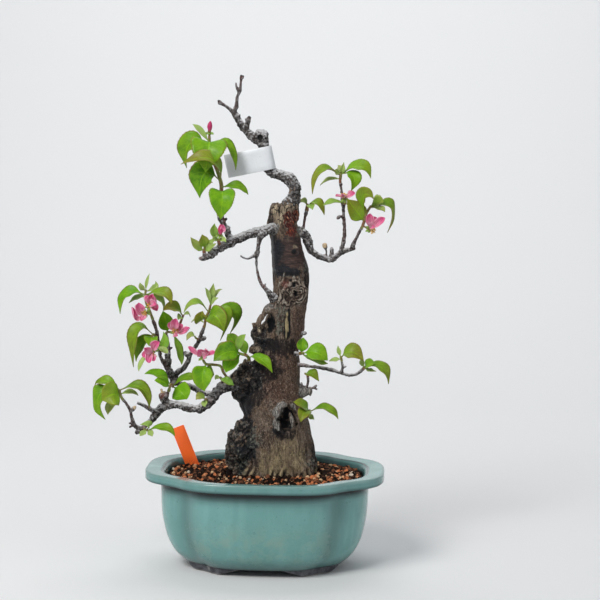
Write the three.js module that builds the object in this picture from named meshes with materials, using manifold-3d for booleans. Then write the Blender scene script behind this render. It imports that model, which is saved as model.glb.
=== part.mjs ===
// Chinese quince bonsai in a glazed four-lobed pot: an old chopped trunk with burls and a hollow,
// thin regrown branches with young leaves, buds and pink blossoms, a white loop tag and a plain stake.
// Units are millimetres, +Z is up, the front of the tree faces -Y.

import * as THREE from 'three';
import { mergeVertices } from 'three/addons/utils/BufferGeometryUtils.js';
import Module from 'manifold-3d';

const wasm = await Module();
wasm.setup();

// Driving dimensions of the pot
const RIM_HEIGHT = 103.5;
const RIM_HALF_LENGTH = 125;
const RIM_HALF_DEPTH = 93;
const RIM_THICKNESS = 9.5;
const BODY_TOP_HALF_LENGTH = 109;
const BODY_TOP_HALF_DEPTH = 81;
const UNDERSIDE_HEIGHT = 8;
const FLOOR_HEIGHT = 15.5;
const DRAIN_HOLE_RADIUS = 9;
const DRAIN_HOLE_OFFSET = 42;
const POT_SEGMENTS = 48;

// Feet under the four corners, as angles along the base outline, in degrees
const FOOT_START = 12;
const FOOT_FLAT_START = 32;
const FOOT_FLAT_END = 60;
const FOOT_END = 78;
const FOOT_WIDTH = 14;

// Soil, the trunk's seat in it and small clearances
const SOIL_EDGE_HEIGHT = 95;
const SOIL_MOUND = 6.5;
const SOIL_PEBBLE = 1.7;
const TRUNK_BASE = 62;
const CLEARANCE = 0.35;
const ROOT_CLEARANCE = 0.5;

// Drainage mesh plates
const MESH_SIZE = 32;
const MESH_THICKNESS = 1.2;
const MESH_HOLE = 6;
const MESH_OFFSETS = [-5, 5];

// White loop tag
const TAG_HEIGHT = 24;
const TAG_THICKNESS = 0.9;
const TAG_TILT = 12.5;

// Flat stake
const STAKE_WIDTH = 14;
const STAKE_THICKNESS = 1;
const STAKE_LENGTH = 71;
const STAKE_BURIED = 29;
const STAKE_LEAN = 21.6;
const STAKE_ENTRY = [-82.2, 38, 98];

// Blades and the gap between a twig and the green shoot that grows on it
const BLADE_THICKNESS = 0.75;
const PETAL_THICKNESS = 0.7;
const PETAL_FOLD = 18;
const EDGE_WAVE = 0.08;
const WIDE_LEAF = 15;
const NARROW_LEAF = 8;
const SHOOT_GAP = 0.4;

// How far a fused surface may move when its slivers are merged away
const FINE_MERGE = 0.02;
const BLADE_MERGE = 0.12;
const COARSE_MERGE = 0.3;

const MATERIALS = {
  glaze: new THREE.MeshStandardMaterial({ color: 0x6f9f9a, roughness: 0.25, metalness: 0 }),
  soil: new THREE.MeshStandardMaterial({ color: 0x5a3a2a, roughness: 0.95, metalness: 0 }),
  mesh: new THREE.MeshStandardMaterial({ color: 0x202422, roughness: 0.6, metalness: 0 }),
  bark: new THREE.MeshStandardMaterial({ color: 0x5b524c, roughness: 0.9, metalness: 0 }),
  leaf: new THREE.MeshStandardMaterial({ color: 0x6f9a35, roughness: 0.5, metalness: 0 }),
  petal: new THREE.MeshStandardMaterial({ color: 0xe58aa6, roughness: 0.6, metalness: 0 }),
  tag: new THREE.MeshStandardMaterial({ color: 0xe8eaec, roughness: 0.45, metalness: 0 }),
  stake: new THREE.MeshStandardMaterial({ color: 0xf0652a, roughness: 0.5, metalness: 0 }),
};

// Small numeric helpers

const vec = (p) => new THREE.Vector3(p[0], p[1], p[2]);
const lerp = THREE.MathUtils.lerp;
const radians = THREE.MathUtils.degToRad;

// A repeatable stream of numbers from 0 to 1
function seededRandom(seed) {
  let state = seed;
  return () => {
    state = (state * 1664525 + 1013904223) % 4294967296;
    return state / 4294967296;
  };
}

// Closed meshes and solids

function closedGeometry(points, triangles) {
  const geometry = new THREE.BufferGeometry();
  const flat = points.flatMap((p) => [p.x, p.y, p.z]);
  geometry.setAttribute('position', new THREE.Float32BufferAttribute(flat, 3));
  geometry.setIndex(triangles);
  return geometry;
}

function toSolid(geometry) {
  const bare = geometry.clone();
  bare.deleteAttribute('normal');
  bare.deleteAttribute('uv');
  const merged = mergeVertices(bare, 1e-4);
  return new wasm.Manifold(new wasm.Mesh({
    numProp: 3,
    vertProperties: Float32Array.from(merged.attributes.position.array),
    triVerts: Uint32Array.from(merged.index.array),
  }));
}

function toGeometry(solid) {
  const mesh = solid.getMesh();
  const geometry = new THREE.BufferGeometry();
  geometry.setAttribute('position', new THREE.BufferAttribute(mesh.vertProperties, 3));
  geometry.setIndex(new THREE.BufferAttribute(mesh.triVerts, 1));
  return geometry;
}

// One body from many, with the slivers that a fuse leaves merged away
function fuse(solids, tolerance) {
  return wasm.Manifold.union(solids).simplify(tolerance);
}

// The largest body of a solid: loose scraps left by a fuse are dropped, sealed hollows are filled
function soundBody(solid) {
  const bodies = solid.decompose().sort((a, b) => b.volume() - a.volume());
  return bodies[0];
}

// A skin over rings of points, closed by a fan at each end
function loft(rings) {
  const count = rings[0].length;
  const points = rings.flat();
  const triangles = [];
  for (let ring = 0; ring < rings.length - 1; ring += 1) {
    for (let side = 0; side < count; side += 1) {
      const a = ring * count + side;
      const b = ring * count + (side + 1) % count;
      triangles.push(a, b, b + count, a, b + count, a + count);
    }
  }
  const centreOf = (ring) => ring.reduce((sum, p) => sum.add(p), new THREE.Vector3())
    .multiplyScalar(1 / count);
  const start = points.length;
  points.push(centreOf(rings[0]), centreOf(rings[rings.length - 1]));
  const last = (rings.length - 1) * count;
  for (let side = 0; side < count; side += 1) {
    const next = (side + 1) % count;
    triangles.push(start, next, side, start + 1, last + side, last + next);
  }
  return closedGeometry(points, triangles);
}

// A branch through the given points, each [x, y, z, radius], with flat ends square to its run
function limb(stations, sides) {
  const points = stations.map(vec);
  const tangents = points.map((p, i) => {
    const before = points[Math.max(i - 1, 0)];
    const after = points[Math.min(i + 1, points.length - 1)];
    return after.clone().sub(before).normalize();
  });
  let across = new THREE.Vector3(0, 1, 0).cross(tangents[0]);
  if (across.length() < 0.1) {
    across = new THREE.Vector3(1, 0, 0).cross(tangents[0]);
  }
  const rings = points.map((p, i) => {
    across.addScaledVector(tangents[i], -across.dot(tangents[i])).normalize();
    const up = tangents[i].clone().cross(across);
    const ring = [];
    for (let side = 0; side < sides; side += 1) {
      const angle = 2 * Math.PI * side / sides;
      ring.push(p.clone()
        .addScaledVector(across, stations[i][3] * Math.cos(angle))
        .addScaledVector(up, stations[i][3] * Math.sin(angle)));
    }
    return ring;
  });
  return toSolid(loft(rings));
}

function endOf(stations) {
  const tip = vec(stations[stations.length - 1]);
  const direction = tip.clone().sub(vec(stations[stations.length - 2])).normalize();
  return { tip, direction };
}

// A rough ball: a burl, a knot or a swelling, with seeded lumps
function lump(centre, radii, roughness, seed) {
  const random = seededRandom(seed);
  const geometry = mergeVertices(new THREE.IcosahedronGeometry(1, 1).deleteAttribute('normal')
    .deleteAttribute('uv'), 1e-4);
  const position = geometry.attributes.position;
  for (let i = 0; i < position.count; i += 1) {
    const swell = 1 + roughness * (random() - 0.5);
    position.setXYZ(i, position.getX(i) * swell, position.getY(i) * swell, position.getZ(i) * swell);
  }
  geometry.scale(radii[0], radii[1], radii[2]);
  geometry.translate(centre[0], centre[1], centre[2]);
  return toSolid(geometry);
}

// Pot

// Four-lobed outline: a long superellipse and a deep one, blended so that a soft notch stays between
function lobedRadius(halfLength, halfDepth, x, y) {
  const power = (a, b, n) => ((Math.abs(x) / a) ** n + (Math.abs(y) / b) ** n) ** (-1 / n);
  const endLobes = power(halfLength, 0.774 * halfDepth, 3.2);
  const sideLobes = power(0.76 * halfLength, halfDepth, 3.5);
  return (endLobes ** 26 + sideLobes ** 26) ** (1 / 26);
}

function lobedRing(halfLength, halfDepth, z) {
  const ring = [];
  for (let i = 0; i < POT_SEGMENTS; i += 1) {
    const angle = 2 * Math.PI * (i + 0.5) / POT_SEGMENTS;
    const x = RIM_HALF_LENGTH * Math.cos(angle);
    const y = RIM_HALF_DEPTH * Math.sin(angle);
    const radius = lobedRadius(halfLength, halfDepth, x, y);
    ring.push(new THREE.Vector3(x * radius, y * radius, z));
  }
  return ring;
}

const lobedLoft = (rows) => toSolid(loft(rows.map(([length, depth, z]) => lobedRing(length, depth, z))));

const RIM_UNDERSIDE = RIM_HEIGHT - RIM_THICKNESS;
const POT_OUTSIDE = [
  [84, 60.5, UNDERSIDE_HEIGHT],
  [94, 68.5, 17.6],
  [101, 74, 30],
  [106.4, 78.4, 51],
  [BODY_TOP_HALF_LENGTH, BODY_TOP_HALF_DEPTH, RIM_UNDERSIDE - 0.6],
  [RIM_HALF_LENGTH - 1.4, RIM_HALF_DEPTH - 1.4, RIM_UNDERSIDE],
  [RIM_HALF_LENGTH, RIM_HALF_DEPTH, RIM_UNDERSIDE + 1.4],
  [RIM_HALF_LENGTH, RIM_HALF_DEPTH, RIM_HEIGHT - 1.5],
  [RIM_HALF_LENGTH - 1.6, RIM_HALF_DEPTH - 1.6, RIM_HEIGHT],
];
const POT_INSIDE = [
  [80, 56.5, FLOOR_HEIGHT],
  [92, 66.5, 25],
  [98.5, 71.5, 42],
  [101.5, 74, 60],
  [102.5, 75, 93],
  [105.5, 78, RIM_HEIGHT + 0.5],
];

function foot(signX, signY) {
  const steps = [FOOT_START, 22, FOOT_FLAT_START, 46, FOOT_FLAT_END, 69, FOOT_END];
  const sections = steps.map((degrees) => {
    const angle = radians(degrees);
    const outward = new THREE.Vector3(signX * Math.cos(angle), signY * Math.sin(angle), 0);
    const at = (length, depth, z) => {
      const x = length * outward.x;
      const y = depth * outward.y;
      const radius = lobedRadius(length, depth, x, y);
      return new THREE.Vector3(x * radius, y * radius, z);
    };
    const lift = Math.max(
      (FOOT_FLAT_START - degrees) / (FOOT_FLAT_START - FOOT_START),
      (degrees - FOOT_FLAT_END) / (FOOT_END - FOOT_FLAT_END),
      0,
    );
    const bottom = (UNDERSIDE_HEIGHT + 0.5) * lift;
    return [
      at(81.5 - FOOT_WIDTH, 58.5 - FOOT_WIDTH, bottom),
      at(81.5, 58.5, bottom),
      at(82.8, 59.6, 11),
      at(82 - FOOT_WIDTH, 59 - FOOT_WIDTH, 11),
    ];
  });
  const rings = signX * signY > 0 ? sections.reverse() : sections;
  return toSolid(loft(rings));
}

function makePot() {
  let body = lobedLoft(POT_OUTSIDE).subtract(lobedLoft(POT_INSIDE));
  for (const side of [-1, 1]) {
    const hole = new THREE.CylinderGeometry(DRAIN_HOLE_RADIUS, DRAIN_HOLE_RADIUS, 30, 16);
    hole.rotateX(Math.PI / 2);
    hole.translate(side * DRAIN_HOLE_OFFSET, 0, UNDERSIDE_HEIGHT + 4);
    body = body.subtract(toSolid(hole));
  }
  const feet = [];
  for (const signX of [-1, 1]) {
    for (const signY of [-1, 1]) {
      feet.push(foot(signX, signY));
    }
  }
  return fuse([body, ...feet], FINE_MERGE);
}

// Drainage mesh plate over a hole in the pot's floor; grown and whole, it is the plate's seat
function meshPlate(grow) {
  const size = MESH_SIZE + 2 * grow;
  const plate = new THREE.BoxGeometry(size, size, MESH_THICKNESS + 2 * grow);
  let solid = toSolid(plate);
  for (const x of grow > 0 ? [] : MESH_OFFSETS) {
    for (const y of MESH_OFFSETS) {
      const hole = new THREE.BoxGeometry(MESH_HOLE, MESH_HOLE, 3 * MESH_THICKNESS);
      hole.translate(x, y, 0);
      solid = solid.subtract(toSolid(hole));
    }
  }
  return solid.translate([0, 0, FLOOR_HEIGHT + CLEARANCE + MESH_THICKNESS / 2]);
}

// Trunk

// Rows from the chopped top to the buried base: height, left, right, front and back of the section
const TRUNK_ROWS = [
  [380, 2, 31.5, -12, 14],
  [357, 0, 30.5, -15, 17],
  [348, 2.3, 33.4, -16, 17],
  [333, 3.5, 36.7, -16.5, 17.5],
  [313, 5, 43, -18, 18],
  [291, 6.5, 43, -19, 19],
  [272, 4, 41, -19.5, 19.5],
  [264, 0, 39.7, -20, 20],
  [244, -9, 37.6, -22, 22],
  [233, -10, 34, -22, 22],
  [212, -14, 35, -24, 24],
  [190, -20, 35, -26, 26],
  [179, -27, 37.2, -27, 28],
  [170, -28, 41, -29, 29],
  [159, -23, 43.6, -30, 30],
  [141, -34.5, 48, -32, 32],
  [131, -39.5, 50.2, -33, 33],
  [120, -40, 52, -34, 34],
  [102, -39.5, 55.3, -36, 36],
  [95, -38, 54, -36, 36],
  [87, -33, 49, -32, 32],
  [75, -24, 40, -25, 25],
  [TRUNK_BASE, -14, 30, -16, 16],
];
const TRUNK_SIDES = 20;

// Long flutes that fade towards the top, and spread into root ridges at the base
function trunkFlute(angle, height) {
  const rootiness = THREE.MathUtils.smoothstep(150 - height, 0, 60);
  const drift = height / 60;
  const flutes = 0.035 * Math.cos(3 * angle + drift) + 0.03 * Math.cos(5 * angle - 1.3 * drift);
  return 1 + flutes + 0.045 * rootiness * Math.cos(8 * angle + 0.6);
}

function trunkRing(row, grow) {
  const [height, left, right, front, back] = row;
  const centreX = (left + right) / 2;
  const halfX = (right - left) / 2;
  const ring = [];
  for (let side = 0; side < TRUNK_SIDES; side += 1) {
    const angle = 2 * Math.PI * side / TRUNK_SIDES;
    const depth = Math.sin(angle) < 0 ? -front : back;
    const flute = trunkFlute(angle, height);
    const sideways = 1 + (flute - 1) * Math.abs(Math.sin(angle));
    ring.push(new THREE.Vector3(
      centreX + (halfX * sideways + grow) * Math.cos(angle),
      (depth * flute + grow) * Math.sin(angle),
      height,
    ));
  }
  return ring;
}

const trunkSolid = (grow) => {
  const rings = TRUNK_ROWS.map((row) => trunkRing(row, grow)).reverse();
  rings[0].forEach((p) => p.setZ(TRUNK_BASE - grow));
  return toSolid(loft(rings));
};

// Branches, twigs and snags: each station is x, y, z and radius
const THICK = 7;
const THIN = 5;
const FINE = 4;
const LIMBS = {
  leader: [THICK, [
    [22, 2, 366, 9], [23.5, 2, 380.5, 8.4], [26.5, 0, 387, 6.8], [27, 0, 399.5, 6.3],
    [22.5, 0, 405.5, 6.3], [0.5, 0, 415, 4.7], [-8, 0, 445, 5.2], [-15.5, 1, 448, 4.7],
    [-34, -1, 470.5, 3.1], [-37, -2, 476, 2.6]]],
  leaderTip: [THIN, [
    [-36, -2, 474, 2.6], [-33, -3, 483, 1.8], [-32.5, -4, 490, 1.7], [-29.5, -5, 497, 1.6],
    [-29, -6, 507.5, 1.3], [-28.5, -6, 512.5, 1.1]]],
  leaderTipBud: [FINE, [[-29, -6, 508, 1.2], [-26.8, -6.3, 510.2, 1.5], [-26, -6.4, 512, 0.8]]],
  leaderTipSpur: [FINE, [[-31, -5, 494, 1.4], [-33.2, -5.5, 500, 1.2], [-34, -6, 504.5, 0.9]]],
  leaderTwig: [THIN, [
    [-36, -2, 474, 2.6], [-45.5, -6, 481.5, 1.4], [-50.5, -8, 484.5, 2.1], [-51.5, -8.5, 486.5, 1.2]]],
  leaderSpur: [THIN, [[-24, 1, 457, 2.6], [-20.5, -2, 468, 2.3], [-20, -2, 470, 1.4]]],
  longLeft: [THICK, [
    [14, -6, 354, 7], [1, -14, 355.5, 4.9], [-17, -18, 350.5, 4.5], [-48, -25, 336, 4.4],
    [-57, -28, 328.5, 3.7], [-65, -29.7, 325.2, 2.2], [-68, -30.4, 326, 1.4]]],
  longLeftSpur: [THIN, [[-62, -29, 325.5, 2.5], [-62.8, -29.8, 331.4, 2.1]]],
  forkSpur: [THIN, [[-47, -25.5, 336.5, 3], [-47.5, -28.6, 340.4, 2.1]]],
  crownShoot: [THIN, [
    [-36, -22, 342, 4.4], [-40.5, -22, 353.5, 3.2], [-44.5, -22, 361.5, 2.9], [-48, -22, 368.5, 3.2]]],
  crownShootNub: [FINE, [[-44.6, -22, 361.5, 1.8], [-41, -22, 366.4, 1.3]]],
  hanging: [THIN, [
    [12, -6, 357, 7], [3.5, -16, 356, 4.8], [-3.5, -20, 351.5, 4.8], [-6.5, -21, 346.5, 2.9],
    [-8.5, -22, 334.5, 2.1], [-9.5, -21, 330, 2.6], [-10, -21, 327, 1.8], [-7.5, -17, 305, 1.6],
    [-4.5, -16, 298, 1.8], [2, -16, 291.5, 2.6], [5, -14, 286.5, 4.2], [12, -9, 280, 4.8]]],
  hangingSide: [FINE, [
    [-9.5, -21, 330, 1.9], [-19.5, -24, 325.5, 1.2], [-24.5, -26, 327.5, 1.1], [-26, -27, 329, 1]]],
  hangingSpur: [FINE, [[-2.5, -16, 295, 1.4], [-0.5, -17, 299.5, 1]]],
  rightArm: [THICK, [
    [20, 2, 352, 8], [31, 4, 352.5, 5.8], [37.5, 6, 349.5, 5.2], [45.5, 8, 330.8, 3.5],
    [60, 10, 323.8, 3], [65, 10, 322.6, 3.1], [77, 9, 331.5, 2.9], [87.5, 7, 334.6, 2],
    [90.5, 6, 335.4, 1.4]]],
  rightArmKnob: [FINE, [[66, 10, 325, 2.1], [66, 11, 333.5, 2.1], [65.8, 11.2, 335.8, 1.3]]],
  rightShoot: [THIN, [
    [76, 9, 331, 2.6], [79, 8, 346, 2.1], [78, 4, 373, 1.7], [77.5, 2, 381, 2.3], [76, 0, 394, 1.4],
    [74.5, -2, 403.2, 1.7]]],
  rightShootSpur: [FINE, [[77.5, 2, 381, 1.9], [79, -1.5, 382, 1.6]]],
  rightShootBud: [FINE, [
    [78.3, 5, 365, 1.2], [75.5, 4, 368.5, 1.1], [73.2, 2.5, 367.8, 2], [71.6, 2, 366, 1.1]]],
  rightOuterShoot: [THIN, [
    [87, 7, 334.5, 2.2], [89, 3, 340.5, 2.5], [91.5, 0, 345.5, 1.7], [94.5, -6, 352.5, 1.6],
    [97, -10, 357.4, 1.9]]],
  driedBud: [FINE, [
    [61, 10, 322.8, 1.5], [60.5, 8.4, 332, 1.05], [59.2, 6.4, 336.6, 2.3], [58.7, 5.8, 339.6, 2.7]]],
  innerRight: [THIN, [
    [32, 6, 349, 4], [36.2, 12.4, 356, 1.6], [37.5, 16, 365.5, 1.6], [39, 18, 372.5, 2.2]]],
  lowRight: [THIN, [
    [24, -4, 215, 3.2], [33.5, -8, 214.5, 2.1], [67, -15, 211, 1.9], [88.5, -18, 206, 1.7],
    [93.5, -18, 206.8, 1.8], [98.5, -18, 210, 1.7], [101, -18, 212.5, 1.8]]],
  lowRightUp: [FINE, [[79, -17, 207.5, 1.7], [80, -18, 215.5, 1.4], [79.2, -18, 220, 1.4]]],
  lowRightNub: [FINE, [[79.8, -18, 213.5, 1.3], [83.8, -20, 215.4, 1]]],
  stubRight: [THICK, [
    [24, -6, 184, 8.5], [31.5, -4, 185, 6.8], [38.5, -3, 185.5, 6.2], [45, -2, 185.8, 5.2]]],
  stubRightUp: [FINE, [[42, -3, 187, 1.8], [44, -5, 196, 1.5], [43.8, -7.6, 201.6, 1.5]]],
  stubRightTwig: [FINE, [[42, -3, 187.5, 1.8], [49, -1, 189, 1.25], [53, 0, 191.8, 1.3]]],
  stubRightFork: [FINE, [[48.5, -1, 189, 1.1], [53.4, 1, 187.4, 1]]],
  stubRightLeft: [FINE, [[38, -5, 188, 1.7], [37.2, -8.4, 195.4, 1.2]]],
  greenBudSpur: [FINE, [
    [30, -4, 246, 2], [36, -6, 247.5, 1.6], [39.6, -6, 247.2, 2.4], [41.6, -6, 247.6, 1.4]]],
  trunkRightSpur: [THIN, [[26, -9, 225.5, 3], [35, -14, 227, 2.1]]],
  baseRightSpur: [THIN, [[32, -9, 156, 3.2], [43, -16, 161, 2]]],
  lowerLeft: [THICK, [
    [-12, -5, 202, 13], [-27, -8, 197, 10.5], [-38, -12, 193, 7.4], [-47, -16, 188.5, 5.8],
    [-59, -22, 173.5, 5], [-66.5, -22, 168.8, 4.2], [-101, -15, 170.5, 4.2], [-110, -14, 165.5, 4.5],
    [-115, -14, 159, 4.2], [-119, -14, 153, 3.4], [-121, -14.2, 150, 2.6]]],
  lowerLeftEnd: [THIN, [
    [-118, -14, 154, 3], [-124.5, -15, 148, 2.3], [-133, -17, 141.4, 2.6], [-134.5, -17.3, 139.4, 1.6]]],
  limbLowSpur: [FINE, [[-125.8, -15, 147, 1.9], [-125.6, -19, 145.2, 1.6]]],
  lowerFork: [THIN, [
    [-109, -14, 163, 3.6], [-119, -18, 165.2, 2.3], [-125, -20, 169.5, 1.9], [-132.6, -22, 172.8, 1.5]]],
  farLeft: [THIN, [
    [-128.5, -16, 145.2, 2.2], [-134.5, -19, 147, 2.1], [-137, -22, 152.5, 1.9], [-139.5, -27, 166, 1.7],
    [-142.5, -29, 172.5, 1.6], [-146, -31, 177.4, 1.7]]],
  farLeftBarb: [FINE, [[-135.5, -20, 149.5, 1.6], [-141, -21, 146.6, 1.1]]],
  farLeftBarbUp: [FINE, [[-136, -20.5, 150, 1.5], [-141.2, -22, 151.4, 1]]],
  farLeftDried: [FINE, [[-138.6, -26.6, 164.6, 1.6], [-135.6, -28.6, 168, 2.1], [-133, -30, 170.6, 1.1]]],
  secondLimb: [THIN, [
    [-20, 2, 196, 9], [-34, 5, 192, 5.6], [-43, 8, 186.5, 4.2], [-51, 12, 180.5, 3.7],
    [-60.5, 16, 177, 3.4], [-72, 20, 179.5, 3.1], [-82.5, 22, 184, 2.9], [-92, 20, 186.5, 3.2],
    [-99.5, 16, 190.5, 4]]],
  sawnKnob: [THIN, [
    [-99, -15, 168, 4.2], [-102.5, -15.6, 173, 3.6], [-105.5, -17, 177.5, 4.8],
    [-106.8, -17, 182.4, 4.6]]],
  sawnKnobSpur: [FINE, [[-107, -17.5, 180, 1.6], [-108, -18, 187.5, 1.3]]],
  limbTopSpur: [FINE, [[-103, -17, 178.5, 2.3], [-100.6, -18, 184.8, 1.8]]],
  firstUpright: [THIN, [
    [-98, 17, 188, 3.6], [-105, 14, 204.5, 3.9], [-105, 12, 216.5, 3.3], [-105, 13, 224, 2.6],
    [-106, 15, 232, 2.1], [-107.5, 17, 239, 1.7]]],
  farUpright: [THIN, [
    [-105, 14, 201.5, 2.3], [-112, 7, 217, 1.8], [-115, 0, 242.5, 2], [-116.8, -2, 251, 2],
    [-119, -4, 258.2, 1.7]]],
  farUprightSpur: [FINE, [[-114.4, 1, 236, 1.8], [-115.8, -3.2, 239.4, 1.5]]],
  uprightBarb: [FINE, [[-105.4, 13, 223, 1.3], [-100.8, 14.2, 226.8, 1]]],
  secondUpright: [THIN, [
    [-97.5, 17, 190, 3.4], [-97.6, 17, 196.5, 3], [-88, 11, 205.5, 2.6], [-83, 7, 213.5, 2.5],
    [-80.5, 4, 220.5, 2.3], [-71.5, -4, 235, 2.1], [-67, -8, 246.5, 2], [-65, -9, 251.5, 1.9]]],
  secondUprightBud: [FINE, [[-80, 3.5, 219.5, 2.2], [-84.4, 5, 221, 3.2], [-87, 5.6, 222.6, 2.2]]],
  secondUprightKnot: [FINE, [
    [-69.8, -5.4, 238.4, 2.1], [-65.4, -6.2, 239.5, 2.7], [-63.2, -6.5, 240, 1.6]]],
  leftMidSpur: [FINE, [[-70, -5, 238, 1.9], [-71, -8.4, 238.9, 1.5]]],
  limbMidSpur: [FINE, [[-99, 15, 189.6, 2.4], [-99.5, 9, 187.8, 1.8]]],
  limbBaseSpur: [FINE, [[-57.6, -21, 174.6, 3], [-59, -26.8, 177.6, 1.8]]],
  flowerSpur: [FINE, [[-37, -12, 194, 3.4], [-40, -19, 201.4, 1.8]]],
  burlBaseSpur: [FINE, [[-42, -14, 191.6, 3], [-44.6, -19.4, 198.6, 1.6]]],
  sawnStub: [THIN, [[-19, -10, 203, 6], [-21, -15.4, 217, 4.7]]],
  burlShootSpur: [FINE, [[-17.6, -12, 210, 3], [-17, -18.4, 219.4, 2]]],
  paleStub: [THICK, [
    [6, -4, 225, 7], [-4, -10, 227, 4.4], [-10, -13.4, 229, 4.7], [-14.4, -16, 230.6, 5.2]]],
  burlSnag: [FINE, [[-5, -12, 251, 3.2], [-13.5, -16, 257.5, 2.2], [-14.6, -16.4, 258.6, 1.2]]],
  ridge: [THIN, [
    [12, -9, 282, 5.4], [4.4, -12.6, 273.5, 3.6], [-3.6, -15.4, 265.5, 3.2], [-7.2, -16.4, 257, 3.4],
    [-7, -16, 249, 4.2], [0, -13, 241, 6]]],
};

// Burls, knots and swellings: centre, radii, roughness, seed
const LUMPS = [
  [[-7.6, -1, 449.4], [7.6, 6.6, 7.6], 0.14, 11],
  [[-8.5, -13, 246], [8.6, 8.4, 9.6], 0.22, 12],
  [[-18, -10, 199], [18.5, 16, 16.5], 0.18, 13],
  [[-22, -12, 204], [9, 10.5, 10], 0.2, 14],
  [[29, -15, 295.5], [11.5, 7.5, 13.5], 0.12, 15],
  [[28.5, -14, 333.5], [5.4, 4.6, 5.6], 0.12, 16],
  [[-24, -13, 124], [19, 19, 24], 0.16, 17],
  [[-25, -13, 150], [12, 12, 10], 0.2, 18],
  [[38, -14, 108], [15, 17, 12], 0.14, 19],
];

// Hollows: centre, radii, roughness, seed
const HEALED_HOLLOW = [[24, -30.5, 164], [7.5, 11, 10.5], 0.1, 21];
const SIDE_HOLLOW = [[0.6, -22, 257], [5, 11, 9], 0.1, 22];
const LEADER_HOLLOW = [[-8.6, -9, 448.6], [3, 5, 3.4], 0.1, 23];

// The rolled bark round the healed hollow stands out from it and faces a little to the right
const LIP_STEP = 2.4;
const LIP_DEPTH = 11;
const LIP_SETBACK = 3.4;
const LIP_TURN = 14;

function hollowLip() {
  const [centre, radii] = HEALED_HOLLOW;
  const ring = new THREE.TorusGeometry(1, 0.3, 5, 12);
  ring.rotateX(Math.PI / 2);
  ring.scale(radii[0] + LIP_STEP, LIP_DEPTH, radii[2] + LIP_STEP);
  ring.rotateZ(radians(LIP_TURN));
  ring.translate(centre[0], centre[1] + LIP_SETBACK, centre[2]);
  return toSolid(ring);
}

function makeWood() {
  const solids = [trunkSolid(0), hollowLip()];
  for (const [sides, stations] of Object.values(LIMBS)) {
    solids.push(limb(stations, sides));
  }
  for (const burl of LUMPS) {
    solids.push(lump(...burl));
  }
  let wood = fuse(solids, COARSE_MERGE);
  for (const hollow of [HEALED_HOLLOW, SIDE_HOLLOW, LEADER_HOLLOW]) {
    wood = wood.subtract(lump(...hollow));
  }
  return soundBody(wood.simplify(COARSE_MERGE));
}

// Soil: a pebbled, mounded bed with plain seats for the trunk, the stake and the mesh plates

const SOIL_RINGS = 7;
const SOIL_INSET = 0.55;
const SOIL_REACH = 130;

function soilHeight(x, y, random) {
  const reach = Math.hypot((x - 8) / 96, y / 72);
  const mound = SOIL_MOUND * (1 - THREE.MathUtils.smoothstep(reach, 0.3, 1));
  return SOIL_EDGE_HEIGHT + mound + SOIL_PEBBLE * (random() - 0.5) * 2;
}

function makeSoil() {
  const random = seededRandom(77);
  const inset = (row) => [row[0] - SOIL_INSET, row[1] - SOIL_INSET];
  const rings = POT_INSIDE.slice(0, 4).map((row) => {
    const [length, depth] = inset(row);
    return lobedRing(length, depth, row[2] + CLEARANCE);
  });
  const [edgeLength, edgeDepth] = inset(POT_INSIDE[4]);
  for (let ring = SOIL_RINGS; ring > 0; ring -= 1) {
    const share = ring / SOIL_RINGS;
    const points = lobedRing(edgeLength * share, edgeDepth * share, 0);
    points.forEach((p) => p.setZ(soilHeight(p.x, p.y, random)));
    rings.push(points);
  }
  let soil = toSolid(loft(rings));
  soil = soil.subtract(trunkSolid(ROOT_CLEARANCE)).subtract(toSolid(stakeShape(CLEARANCE)));
  for (const [centre, radii, roughness, seed] of LUMPS.filter((one) => one[0][2] < SOIL_REACH)) {
    soil = soil.subtract(lump(centre, radii.map((radius) => radius + ROOT_CLEARANCE), roughness, seed));
  }
  for (const side of [-1, 1]) {
    soil = soil.subtract(meshPlate(CLEARANCE).translate([side * DRAIN_HOLE_OFFSET, 0, 0]));
  }
  return soundBody(soil.simplify(FINE_MERGE));
}

// Flat stake pushed into the soil, leaning to the left
function stakeShape(grow) {
  const width = STAKE_WIDTH + 2 * grow;
  const shape = new THREE.BoxGeometry(width, STAKE_THICKNESS + 2 * grow, STAKE_LENGTH + grow);
  shape.translate(0, 0, STAKE_LENGTH / 2 - STAKE_BURIED - grow / 2);
  shape.rotateY(-radians(STAKE_LEAN));
  shape.translate(...STAKE_ENTRY);
  return shape;
}

// White loop tag round the leader: a flat strip bent into a long teardrop
function tagShape() {
  const outline = (inset) => {
    const path = new THREE.Path();
    path.absellipse(-0.5, 0, 8.2 - inset, 8.2 - inset, -Math.PI / 2 + 0.16, Math.PI / 2 - 0.16, false, 0);
    path.quadraticCurveTo(-26, 6.4 - inset, -41 + inset, 2.6 - inset);
    path.quadraticCurveTo(-44.4 + inset, 0.6, -41 + inset, -1.6 + inset);
    path.quadraticCurveTo(-24, -8.8 + inset, 0.8, -8.1 + inset);
    return path.getPoints(5);
  };
  const shape = new THREE.Shape(outline(0));
  shape.holes.push(new THREE.Path(outline(TAG_THICKNESS)));
  const strip = new THREE.ExtrudeGeometry(shape, { depth: TAG_HEIGHT, bevelEnabled: false });
  strip.translate(0, 0, -TAG_HEIGHT / 2);
  strip.rotateY(-radians(TAG_TILT));
  strip.translate(-2.2, 0, 427.6);
  return strip;
}

// Leaves and petals

// Rows along a blade from stalk to tip: share of its run, share of its half width, points across.
// No points across closes to a point sunk in the shoot, one closes to an upright ridge
const LEAF_PROFILE = [[0, 0, 0], [0.15, 0.2, 2], [0.42, 1, 3], [0.72, 0.86, 3], [1, 0, 1]];
const MIDDLE_LEAF_PROFILE = [[0, 0, 0], [0.3, 0.78, 2], [0.64, 1, 3], [1, 0, 1]];
const SMALL_LEAF_PROFILE = [[0, 0, 0], [0.5, 1, 2], [1, 0, 1]];
const PETAL_PROFILE = [[0, 0, 0], [0.6, 1, 3], [1, 0.6, 2]];

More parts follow.
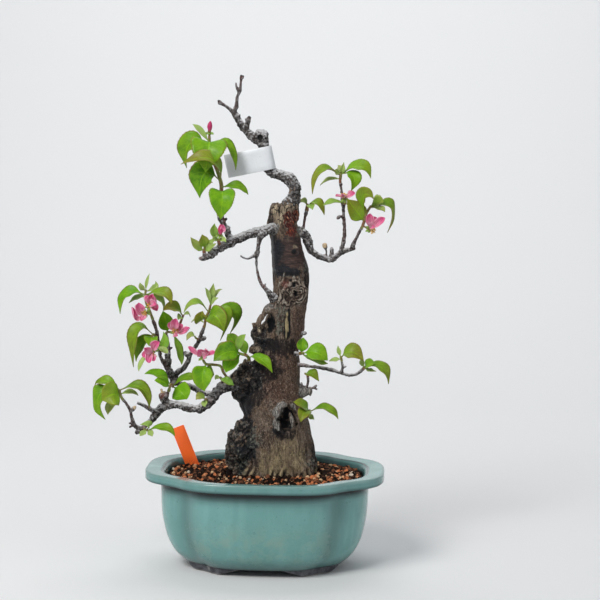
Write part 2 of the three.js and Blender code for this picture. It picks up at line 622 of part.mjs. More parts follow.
// Which of a row's points each of the three columns of a blade uses
const COLUMNS = [[0, 0, 0], [0, 0, 0], [0, 0, 1], [0, 1, 2]];

// A thin blade along a curve from root through mid to tip; turn rolls it from facing the front,
// fold lifts both halves from the midrib
function blade(root, mid, tip, width, turn, fold, profile, thickness) {
  const control = mid.clone().multiplyScalar(2).addScaledVector(root, -0.5).addScaledVector(tip, -0.5);
  const curve = new THREE.QuadraticBezierCurve3(root, control, tip);
  const chord = tip.clone().sub(root).normalize();
  const front = new THREE.Vector3(0, -1, 0);
  const side = chord.clone().cross(front).normalize();
  const facing = side.clone().cross(chord).normalize();
  const spread = side.multiplyScalar(Math.cos(radians(turn)));
  spread.addScaledVector(facing, Math.sin(radians(turn)));
  const points = [];
  const rows = profile.map(([share, swell, across], i) => {
    const centre = curve.getPoint(share);
    const along = curve.getTangent(share);
    const sideways = spread.clone().addScaledVector(along, -spread.dot(along)).normalize();
    const normal = sideways.clone().cross(along).normalize();
    const half = width / 2 * swell;
    const wave = i % 2 ? EDGE_WAVE * half : -EDGE_WAVE * half;
    const lift = half * Math.sin(radians(fold));
    const reach = half * Math.cos(radians(fold));
    const edge = (sign) => centre.clone()
      .addScaledVector(sideways, sign * reach)
      .addScaledVector(normal, (across === 3 ? lift : 0) - sign * wave);
    const top = [[centre], [centre], [edge(-1), edge(1)], [edge(-1), centre, edge(1)]][across];
    const first = points.length;
    points.push(...top);
    const index = COLUMNS[across].map((column) => first + column);
    if (across === 0) {
      return { top: index, bottom: index };
    }
    const down = normal.clone().multiplyScalar(-thickness / Math.cos(radians(fold)));
    points.push(...top.map((p) => p.clone().add(down)));
    return { top: index, bottom: index.map((one) => one + top.length) };
  });
  const triangles = [];
  const triangle = (a, b, c) => {
    if (a !== b && b !== c && c !== a) {
      triangles.push(a, b, c);
    }
  };
  const quad = (a, b, c, d) => {
    triangle(a, b, c);
    triangle(a, c, d);
  };
  rows.slice(1).forEach((next, i) => {
    const row = rows[i];
    for (const column of [0, 1]) {
      quad(row.top[column], row.top[column + 1], next.top[column + 1], next.top[column]);
      triangle(row.bottom[column], next.bottom[column + 1], row.bottom[column + 1]);
      triangle(row.bottom[column], next.bottom[column], next.bottom[column + 1]);
    }
    quad(next.top[0], next.bottom[0], row.bottom[0], row.top[0]);
    quad(row.top[2], row.bottom[2], next.bottom[2], next.top[2]);
  });
  const end = rows[rows.length - 1];
  for (const column of [0, 1]) {
    quad(end.top[column + 1], end.bottom[column + 1], end.bottom[column], end.top[column]);
  }
  return toSolid(closedGeometry(points, triangles));
}

// A leaf leaves its shoot at a share of the shoot's run
const leaf = (at, mid, tip, width, turn, fold) => ({ at, mid, tip, width, turn, fold });
const petal = (mid, tip, width, turn) => ({ mid, tip, width, turn });

// Green sprays: each grows on the end of a twig, holds its leaves, and may carry calyces for blossoms
const SPRAYS = [
  {
    name: 'spray_crown_left',
    twig: 'crownShoot',
    stem: [
      [-47.5, -21, 385], [-46.5, -22, 400.5], [-51, -22, 415.5], [-57, -23, 431], [-59, -23, 445],
      [-59, -23, 450],
    ],
    radii: [2.6, 1.4],
    leaves: [
      leaf(0.88, [-59, -36, 440], [-60, -34, 422], 30, 0, 12),
      leaf(0.86, [-81, -22, 440], [-82, -16, 417], 17, -48, 25),
      leaf(0.86, [-41, -25, 441], [-32, -29, 418], 14, 62, 25),
      leaf(0.44, [-54, -42, 424], [-85, -40, 424], 14, -62, 20),
      leaf(0.42, [-63, -31, 412], [-70, -27, 390], 24, -12, 25),
      leaf(0.36, [-45, -36, 387], [-48, -33, 372], 26, 0, 22),
      leaf(0.4, [-32, -22, 401], [-22, -18, 392], 12, 55, 25),
      leaf(0.92, [-68, -26, 456], [-76, -27, 462], 5.5, -20, 20),
    ],
    calyces: [{ at: 1, to: [-59, -23, 453.5] }],
  },
  {
    name: 'spray_left_tip',
    twig: 'longLeftSpur',
    stem: [[-62.6, -30.6, 335], [-62, -31.4, 338.5]],
    radii: [2.1, 1.2],
    leaves: [
      leaf(0.3, [-70, -36, 339], [-76, -38, 348], 8, -30, 25),
      leaf(0.7, [-63, -37, 344], [-64, -40, 351], 10, -20, 25),
      leaf(0.6, [-58, -28, 340], [-54, -24, 346], 7, 30, 25),
      leaf(0.3, [-57, -34, 337], [-50, -38, 342], 7, 30, 20),
    ],
    calyces: [],
  },
  {
    name: 'spray_left_fork',
    twig: 'forkSpur',
    stem: [[-48, -31.4, 344.6], [-47, -32.6, 347]],
    radii: [2, 1.4],
    leaves: [
      leaf(0.5, [-53, -34, 354], [-51.5, -36, 362], 8, -25, 25),
      leaf(0.4, [-43, -36, 346], [-40, -38, 343], 5, 30, 20),
      leaf(0.4, [-52, -36, 346], [-52, -39, 343], 5, -30, 20),
    ],
    calyces: [{ at: 1, to: [-46.5, -33.4, 349.5] }],
  },
  {
    name: 'spray_right_top',
    twig: 'rightShoot',
    stem: [[74.5, -3, 408.5], [75, -4, 414.5]],
    radii: [1.7, 1.4],
    leaves: [
      leaf(0.7, [56, -10, 416], [46, -12, 392], 13, -58, 25),
      leaf(0.4, [62, 4, 406], [53, 10, 400], 6, -60, 25),
      leaf(0.9, [70, -8, 415], [69, -12, 417], 6, -30, 25),
      leaf(1, [76, -6, 417], [78, -7, 425], 6, -20, 25),
      leaf(0.8, [94, -8, 421], [106, -10, 409], 15, 52, 22),
      leaf(0.9, [88, -12, 411], [86, -14, 396], 13, 38, 22),
      leaf(0.9, [75, 6, 417], [71, 14, 421], 7, -20, 20),
    ],
    calyces: [],
  },
  {
    name: 'spray_right_mid',
    twig: 'rightShootSpur',
    stem: [[80, -4.6, 383.6], [80, -6, 385]],
    radii: [1.6, 1.3],
    leaves: [
      leaf(0.4, [67, -8, 384], [57, -10, 380], 8, -64, 20),
      leaf(0.5, [86, -8, 378], [89, -10, 371], 5, 45, 20),
    ],
    calyces: [{ at: 1, to: [79.5, -7.4, 387] }],
  },
  {
    name: 'spray_right_inner',
    twig: 'innerRight',
    stem: [[39.5, 18, 376.5], [40, 17, 380]],
    radii: [2.1, 1.4],
    leaves: [
      leaf(0.7, [50, 14, 381], [58, 12, 369], 12, 58, 22),
      leaf(0.8, [35, 20, 383], [29, 24, 380], 7, -50, 22),
      leaf(0.9, [44, 10, 379], [46, 2, 375], 8, 30, 22),
    ],
    calyces: [],
  },
  {
    name: 'spray_right_outer',
    twig: 'rightOuterShoot',
    stem: [[99.5, -12, 364], [102.5, -14, 374.5], [106.5, -14, 381]],
    radii: [1.8, 1.3],
    leaves: [
      leaf(0.3, [92, -16, 375], [82, -20, 388], 17, -15, 20),
      leaf(0.5, [99, -26, 392], [110, -32, 389], 15, 38, 22),
      leaf(0.95, [127, -12, 380], [124, -6, 353], 14, 62, 22),
      leaf(0.95, [115, -20, 379], [121, -24, 376], 8, 60, 20),
      leaf(0.95, [114, -18, 386], [119, -22, 385], 9, 35, 22),
      leaf(0.95, [113, -8, 389], [113, -4, 392], 6, 10, 20),
    ],
    calyces: [{ at: 0.12, to: [105.5, -18, 357.5] }],
  },
  {
    name: 'spray_trunk_right',
    twig: 'trunkRightSpur',
    stem: [[37.5, -18, 228], [39.5, -21, 228.5]],
    radii: [2, 1.4],
    leaves: [
      leaf(0.9, [53, -28, 230], [65, -26, 222], 17, 38, 22),
      leaf(0.7, [52, -24, 221], [65, -20, 218], 12, 68, 20),
      leaf(0.5, [38, -17, 236], [39, -15, 244], 11, -10, 22),
    ],
    calyces: [],
  },
  {
    name: 'spray_low_right_mid',
    twig: 'lowRightUp',
    stem: [[78.5, -18, 223], [78, -18.5, 225.5]],
    radii: [1.4, 1.3],
    leaves: [
      leaf(0.5, [72, -20, 222], [66, -22, 221], 5, -50, 20),
      leaf(0.9, [76, -19, 231], [75, -20, 237], 4, 0, 20),
      leaf(0.8, [89, -24, 231], [102, -24, 222], 16, 40, 22),
    ],
    calyces: [],
  },
  {
    name: 'spray_low_right_tip',
    twig: 'lowRight',
    stem: [[102.6, -18.5, 214.5], [104, -19, 215.5]],
    radii: [1.8, 1.4],
    leaves: [
      leaf(0.6, [107, -24, 219], [114, -27, 220], 10, 45, 25),
      leaf(0.8, [120, -21, 215], [128, -21, 198], 13, 58, 22),
      leaf(0.6, [108, -22, 212], [115, -25, 212], 5, 60, 20),
      leaf(0.5, [100, -17, 219], [99, -16, 223], 5, 0, 20),
    ],
    calyces: [],
  },
  {
    name: 'spray_stub_right',
    twig: 'stubRightUp',
    stem: [[42.6, -9.4, 204.6], [40.8, -10.5, 205.6]],
    radii: [1.5, 1.2],
    leaves: [
      leaf(0.9, [47.5, -16.5, 206.5], [56, -18, 199], 11, 55, 22),
    ],
    calyces: [],
  },
  {
    name: 'spray_base_right',
    twig: 'baseRightSpur',
    stem: [[46, -20, 164.5], [47, -25, 169.5]],
    radii: [1.8, 1.3],
    leaves: [
      leaf(0.9, [40, -37, 177], [31, -42, 181], 11, -55, 22),
      leaf(0.9, [42, -40, 170], [39, -46, 161], 12, -20, 22),
      leaf(0.9, [64, -32, 173], [77, -36, 163], 12, 64, 22),
      leaf(0.4, [49, -28, 163], [52, -32, 161.5], 5, 20, 20),
    ],
    calyces: [],
  },
  {
    name: 'spray_burl_shoot',
    twig: 'burlShootSpur',
    stem: [[-19, -25, 225.5], [-25.5, -27, 227.5], [-29.5, -29, 230]],
    radii: [1.9, 1.3],
    leaves: [
      leaf(0.25, [-4, -33, 223], [9, -38, 210], 13, 58, 22),
      leaf(0.4, [-22, -24, 235], [-23, -22, 242], 9, 0, 22),
      leaf(0.9, [-33, -28, 241], [-39, -26, 247], 12, -15, 25),
      leaf(0.9, [-25, -33, 241], [-19, -36, 249], 8, 15, 22),
      leaf(0.7, [-37, -41, 231], [-51, -46, 222], 18, -25, 20),
      leaf(0.7, [-34, -36, 220], [-39, -38, 209], 14, -15, 22),
      leaf(0.95, [-41, -26, 234], [-51, -24, 230], 9, -35, 22),
    ],
    calyces: [],
  },
  {
    name: 'spray_flower_centre',
    twig: 'flowerSpur',
    stem: [[-43, -24, 207.5], [-45.5, -26, 214], [-53.5, -27, 215.5], [-61, -29, 216.5], [-63, -30, 220]],
    radii: [1.6, 1.3],
    leaves: [
      leaf(0.85, [-63, -37, 206], [-61, -36, 189], 19, 0, 25),
      leaf(0.75, [-57, -22, 208], [-58, -18, 197], 10, -20, 22),
    ],
    calyces: [{ at: 1, to: [-64, -30.5, 223] }],
  },
  {
    name: 'spray_burl_base',
    twig: 'burlBaseSpur',
    stem: [[-46, -22.6, 201.4], [-46, -25, 201.6]],
    radii: [1.5, 1.2],
    leaves: [
      leaf(0.8, [-39, -30, 199], [-31, -32, 195], 9, 50, 22),
      leaf(0.6, [-49, -25, 202], [-51, -28, 200], 5, -40, 22),
    ],
    calyces: [],
  },
  {
    name: 'spray_left_top',
    twig: 'secondUpright',
    stem: [[-63, -9, 261.5], [-60, -9, 268], [-58, -10, 275.5]],
    radii: [1.9, 1.2],
    leaves: [
      leaf(0.35, [-67, -17, 263], [-65, -19, 270], 14, -10, 22),
      leaf(0.35, [-52, -20, 265], [-43, -22, 249], 19, 20, 22),
      leaf(0.7, [-41, -13, 270], [-47, -16, 239], 11, 62, 22),
      leaf(0.8, [-35, -4, 268], [-38, -2, 245], 15, 48, 22),
      leaf(0.7, [-73, -14, 278], [-85, -20, 268], 9, -66, 22),
      leaf(1, [-57, -10, 287], [-55, -10, 298], 7, -20, 25),
      leaf(1, [-60, -14, 287], [-63, -18, 294], 4, -20, 20),
      leaf(1, [-53, -5, 287], [-47, 0, 291], 4, 20, 20),
      leaf(0.9, [-54, -15, 281], [-49, -20, 284], 4, 40, 20),
      leaf(0.2, [-73, -6, 259], [-79, -4, 256], 5, -66, 20),
    ],
    calyces: [],
  },
  {
    name: 'spray_left_mid',
    twig: 'leftMidSpur',
    stem: [[-72, -11, 240], [-73.4, -12, 241]],
    radii: [1.4, 1.1],
    leaves: [
      leaf(0.8, [-77, -15, 244], [-82, -18, 239], 8, -60, 22),
    ],
    calyces: [],
  },
  {
    name: 'spray_far_left_top',
    twig: 'farUpright',
    stem: [[-122, -7, 267.5], [-125.5, -7, 276], [-126.5, -7, 285], [-126, -7, 289.5]],
    radii: [1.7, 1.2],
    leaves: [
      leaf(0.85, [-145, -8, 285], [-153, -8, 264], 15, -55, 22),
      leaf(0.8, [-136, 0, 280], [-146, 6, 274], 8, -62, 22),
      leaf(0.85, [-108, -12, 287], [-98, -16, 276], 14, 55, 22),
      leaf(0.85, [-112, 0, 279], [-109, 4, 267], 8, 55, 22),
      leaf(0.95, [-117, -2, 292], [-117, -1, 298], 6, 10, 22),
      leaf(1, [-130, -12, 293], [-131, -14, 298], 5, -10, 20),
      leaf(1, [-125, -7, 298], [-122, -7, 307], 3.2, 0, 20),
    ],
    calyces: [{ at: 0.4, to: [-121, -15, 273.5] }, { at: 0.25, to: [-124.5, -15, 266.5] }],
  },
  {
    name: 'spray_left_inner',
    twig: 'firstUpright',
    stem: [[-105, 14, 243], [-99.5, 9, 243], [-93, 6, 250.5], [-88, 5, 262.5]],
    radii: [1.6, 1.2],
    leaves: [
      leaf(0.12, [-107, 9, 254], [-110, 7, 266], 14, -8, 20),
      leaf(0.97, [-97, -1, 271], [-108, -7, 268], 12, -50, 22),
      leaf(0.97, [-84, 8, 264], [-81, 10, 260], 4, 50, 20),
      leaf(0.9, [-91, 1, 261], [-93, -2, 258], 7, -30, 22),
      leaf(0.4, [-93, 5, 225], [-89, 2, 210], 9, 50, 22),
    ],
    calyces: [{ at: 0.4, to: [-97, 2, 245] }],
  },
  {
    name: 'spray_far_left_low',
    twig: 'farUprightSpur',
    stem: [[-117.5, -7, 243], [-119, -11, 241.5], [-117, -14, 235], [-115.5, -15, 230]],
    radii: [1.5, 1.3],
    leaves: [
      leaf(0.25, [-134, -12, 247], [-138, -14, 209], 17, -50, 22),
      leaf(0.15, [-130, -4, 233], [-137, -2, 213], 13, -35, 22),
      leaf(0.45, [-119, -17, 239], [-121, -18, 232], 13, -10, 20),
      leaf(0.85, [-128, -20, 216], [-131, -22, 206], 5, -30, 20),
      leaf(0.9, [-106, -14, 234], [-107, -12, 247], 9, 0, 22),
      leaf(0.9, [-105, -18, 228], [-102, -20, 225], 6, 30, 20),
    ],
    calyces: [{ at: 1, to: [-116, -17, 227.5] }],
  },
  {
    name: 'spray_limb_top',
    twig: 'limbTopSpur',
    stem: [[-99, -19, 190], [-98, -19, 193.5]],
    radii: [1.8, 1.3],
    leaves: [
      leaf(0.9, [-110, -22, 203], [-125, -24, 204], 11, -60, 22),
      leaf(0.6, [-105, -26, 196], [-114, -28, 198], 11, -50, 22),
    ],
    calyces: [],
  },
  {
    name: 'spray_limb_mid',
    twig: 'limbMidSpur',
    stem: [[-99, 3, 186.6], [-97.5, -3, 187.5]],
    radii: [1.7, 1.3],
    leaves: [
      leaf(0.9, [-88, -10, 183], [-82, -12, 176], 19, 12, 20),
      leaf(0.3, [-84, 4, 196], [-73, 6, 192], 11, 55, 22),
    ],
    calyces: [],
  },
  {
    name: 'spray_limb_base',
    twig: 'limbBaseSpur',
    stem: [[-59.4, -30, 179.4], [-60.4, -32, 180.4]],
    radii: [1.6, 1.2],
    leaves: [
      leaf(0.8, [-65, -34, 183], [-70, -36, 180], 9, -50, 22),
      leaf(0.8, [-61, -35, 176], [-60, -37, 173], 6, -10, 22),
    ],
    calyces: [],
  },
  {
    name: 'spray_far_left_end',
    twig: 'farLeft',
    stem: [[-149, -33, 184], [-149.5, -33, 188.5]],
    radii: [1.7, 1.3],
    leaves: [
      leaf(0.5, [-156, -42, 185], [-165, -44, 181], 19, -22, 18),
      leaf(0.9, [-171, -34, 181], [-164, -36, 157], 18, -35, 22),
      leaf(0.4, [-159, -30, 172], [-162, -30, 161], 8, -10, 22),
      leaf(0.97, [-165, -30, 196], [-178, -26, 191], 12, -58, 22),
      leaf(0.97, [-127, -36, 191], [-118, -38, 170], 14, 58, 22),
      leaf(0.6, [-138, -28, 185], [-131, -25, 181], 7, 58, 22),
    ],
    calyces: [],
  },
  {
    name: 'spray_limb_low',
    twig: 'limbLowSpur',
    stem: [[-124, -22, 144.5], [-121.5, -23.5, 144.5]],
    radii: [1.6, 1.3],
    leaves: [
      leaf(0.8, [-120, -25, 151], [-129, -28, 151], 7, -40, 22),
      leaf(0.9, [-118, -26, 142], [-116, -28, 139], 6, 20, 22),
      leaf(0.8, [-126, -28, 142], [-129, -31, 140], 6, -30, 22),
      leaf(0.9, [-104, -27, 148], [-92, -30, 140], 11, 58, 22),
    ],
    calyces: [],
  },
];

// Blossoms and buds: each sits on one calyx of a spray
const BLOOMS = [
  {
    name: 'bud_crown_left',
    spray: 'spray_crown_left',
    calyx: 0,
    bud: { tip: [-58, -24, 465.5], width: 5.2 },
    petals: [],
  },
  {
    name: 'bud_left_fork',
    spray: 'spray_left_fork',
    calyx: 0,
    bud: { tip: [-45.5, -35, 361.5], width: 5.2 },
    petals: [petal([-43, -35.5, 356], [-43, -38, 361], 6, 0)],
  },
  {
    name: 'bloom_right_mid',
    spray: 'spray_right_mid',
    calyx: 0,
    petals: [
      petal([74, -9, 390], [70, -10, 390], 4, -60),
      petal([85, -10, 391], [90, -12, 394], 8, 35),
      petal([78, -14, 391], [77, -18, 393], 6, 10),
    ],
  },
  {
    name: 'bloom_right_outer',
    spray: 'spray_right_outer',
    calyx: 0,
    petals: [
      petal([105, -24, 367], [106, -27, 374], 9, -10),
      petal([114, -26, 364], [121, -30, 370], 8.5, 20),
      petal([110, -17, 364], [113, -15, 369], 9, 10),
      petal([108, -30, 362], [111, -36, 361], 7, 30),
      petal([106, -20, 364], [105, -21, 368], 7, 0),
    ],
  },
  {
    name: 'bloom_far_left_upper',
    spray: 'spray_far_left_top',
    calyx: 0,
    petals: [
      petal([-119, -20, 281], [-117, -23, 287], 10, -10),
      petal([-114, -22, 280], [-115, -28, 285], 8, 20),
      petal([-115, -20, 273], [-112, -24, 270], 8, 30),
      petal([-122, -15, 280], [-122, -13, 284], 9, 0),
      petal([-116, -28, 278], [-112, -33, 277], 8, 30),
    ],
  },
  {
    name: 'bloom_far_left_lower',
    spray: 'spray_far_left_top',
    calyx: 1,
    petals: [
      petal([-130, -22, 270], [-131, -25, 278], 11, -20),
      petal([-134, -20, 261], [-138, -24, 273], 8.5, -35),
      petal([-126, -24, 262], [-128, -29, 260], 8, -20),
      petal([-131, -13, 270], [-132, -11, 275], 9, -10),
    ],
  },
  {
    name: 'bloom_left_inner',
    spray: 'spray_left_inner',
    calyx: 0,
    petals: [
      petal([-96, -5, 253], [-94, -8, 260], 10, 0),
      petal([-87, -4, 245], [-80, -8, 251], 8.5, 40),
      petal([-92, -2, 249], [-90, -1, 254], 8, 10),
      petal([-94, -8, 244], [-92, -13, 243], 7, 0),
      petal([-100, 1, 250], [-101, 2, 255], 7, 0),
    ],
  },
  {
    name: 'bloom_far_left_low',
    spray: 'spray_far_left_low',
    calyx: 0,
    petals: [
      petal([-120, -24, 223], [-119, -27, 216], 8, 0),
      petal([-122, -22, 225], [-126, -23, 221], 7.5, -20),
      petal([-116, -23, 222], [-114, -25, 218], 6, 10),
      petal([-114, -24, 233], [-109, -28, 238], 10, 20),
      petal([-121, -26, 229], [-124, -31, 232], 8, -10),
    ],
  },
  {
    name: 'bloom_flower_centre',
    spray: 'spray_flower_centre',
    calyx: 0,
    petals: [
      petal([-65, -36, 229], [-68, -39, 232], 10, -10),
      petal([-57, -36, 227], [-49, -39, 230], 6, 50),
      petal([-60, -34, 230], [-61, -35, 233], 9, 10),
      petal([-72, -34, 229], [-78, -36, 235], 6, -30),
      petal([-60, -41, 227], [-58, -45, 228], 8, 20),
    ],
  },
];

const CALYX_RADIUS = 1.9;
const SEPAL_COUNT = 5;
const SEPAL_REACH = 5;
const SEPAL_BEND = 1.6;
const SEPAL_THICKNESS = 0.8;

// Leaves and calyces at a shoot's end start just inside it
const LAST_SHARE = 0.97;
const SHOOT_SIDES = 4;

function stemPath(spray) {
  const { tip, direction } = endOf(LIMBS[spray.twig][1]);
  const start = tip.clone().addScaledVector(direction, SHOOT_GAP);
  const first = start.clone().addScaledVector(direction, 1.5);
  return [start, first, ...spray.stem.map(vec)];
}

function pointOn(path, share) {
  const lengths = path.slice(1).map((p, i) => p.distanceTo(path[i]));
  const total = lengths.reduce((sum, length) => sum + length, 0);
  let rest = share * total;
  for (let i = 0; i < lengths.length; i += 1) {
    if (rest <= lengths[i] || i === lengths.length - 1) {
      return path[i].clone().lerp(path[i + 1], Math.min(rest / lengths[i], 1));
    }
    rest -= lengths[i];
  }
  return path[path.length - 1].clone();
}

function leafProfile(width) {
  if (width >= WIDE_LEAF) {
    return LEAF_PROFILE;
  }
  return width >= NARROW_LEAF ? MIDDLE_LEAF_PROFILE : SMALL_LEAF_PROFILE;
}

// A calyx: a green tube with a ring of pointed sepals that bend back
function calyxSolids(path, calyx) {
  const root = pointOn(path, Math.min(calyx.at, LAST_SHARE));
  const to = vec(calyx.to);
  const direction = to.clone().sub(root).normalize();
  const side = new THREE.Vector3(1, 0, 0).cross(direction).normalize();
  const star = [SEPAL_THICKNESS, 0].map((depth) => {
    const ring = [];
    for (let i = 0; i < 2 * SEPAL_COUNT; i += 1) {
      const outward = side.clone().applyAxisAngle(direction, Math.PI * i / SEPAL_COUNT);
      const radius = i % 2 ? CALYX_RADIUS : SEPAL_REACH;
      const back = depth + (i % 2 ? 0 : SEPAL_BEND);
      ring.push(to.clone().addScaledVector(outward, radius).addScaledVector(direction, -back));
    }
    return ring;
  });
  const tube = limb([[...root, 1], [...to.clone().addScaledVector(direction, -0.4), 1.5]], 5);
  return [tube, toSolid(loft(star))];
}

function makeSpray(spray) {
  const path = stemPath(spray);
  const stations = path.map((p, i) => {
    const share = i / (path.length - 1);
    return [...p, lerp(spray.radii[0], spray.radii[1], share)];
  });
  const solids = [limb(stations, SHOOT_SIDES)];
  for (const { at, mid, tip, width, turn, fold } of spray.leaves) {
    const root = pointOn(path, Math.min(at, LAST_SHARE));
    const profile = leafProfile(width);
    solids.push(blade(root, vec(mid), vec(tip), width, turn, fold, profile, BLADE_THICKNESS));
  }
  for (const calyx of spray.calyces) {
    solids.push(...calyxSolids(path, calyx));
  }
  return soundBody(fuse(solids, BLADE_MERGE));
}

function makeBloom(bloom) {
  const spray = SPRAYS.find((one) => one.name === bloom.spray);
  const path = stemPath(spray);
  const calyx = spray.calyces[bloom.calyx];
  const root = pointOn(path, Math.min(calyx.at, LAST_SHARE));
  const direction = vec(calyx.to).sub(root).normalize();
  const base = vec(calyx.to).addScaledVector(direction, SHOOT_GAP);
  const heart = base.clone().addScaledVector(direction, 1.6);
  const solids = [limb([[...base, 1.5], [...heart, 1.8]], SHOOT_SIDES)];
  if (bloom.bud) {
    const tip = vec(bloom.bud.tip);
    const half = bloom.bud.width / 2;
    const along = (share) => heart.clone().lerp(tip, share);
    solids.push(limb([
      [...along(0), 1.6],
      [...along(0.35), half],
      [...along(0.75), 0.7 * half],
      [...along(1), 0.4],
    ], 7));
  }
  for (const { mid, tip, width, turn } of bloom.petals) {
    const start = heart.clone().addScaledVector(direction, -0.6);
    const shape = [width, turn, PETAL_FOLD, PETAL_PROFILE, PETAL_THICKNESS];
    solids.push(blade(start, vec(mid), vec(tip), ...shape));
  }
  return soundBody(fuse(solids, BLADE_MERGE));
}

// Assembly

const group = new THREE.Group();

function place(name, geometry, material) {
  const mesh = new THREE.Mesh(geometry, material);
  mesh.name = name;
  group.add(mesh);
  return mesh;
}

place('pot', toGeometry(makePot()), MATERIALS.glaze);
place('drain_mesh_left', toGeometry(meshPlate(0)), MATERIALS.mesh).position.x = -DRAIN_HOLE_OFFSET;
place('drain_mesh_right', toGeometry(meshPlate(0)), MATERIALS.mesh).position.x = DRAIN_HOLE_OFFSET;
place('soil', toGeometry(makeSoil()), MATERIALS.soil);
place('tree_wood', toGeometry(makeWood()), MATERIALS.bark);
for (const spray of SPRAYS) {
  place(spray.name, toGeometry(makeSpray(spray)), MATERIALS.leaf);
}
for (const bloom of BLOOMS) {
  place(bloom.name, toGeometry(makeBloom(bloom)), MATERIALS.petal);
}
place('tag_band', tagShape(), MATERIALS.tag);
place('stake_label', stakeShape(0), MATERIALS.stake);

// The origin is the centre of the whole object's footprint, on the surface that the feet stand on
const box = new THREE.Box3().setFromObject(group);
group.position.x = -(box.min.x + box.max.x) / 2;
group.position.y = -(box.min.y + box.max.y) / 2;

export default group;
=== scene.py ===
"""Old flowering quince tree in its glazed pot, built piece by piece round the packed model."""

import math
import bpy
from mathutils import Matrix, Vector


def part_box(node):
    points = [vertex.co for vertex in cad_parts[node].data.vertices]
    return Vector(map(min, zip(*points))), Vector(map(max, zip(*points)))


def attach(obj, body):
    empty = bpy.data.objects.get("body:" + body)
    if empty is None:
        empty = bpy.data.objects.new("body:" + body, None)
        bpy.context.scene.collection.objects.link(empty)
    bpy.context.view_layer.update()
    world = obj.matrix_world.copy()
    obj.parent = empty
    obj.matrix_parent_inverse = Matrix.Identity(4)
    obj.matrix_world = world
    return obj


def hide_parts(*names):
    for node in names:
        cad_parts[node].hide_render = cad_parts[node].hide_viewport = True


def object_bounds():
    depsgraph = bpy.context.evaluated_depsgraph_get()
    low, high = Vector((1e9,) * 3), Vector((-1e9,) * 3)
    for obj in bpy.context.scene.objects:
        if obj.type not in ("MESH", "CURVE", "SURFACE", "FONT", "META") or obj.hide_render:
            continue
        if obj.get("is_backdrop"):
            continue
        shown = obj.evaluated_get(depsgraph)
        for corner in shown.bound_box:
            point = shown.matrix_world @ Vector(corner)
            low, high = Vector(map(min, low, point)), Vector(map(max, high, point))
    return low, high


bl_info = {
    "name": "Chinese Quince Bonsai",
    "version": (1, 0, 0),
    "blender": (4, 5, 0),
    "location": "3D View > Sidebar > Bonsai",
    "description": "Builds a chopped quince trunk with young leaves and blossoms in a glazed pot",
    "category": "Object",
}

from collections import namedtuple
from itertools import product

import bpy
import numpy as np
from mathutils import Matrix, Vector, kdtree

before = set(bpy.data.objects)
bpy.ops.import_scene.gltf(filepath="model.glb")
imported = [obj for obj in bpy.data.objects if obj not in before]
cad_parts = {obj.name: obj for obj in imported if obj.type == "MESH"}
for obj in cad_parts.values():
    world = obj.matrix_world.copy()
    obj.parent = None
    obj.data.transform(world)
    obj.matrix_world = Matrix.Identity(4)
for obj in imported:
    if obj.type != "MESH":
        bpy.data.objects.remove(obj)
CAD_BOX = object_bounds()

# Everything is measured in millimetres from the middle of the pot, at the height of its feet
MM = 0.001
POT_LOW, POT_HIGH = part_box("pot")
POT_CENTRE = np.array([(POT_LOW.x + POT_HIGH.x) / 2, (POT_LOW.y + POT_HIGH.y) / 2, 0])
BOX_LOW, BOX_HIGH = ((np.array(corner) - POT_CENTRE) / MM for corner in CAD_BOX)
UP = np.array([0, 0, 1])
FRONT = np.array([0, -1, 0])


# Small sums

def unit(vector):
    """The same direction, with a length of one."""
    vector = np.asarray(vector, float)
    length = np.linalg.norm(vector, axis=-1, keepdims=True)
    return vector / np.maximum(length, 1e-9)


def smooth(value, low, high):
    """0 below low and 1 above high, with a soft step between them."""
    share = np.clip((value - low) / (high - low), 0, 1)
    return share * share * (3 - 2 * share)


def through(stations, values, at):
    """Values on a smooth curve through the stations."""
    stations = np.asarray(stations, float)
    values = np.asarray(values, float)
    at = np.clip(at, stations[0], stations[-1])
    slopes = np.gradient(values, stations, axis=0)
    index = np.clip(np.searchsorted(stations, at, side="right") - 1, 0, len(stations) - 2)
    span = stations[index + 1] - stations[index]
    share = (at - stations[index]) / span
    if values.ndim > 1:
        share, span = share[:, None], span[:, None]
    square, cube = share ** 2, share ** 3
    return ((2 * cube - 3 * square + 1) * values[index] + (cube - 2 * square + share) * span * slopes[index]
            + (3 * square - 2 * cube) * values[index + 1] + (cube - square) * span * slopes[index + 1])


def run_along(path):
    """How far along a path each of its points lies."""
    return np.concatenate([[0], np.cumsum(np.linalg.norm(np.diff(path, axis=0), axis=1))])


def circle(count):
    """Angles spread evenly round a full turn."""
    return 2 * np.pi * np.arange(count) / count


def rows_of(text):
    """The rows of numbers in a text, with commas between them."""
    return [tuple(float(value) for value in row.split()) for row in text.split(",") if row.strip()]


def table_of(text):
    """The named lines of a text, each cut at its bars; a line that starts with blanks carries on the last one."""
    lines = text.strip().replace("\n  ", " ").split("\n")
    return {name: parts.split("|") for name, parts in (line.split(":") for line in lines)}


def lattice(cell, seed):
    """One repeatable value from 0 to 1 for each whole-numbered cell."""
    mixed = cell[..., 0] * 73856093 ^ cell[..., 1] * 19349663 ^ cell[..., 2] * 83492791
    mixed = (mixed ^ seed * 50331653) & 0xFFFFFFFF
    mixed = ((mixed ^ (mixed >> 15)) * 2246822519) & 0xFFFFFFFF
    mixed = ((mixed ^ (mixed >> 13)) * 3266489917) & 0xFFFFFFFF
    return ((mixed ^ (mixed >> 16)) & 0xFFFF) / 65535


def drift(points, size, seed):
    """Soft random values from -1 to 1 that change over about the given size."""
    scaled = points / size
    base = np.floor(scaled)
    part = scaled - base
    part = part ** 3 * (part * (part * 6 - 15) + 10)
    base = base.astype(np.int64)
    total = 0
    for corner in product((0, 1), repeat=3):
        weight = np.prod(np.where(corner, part, 1 - part), axis=-1)
        total = total + weight * lattice(base + corner, seed)
    return 2 * total - 1


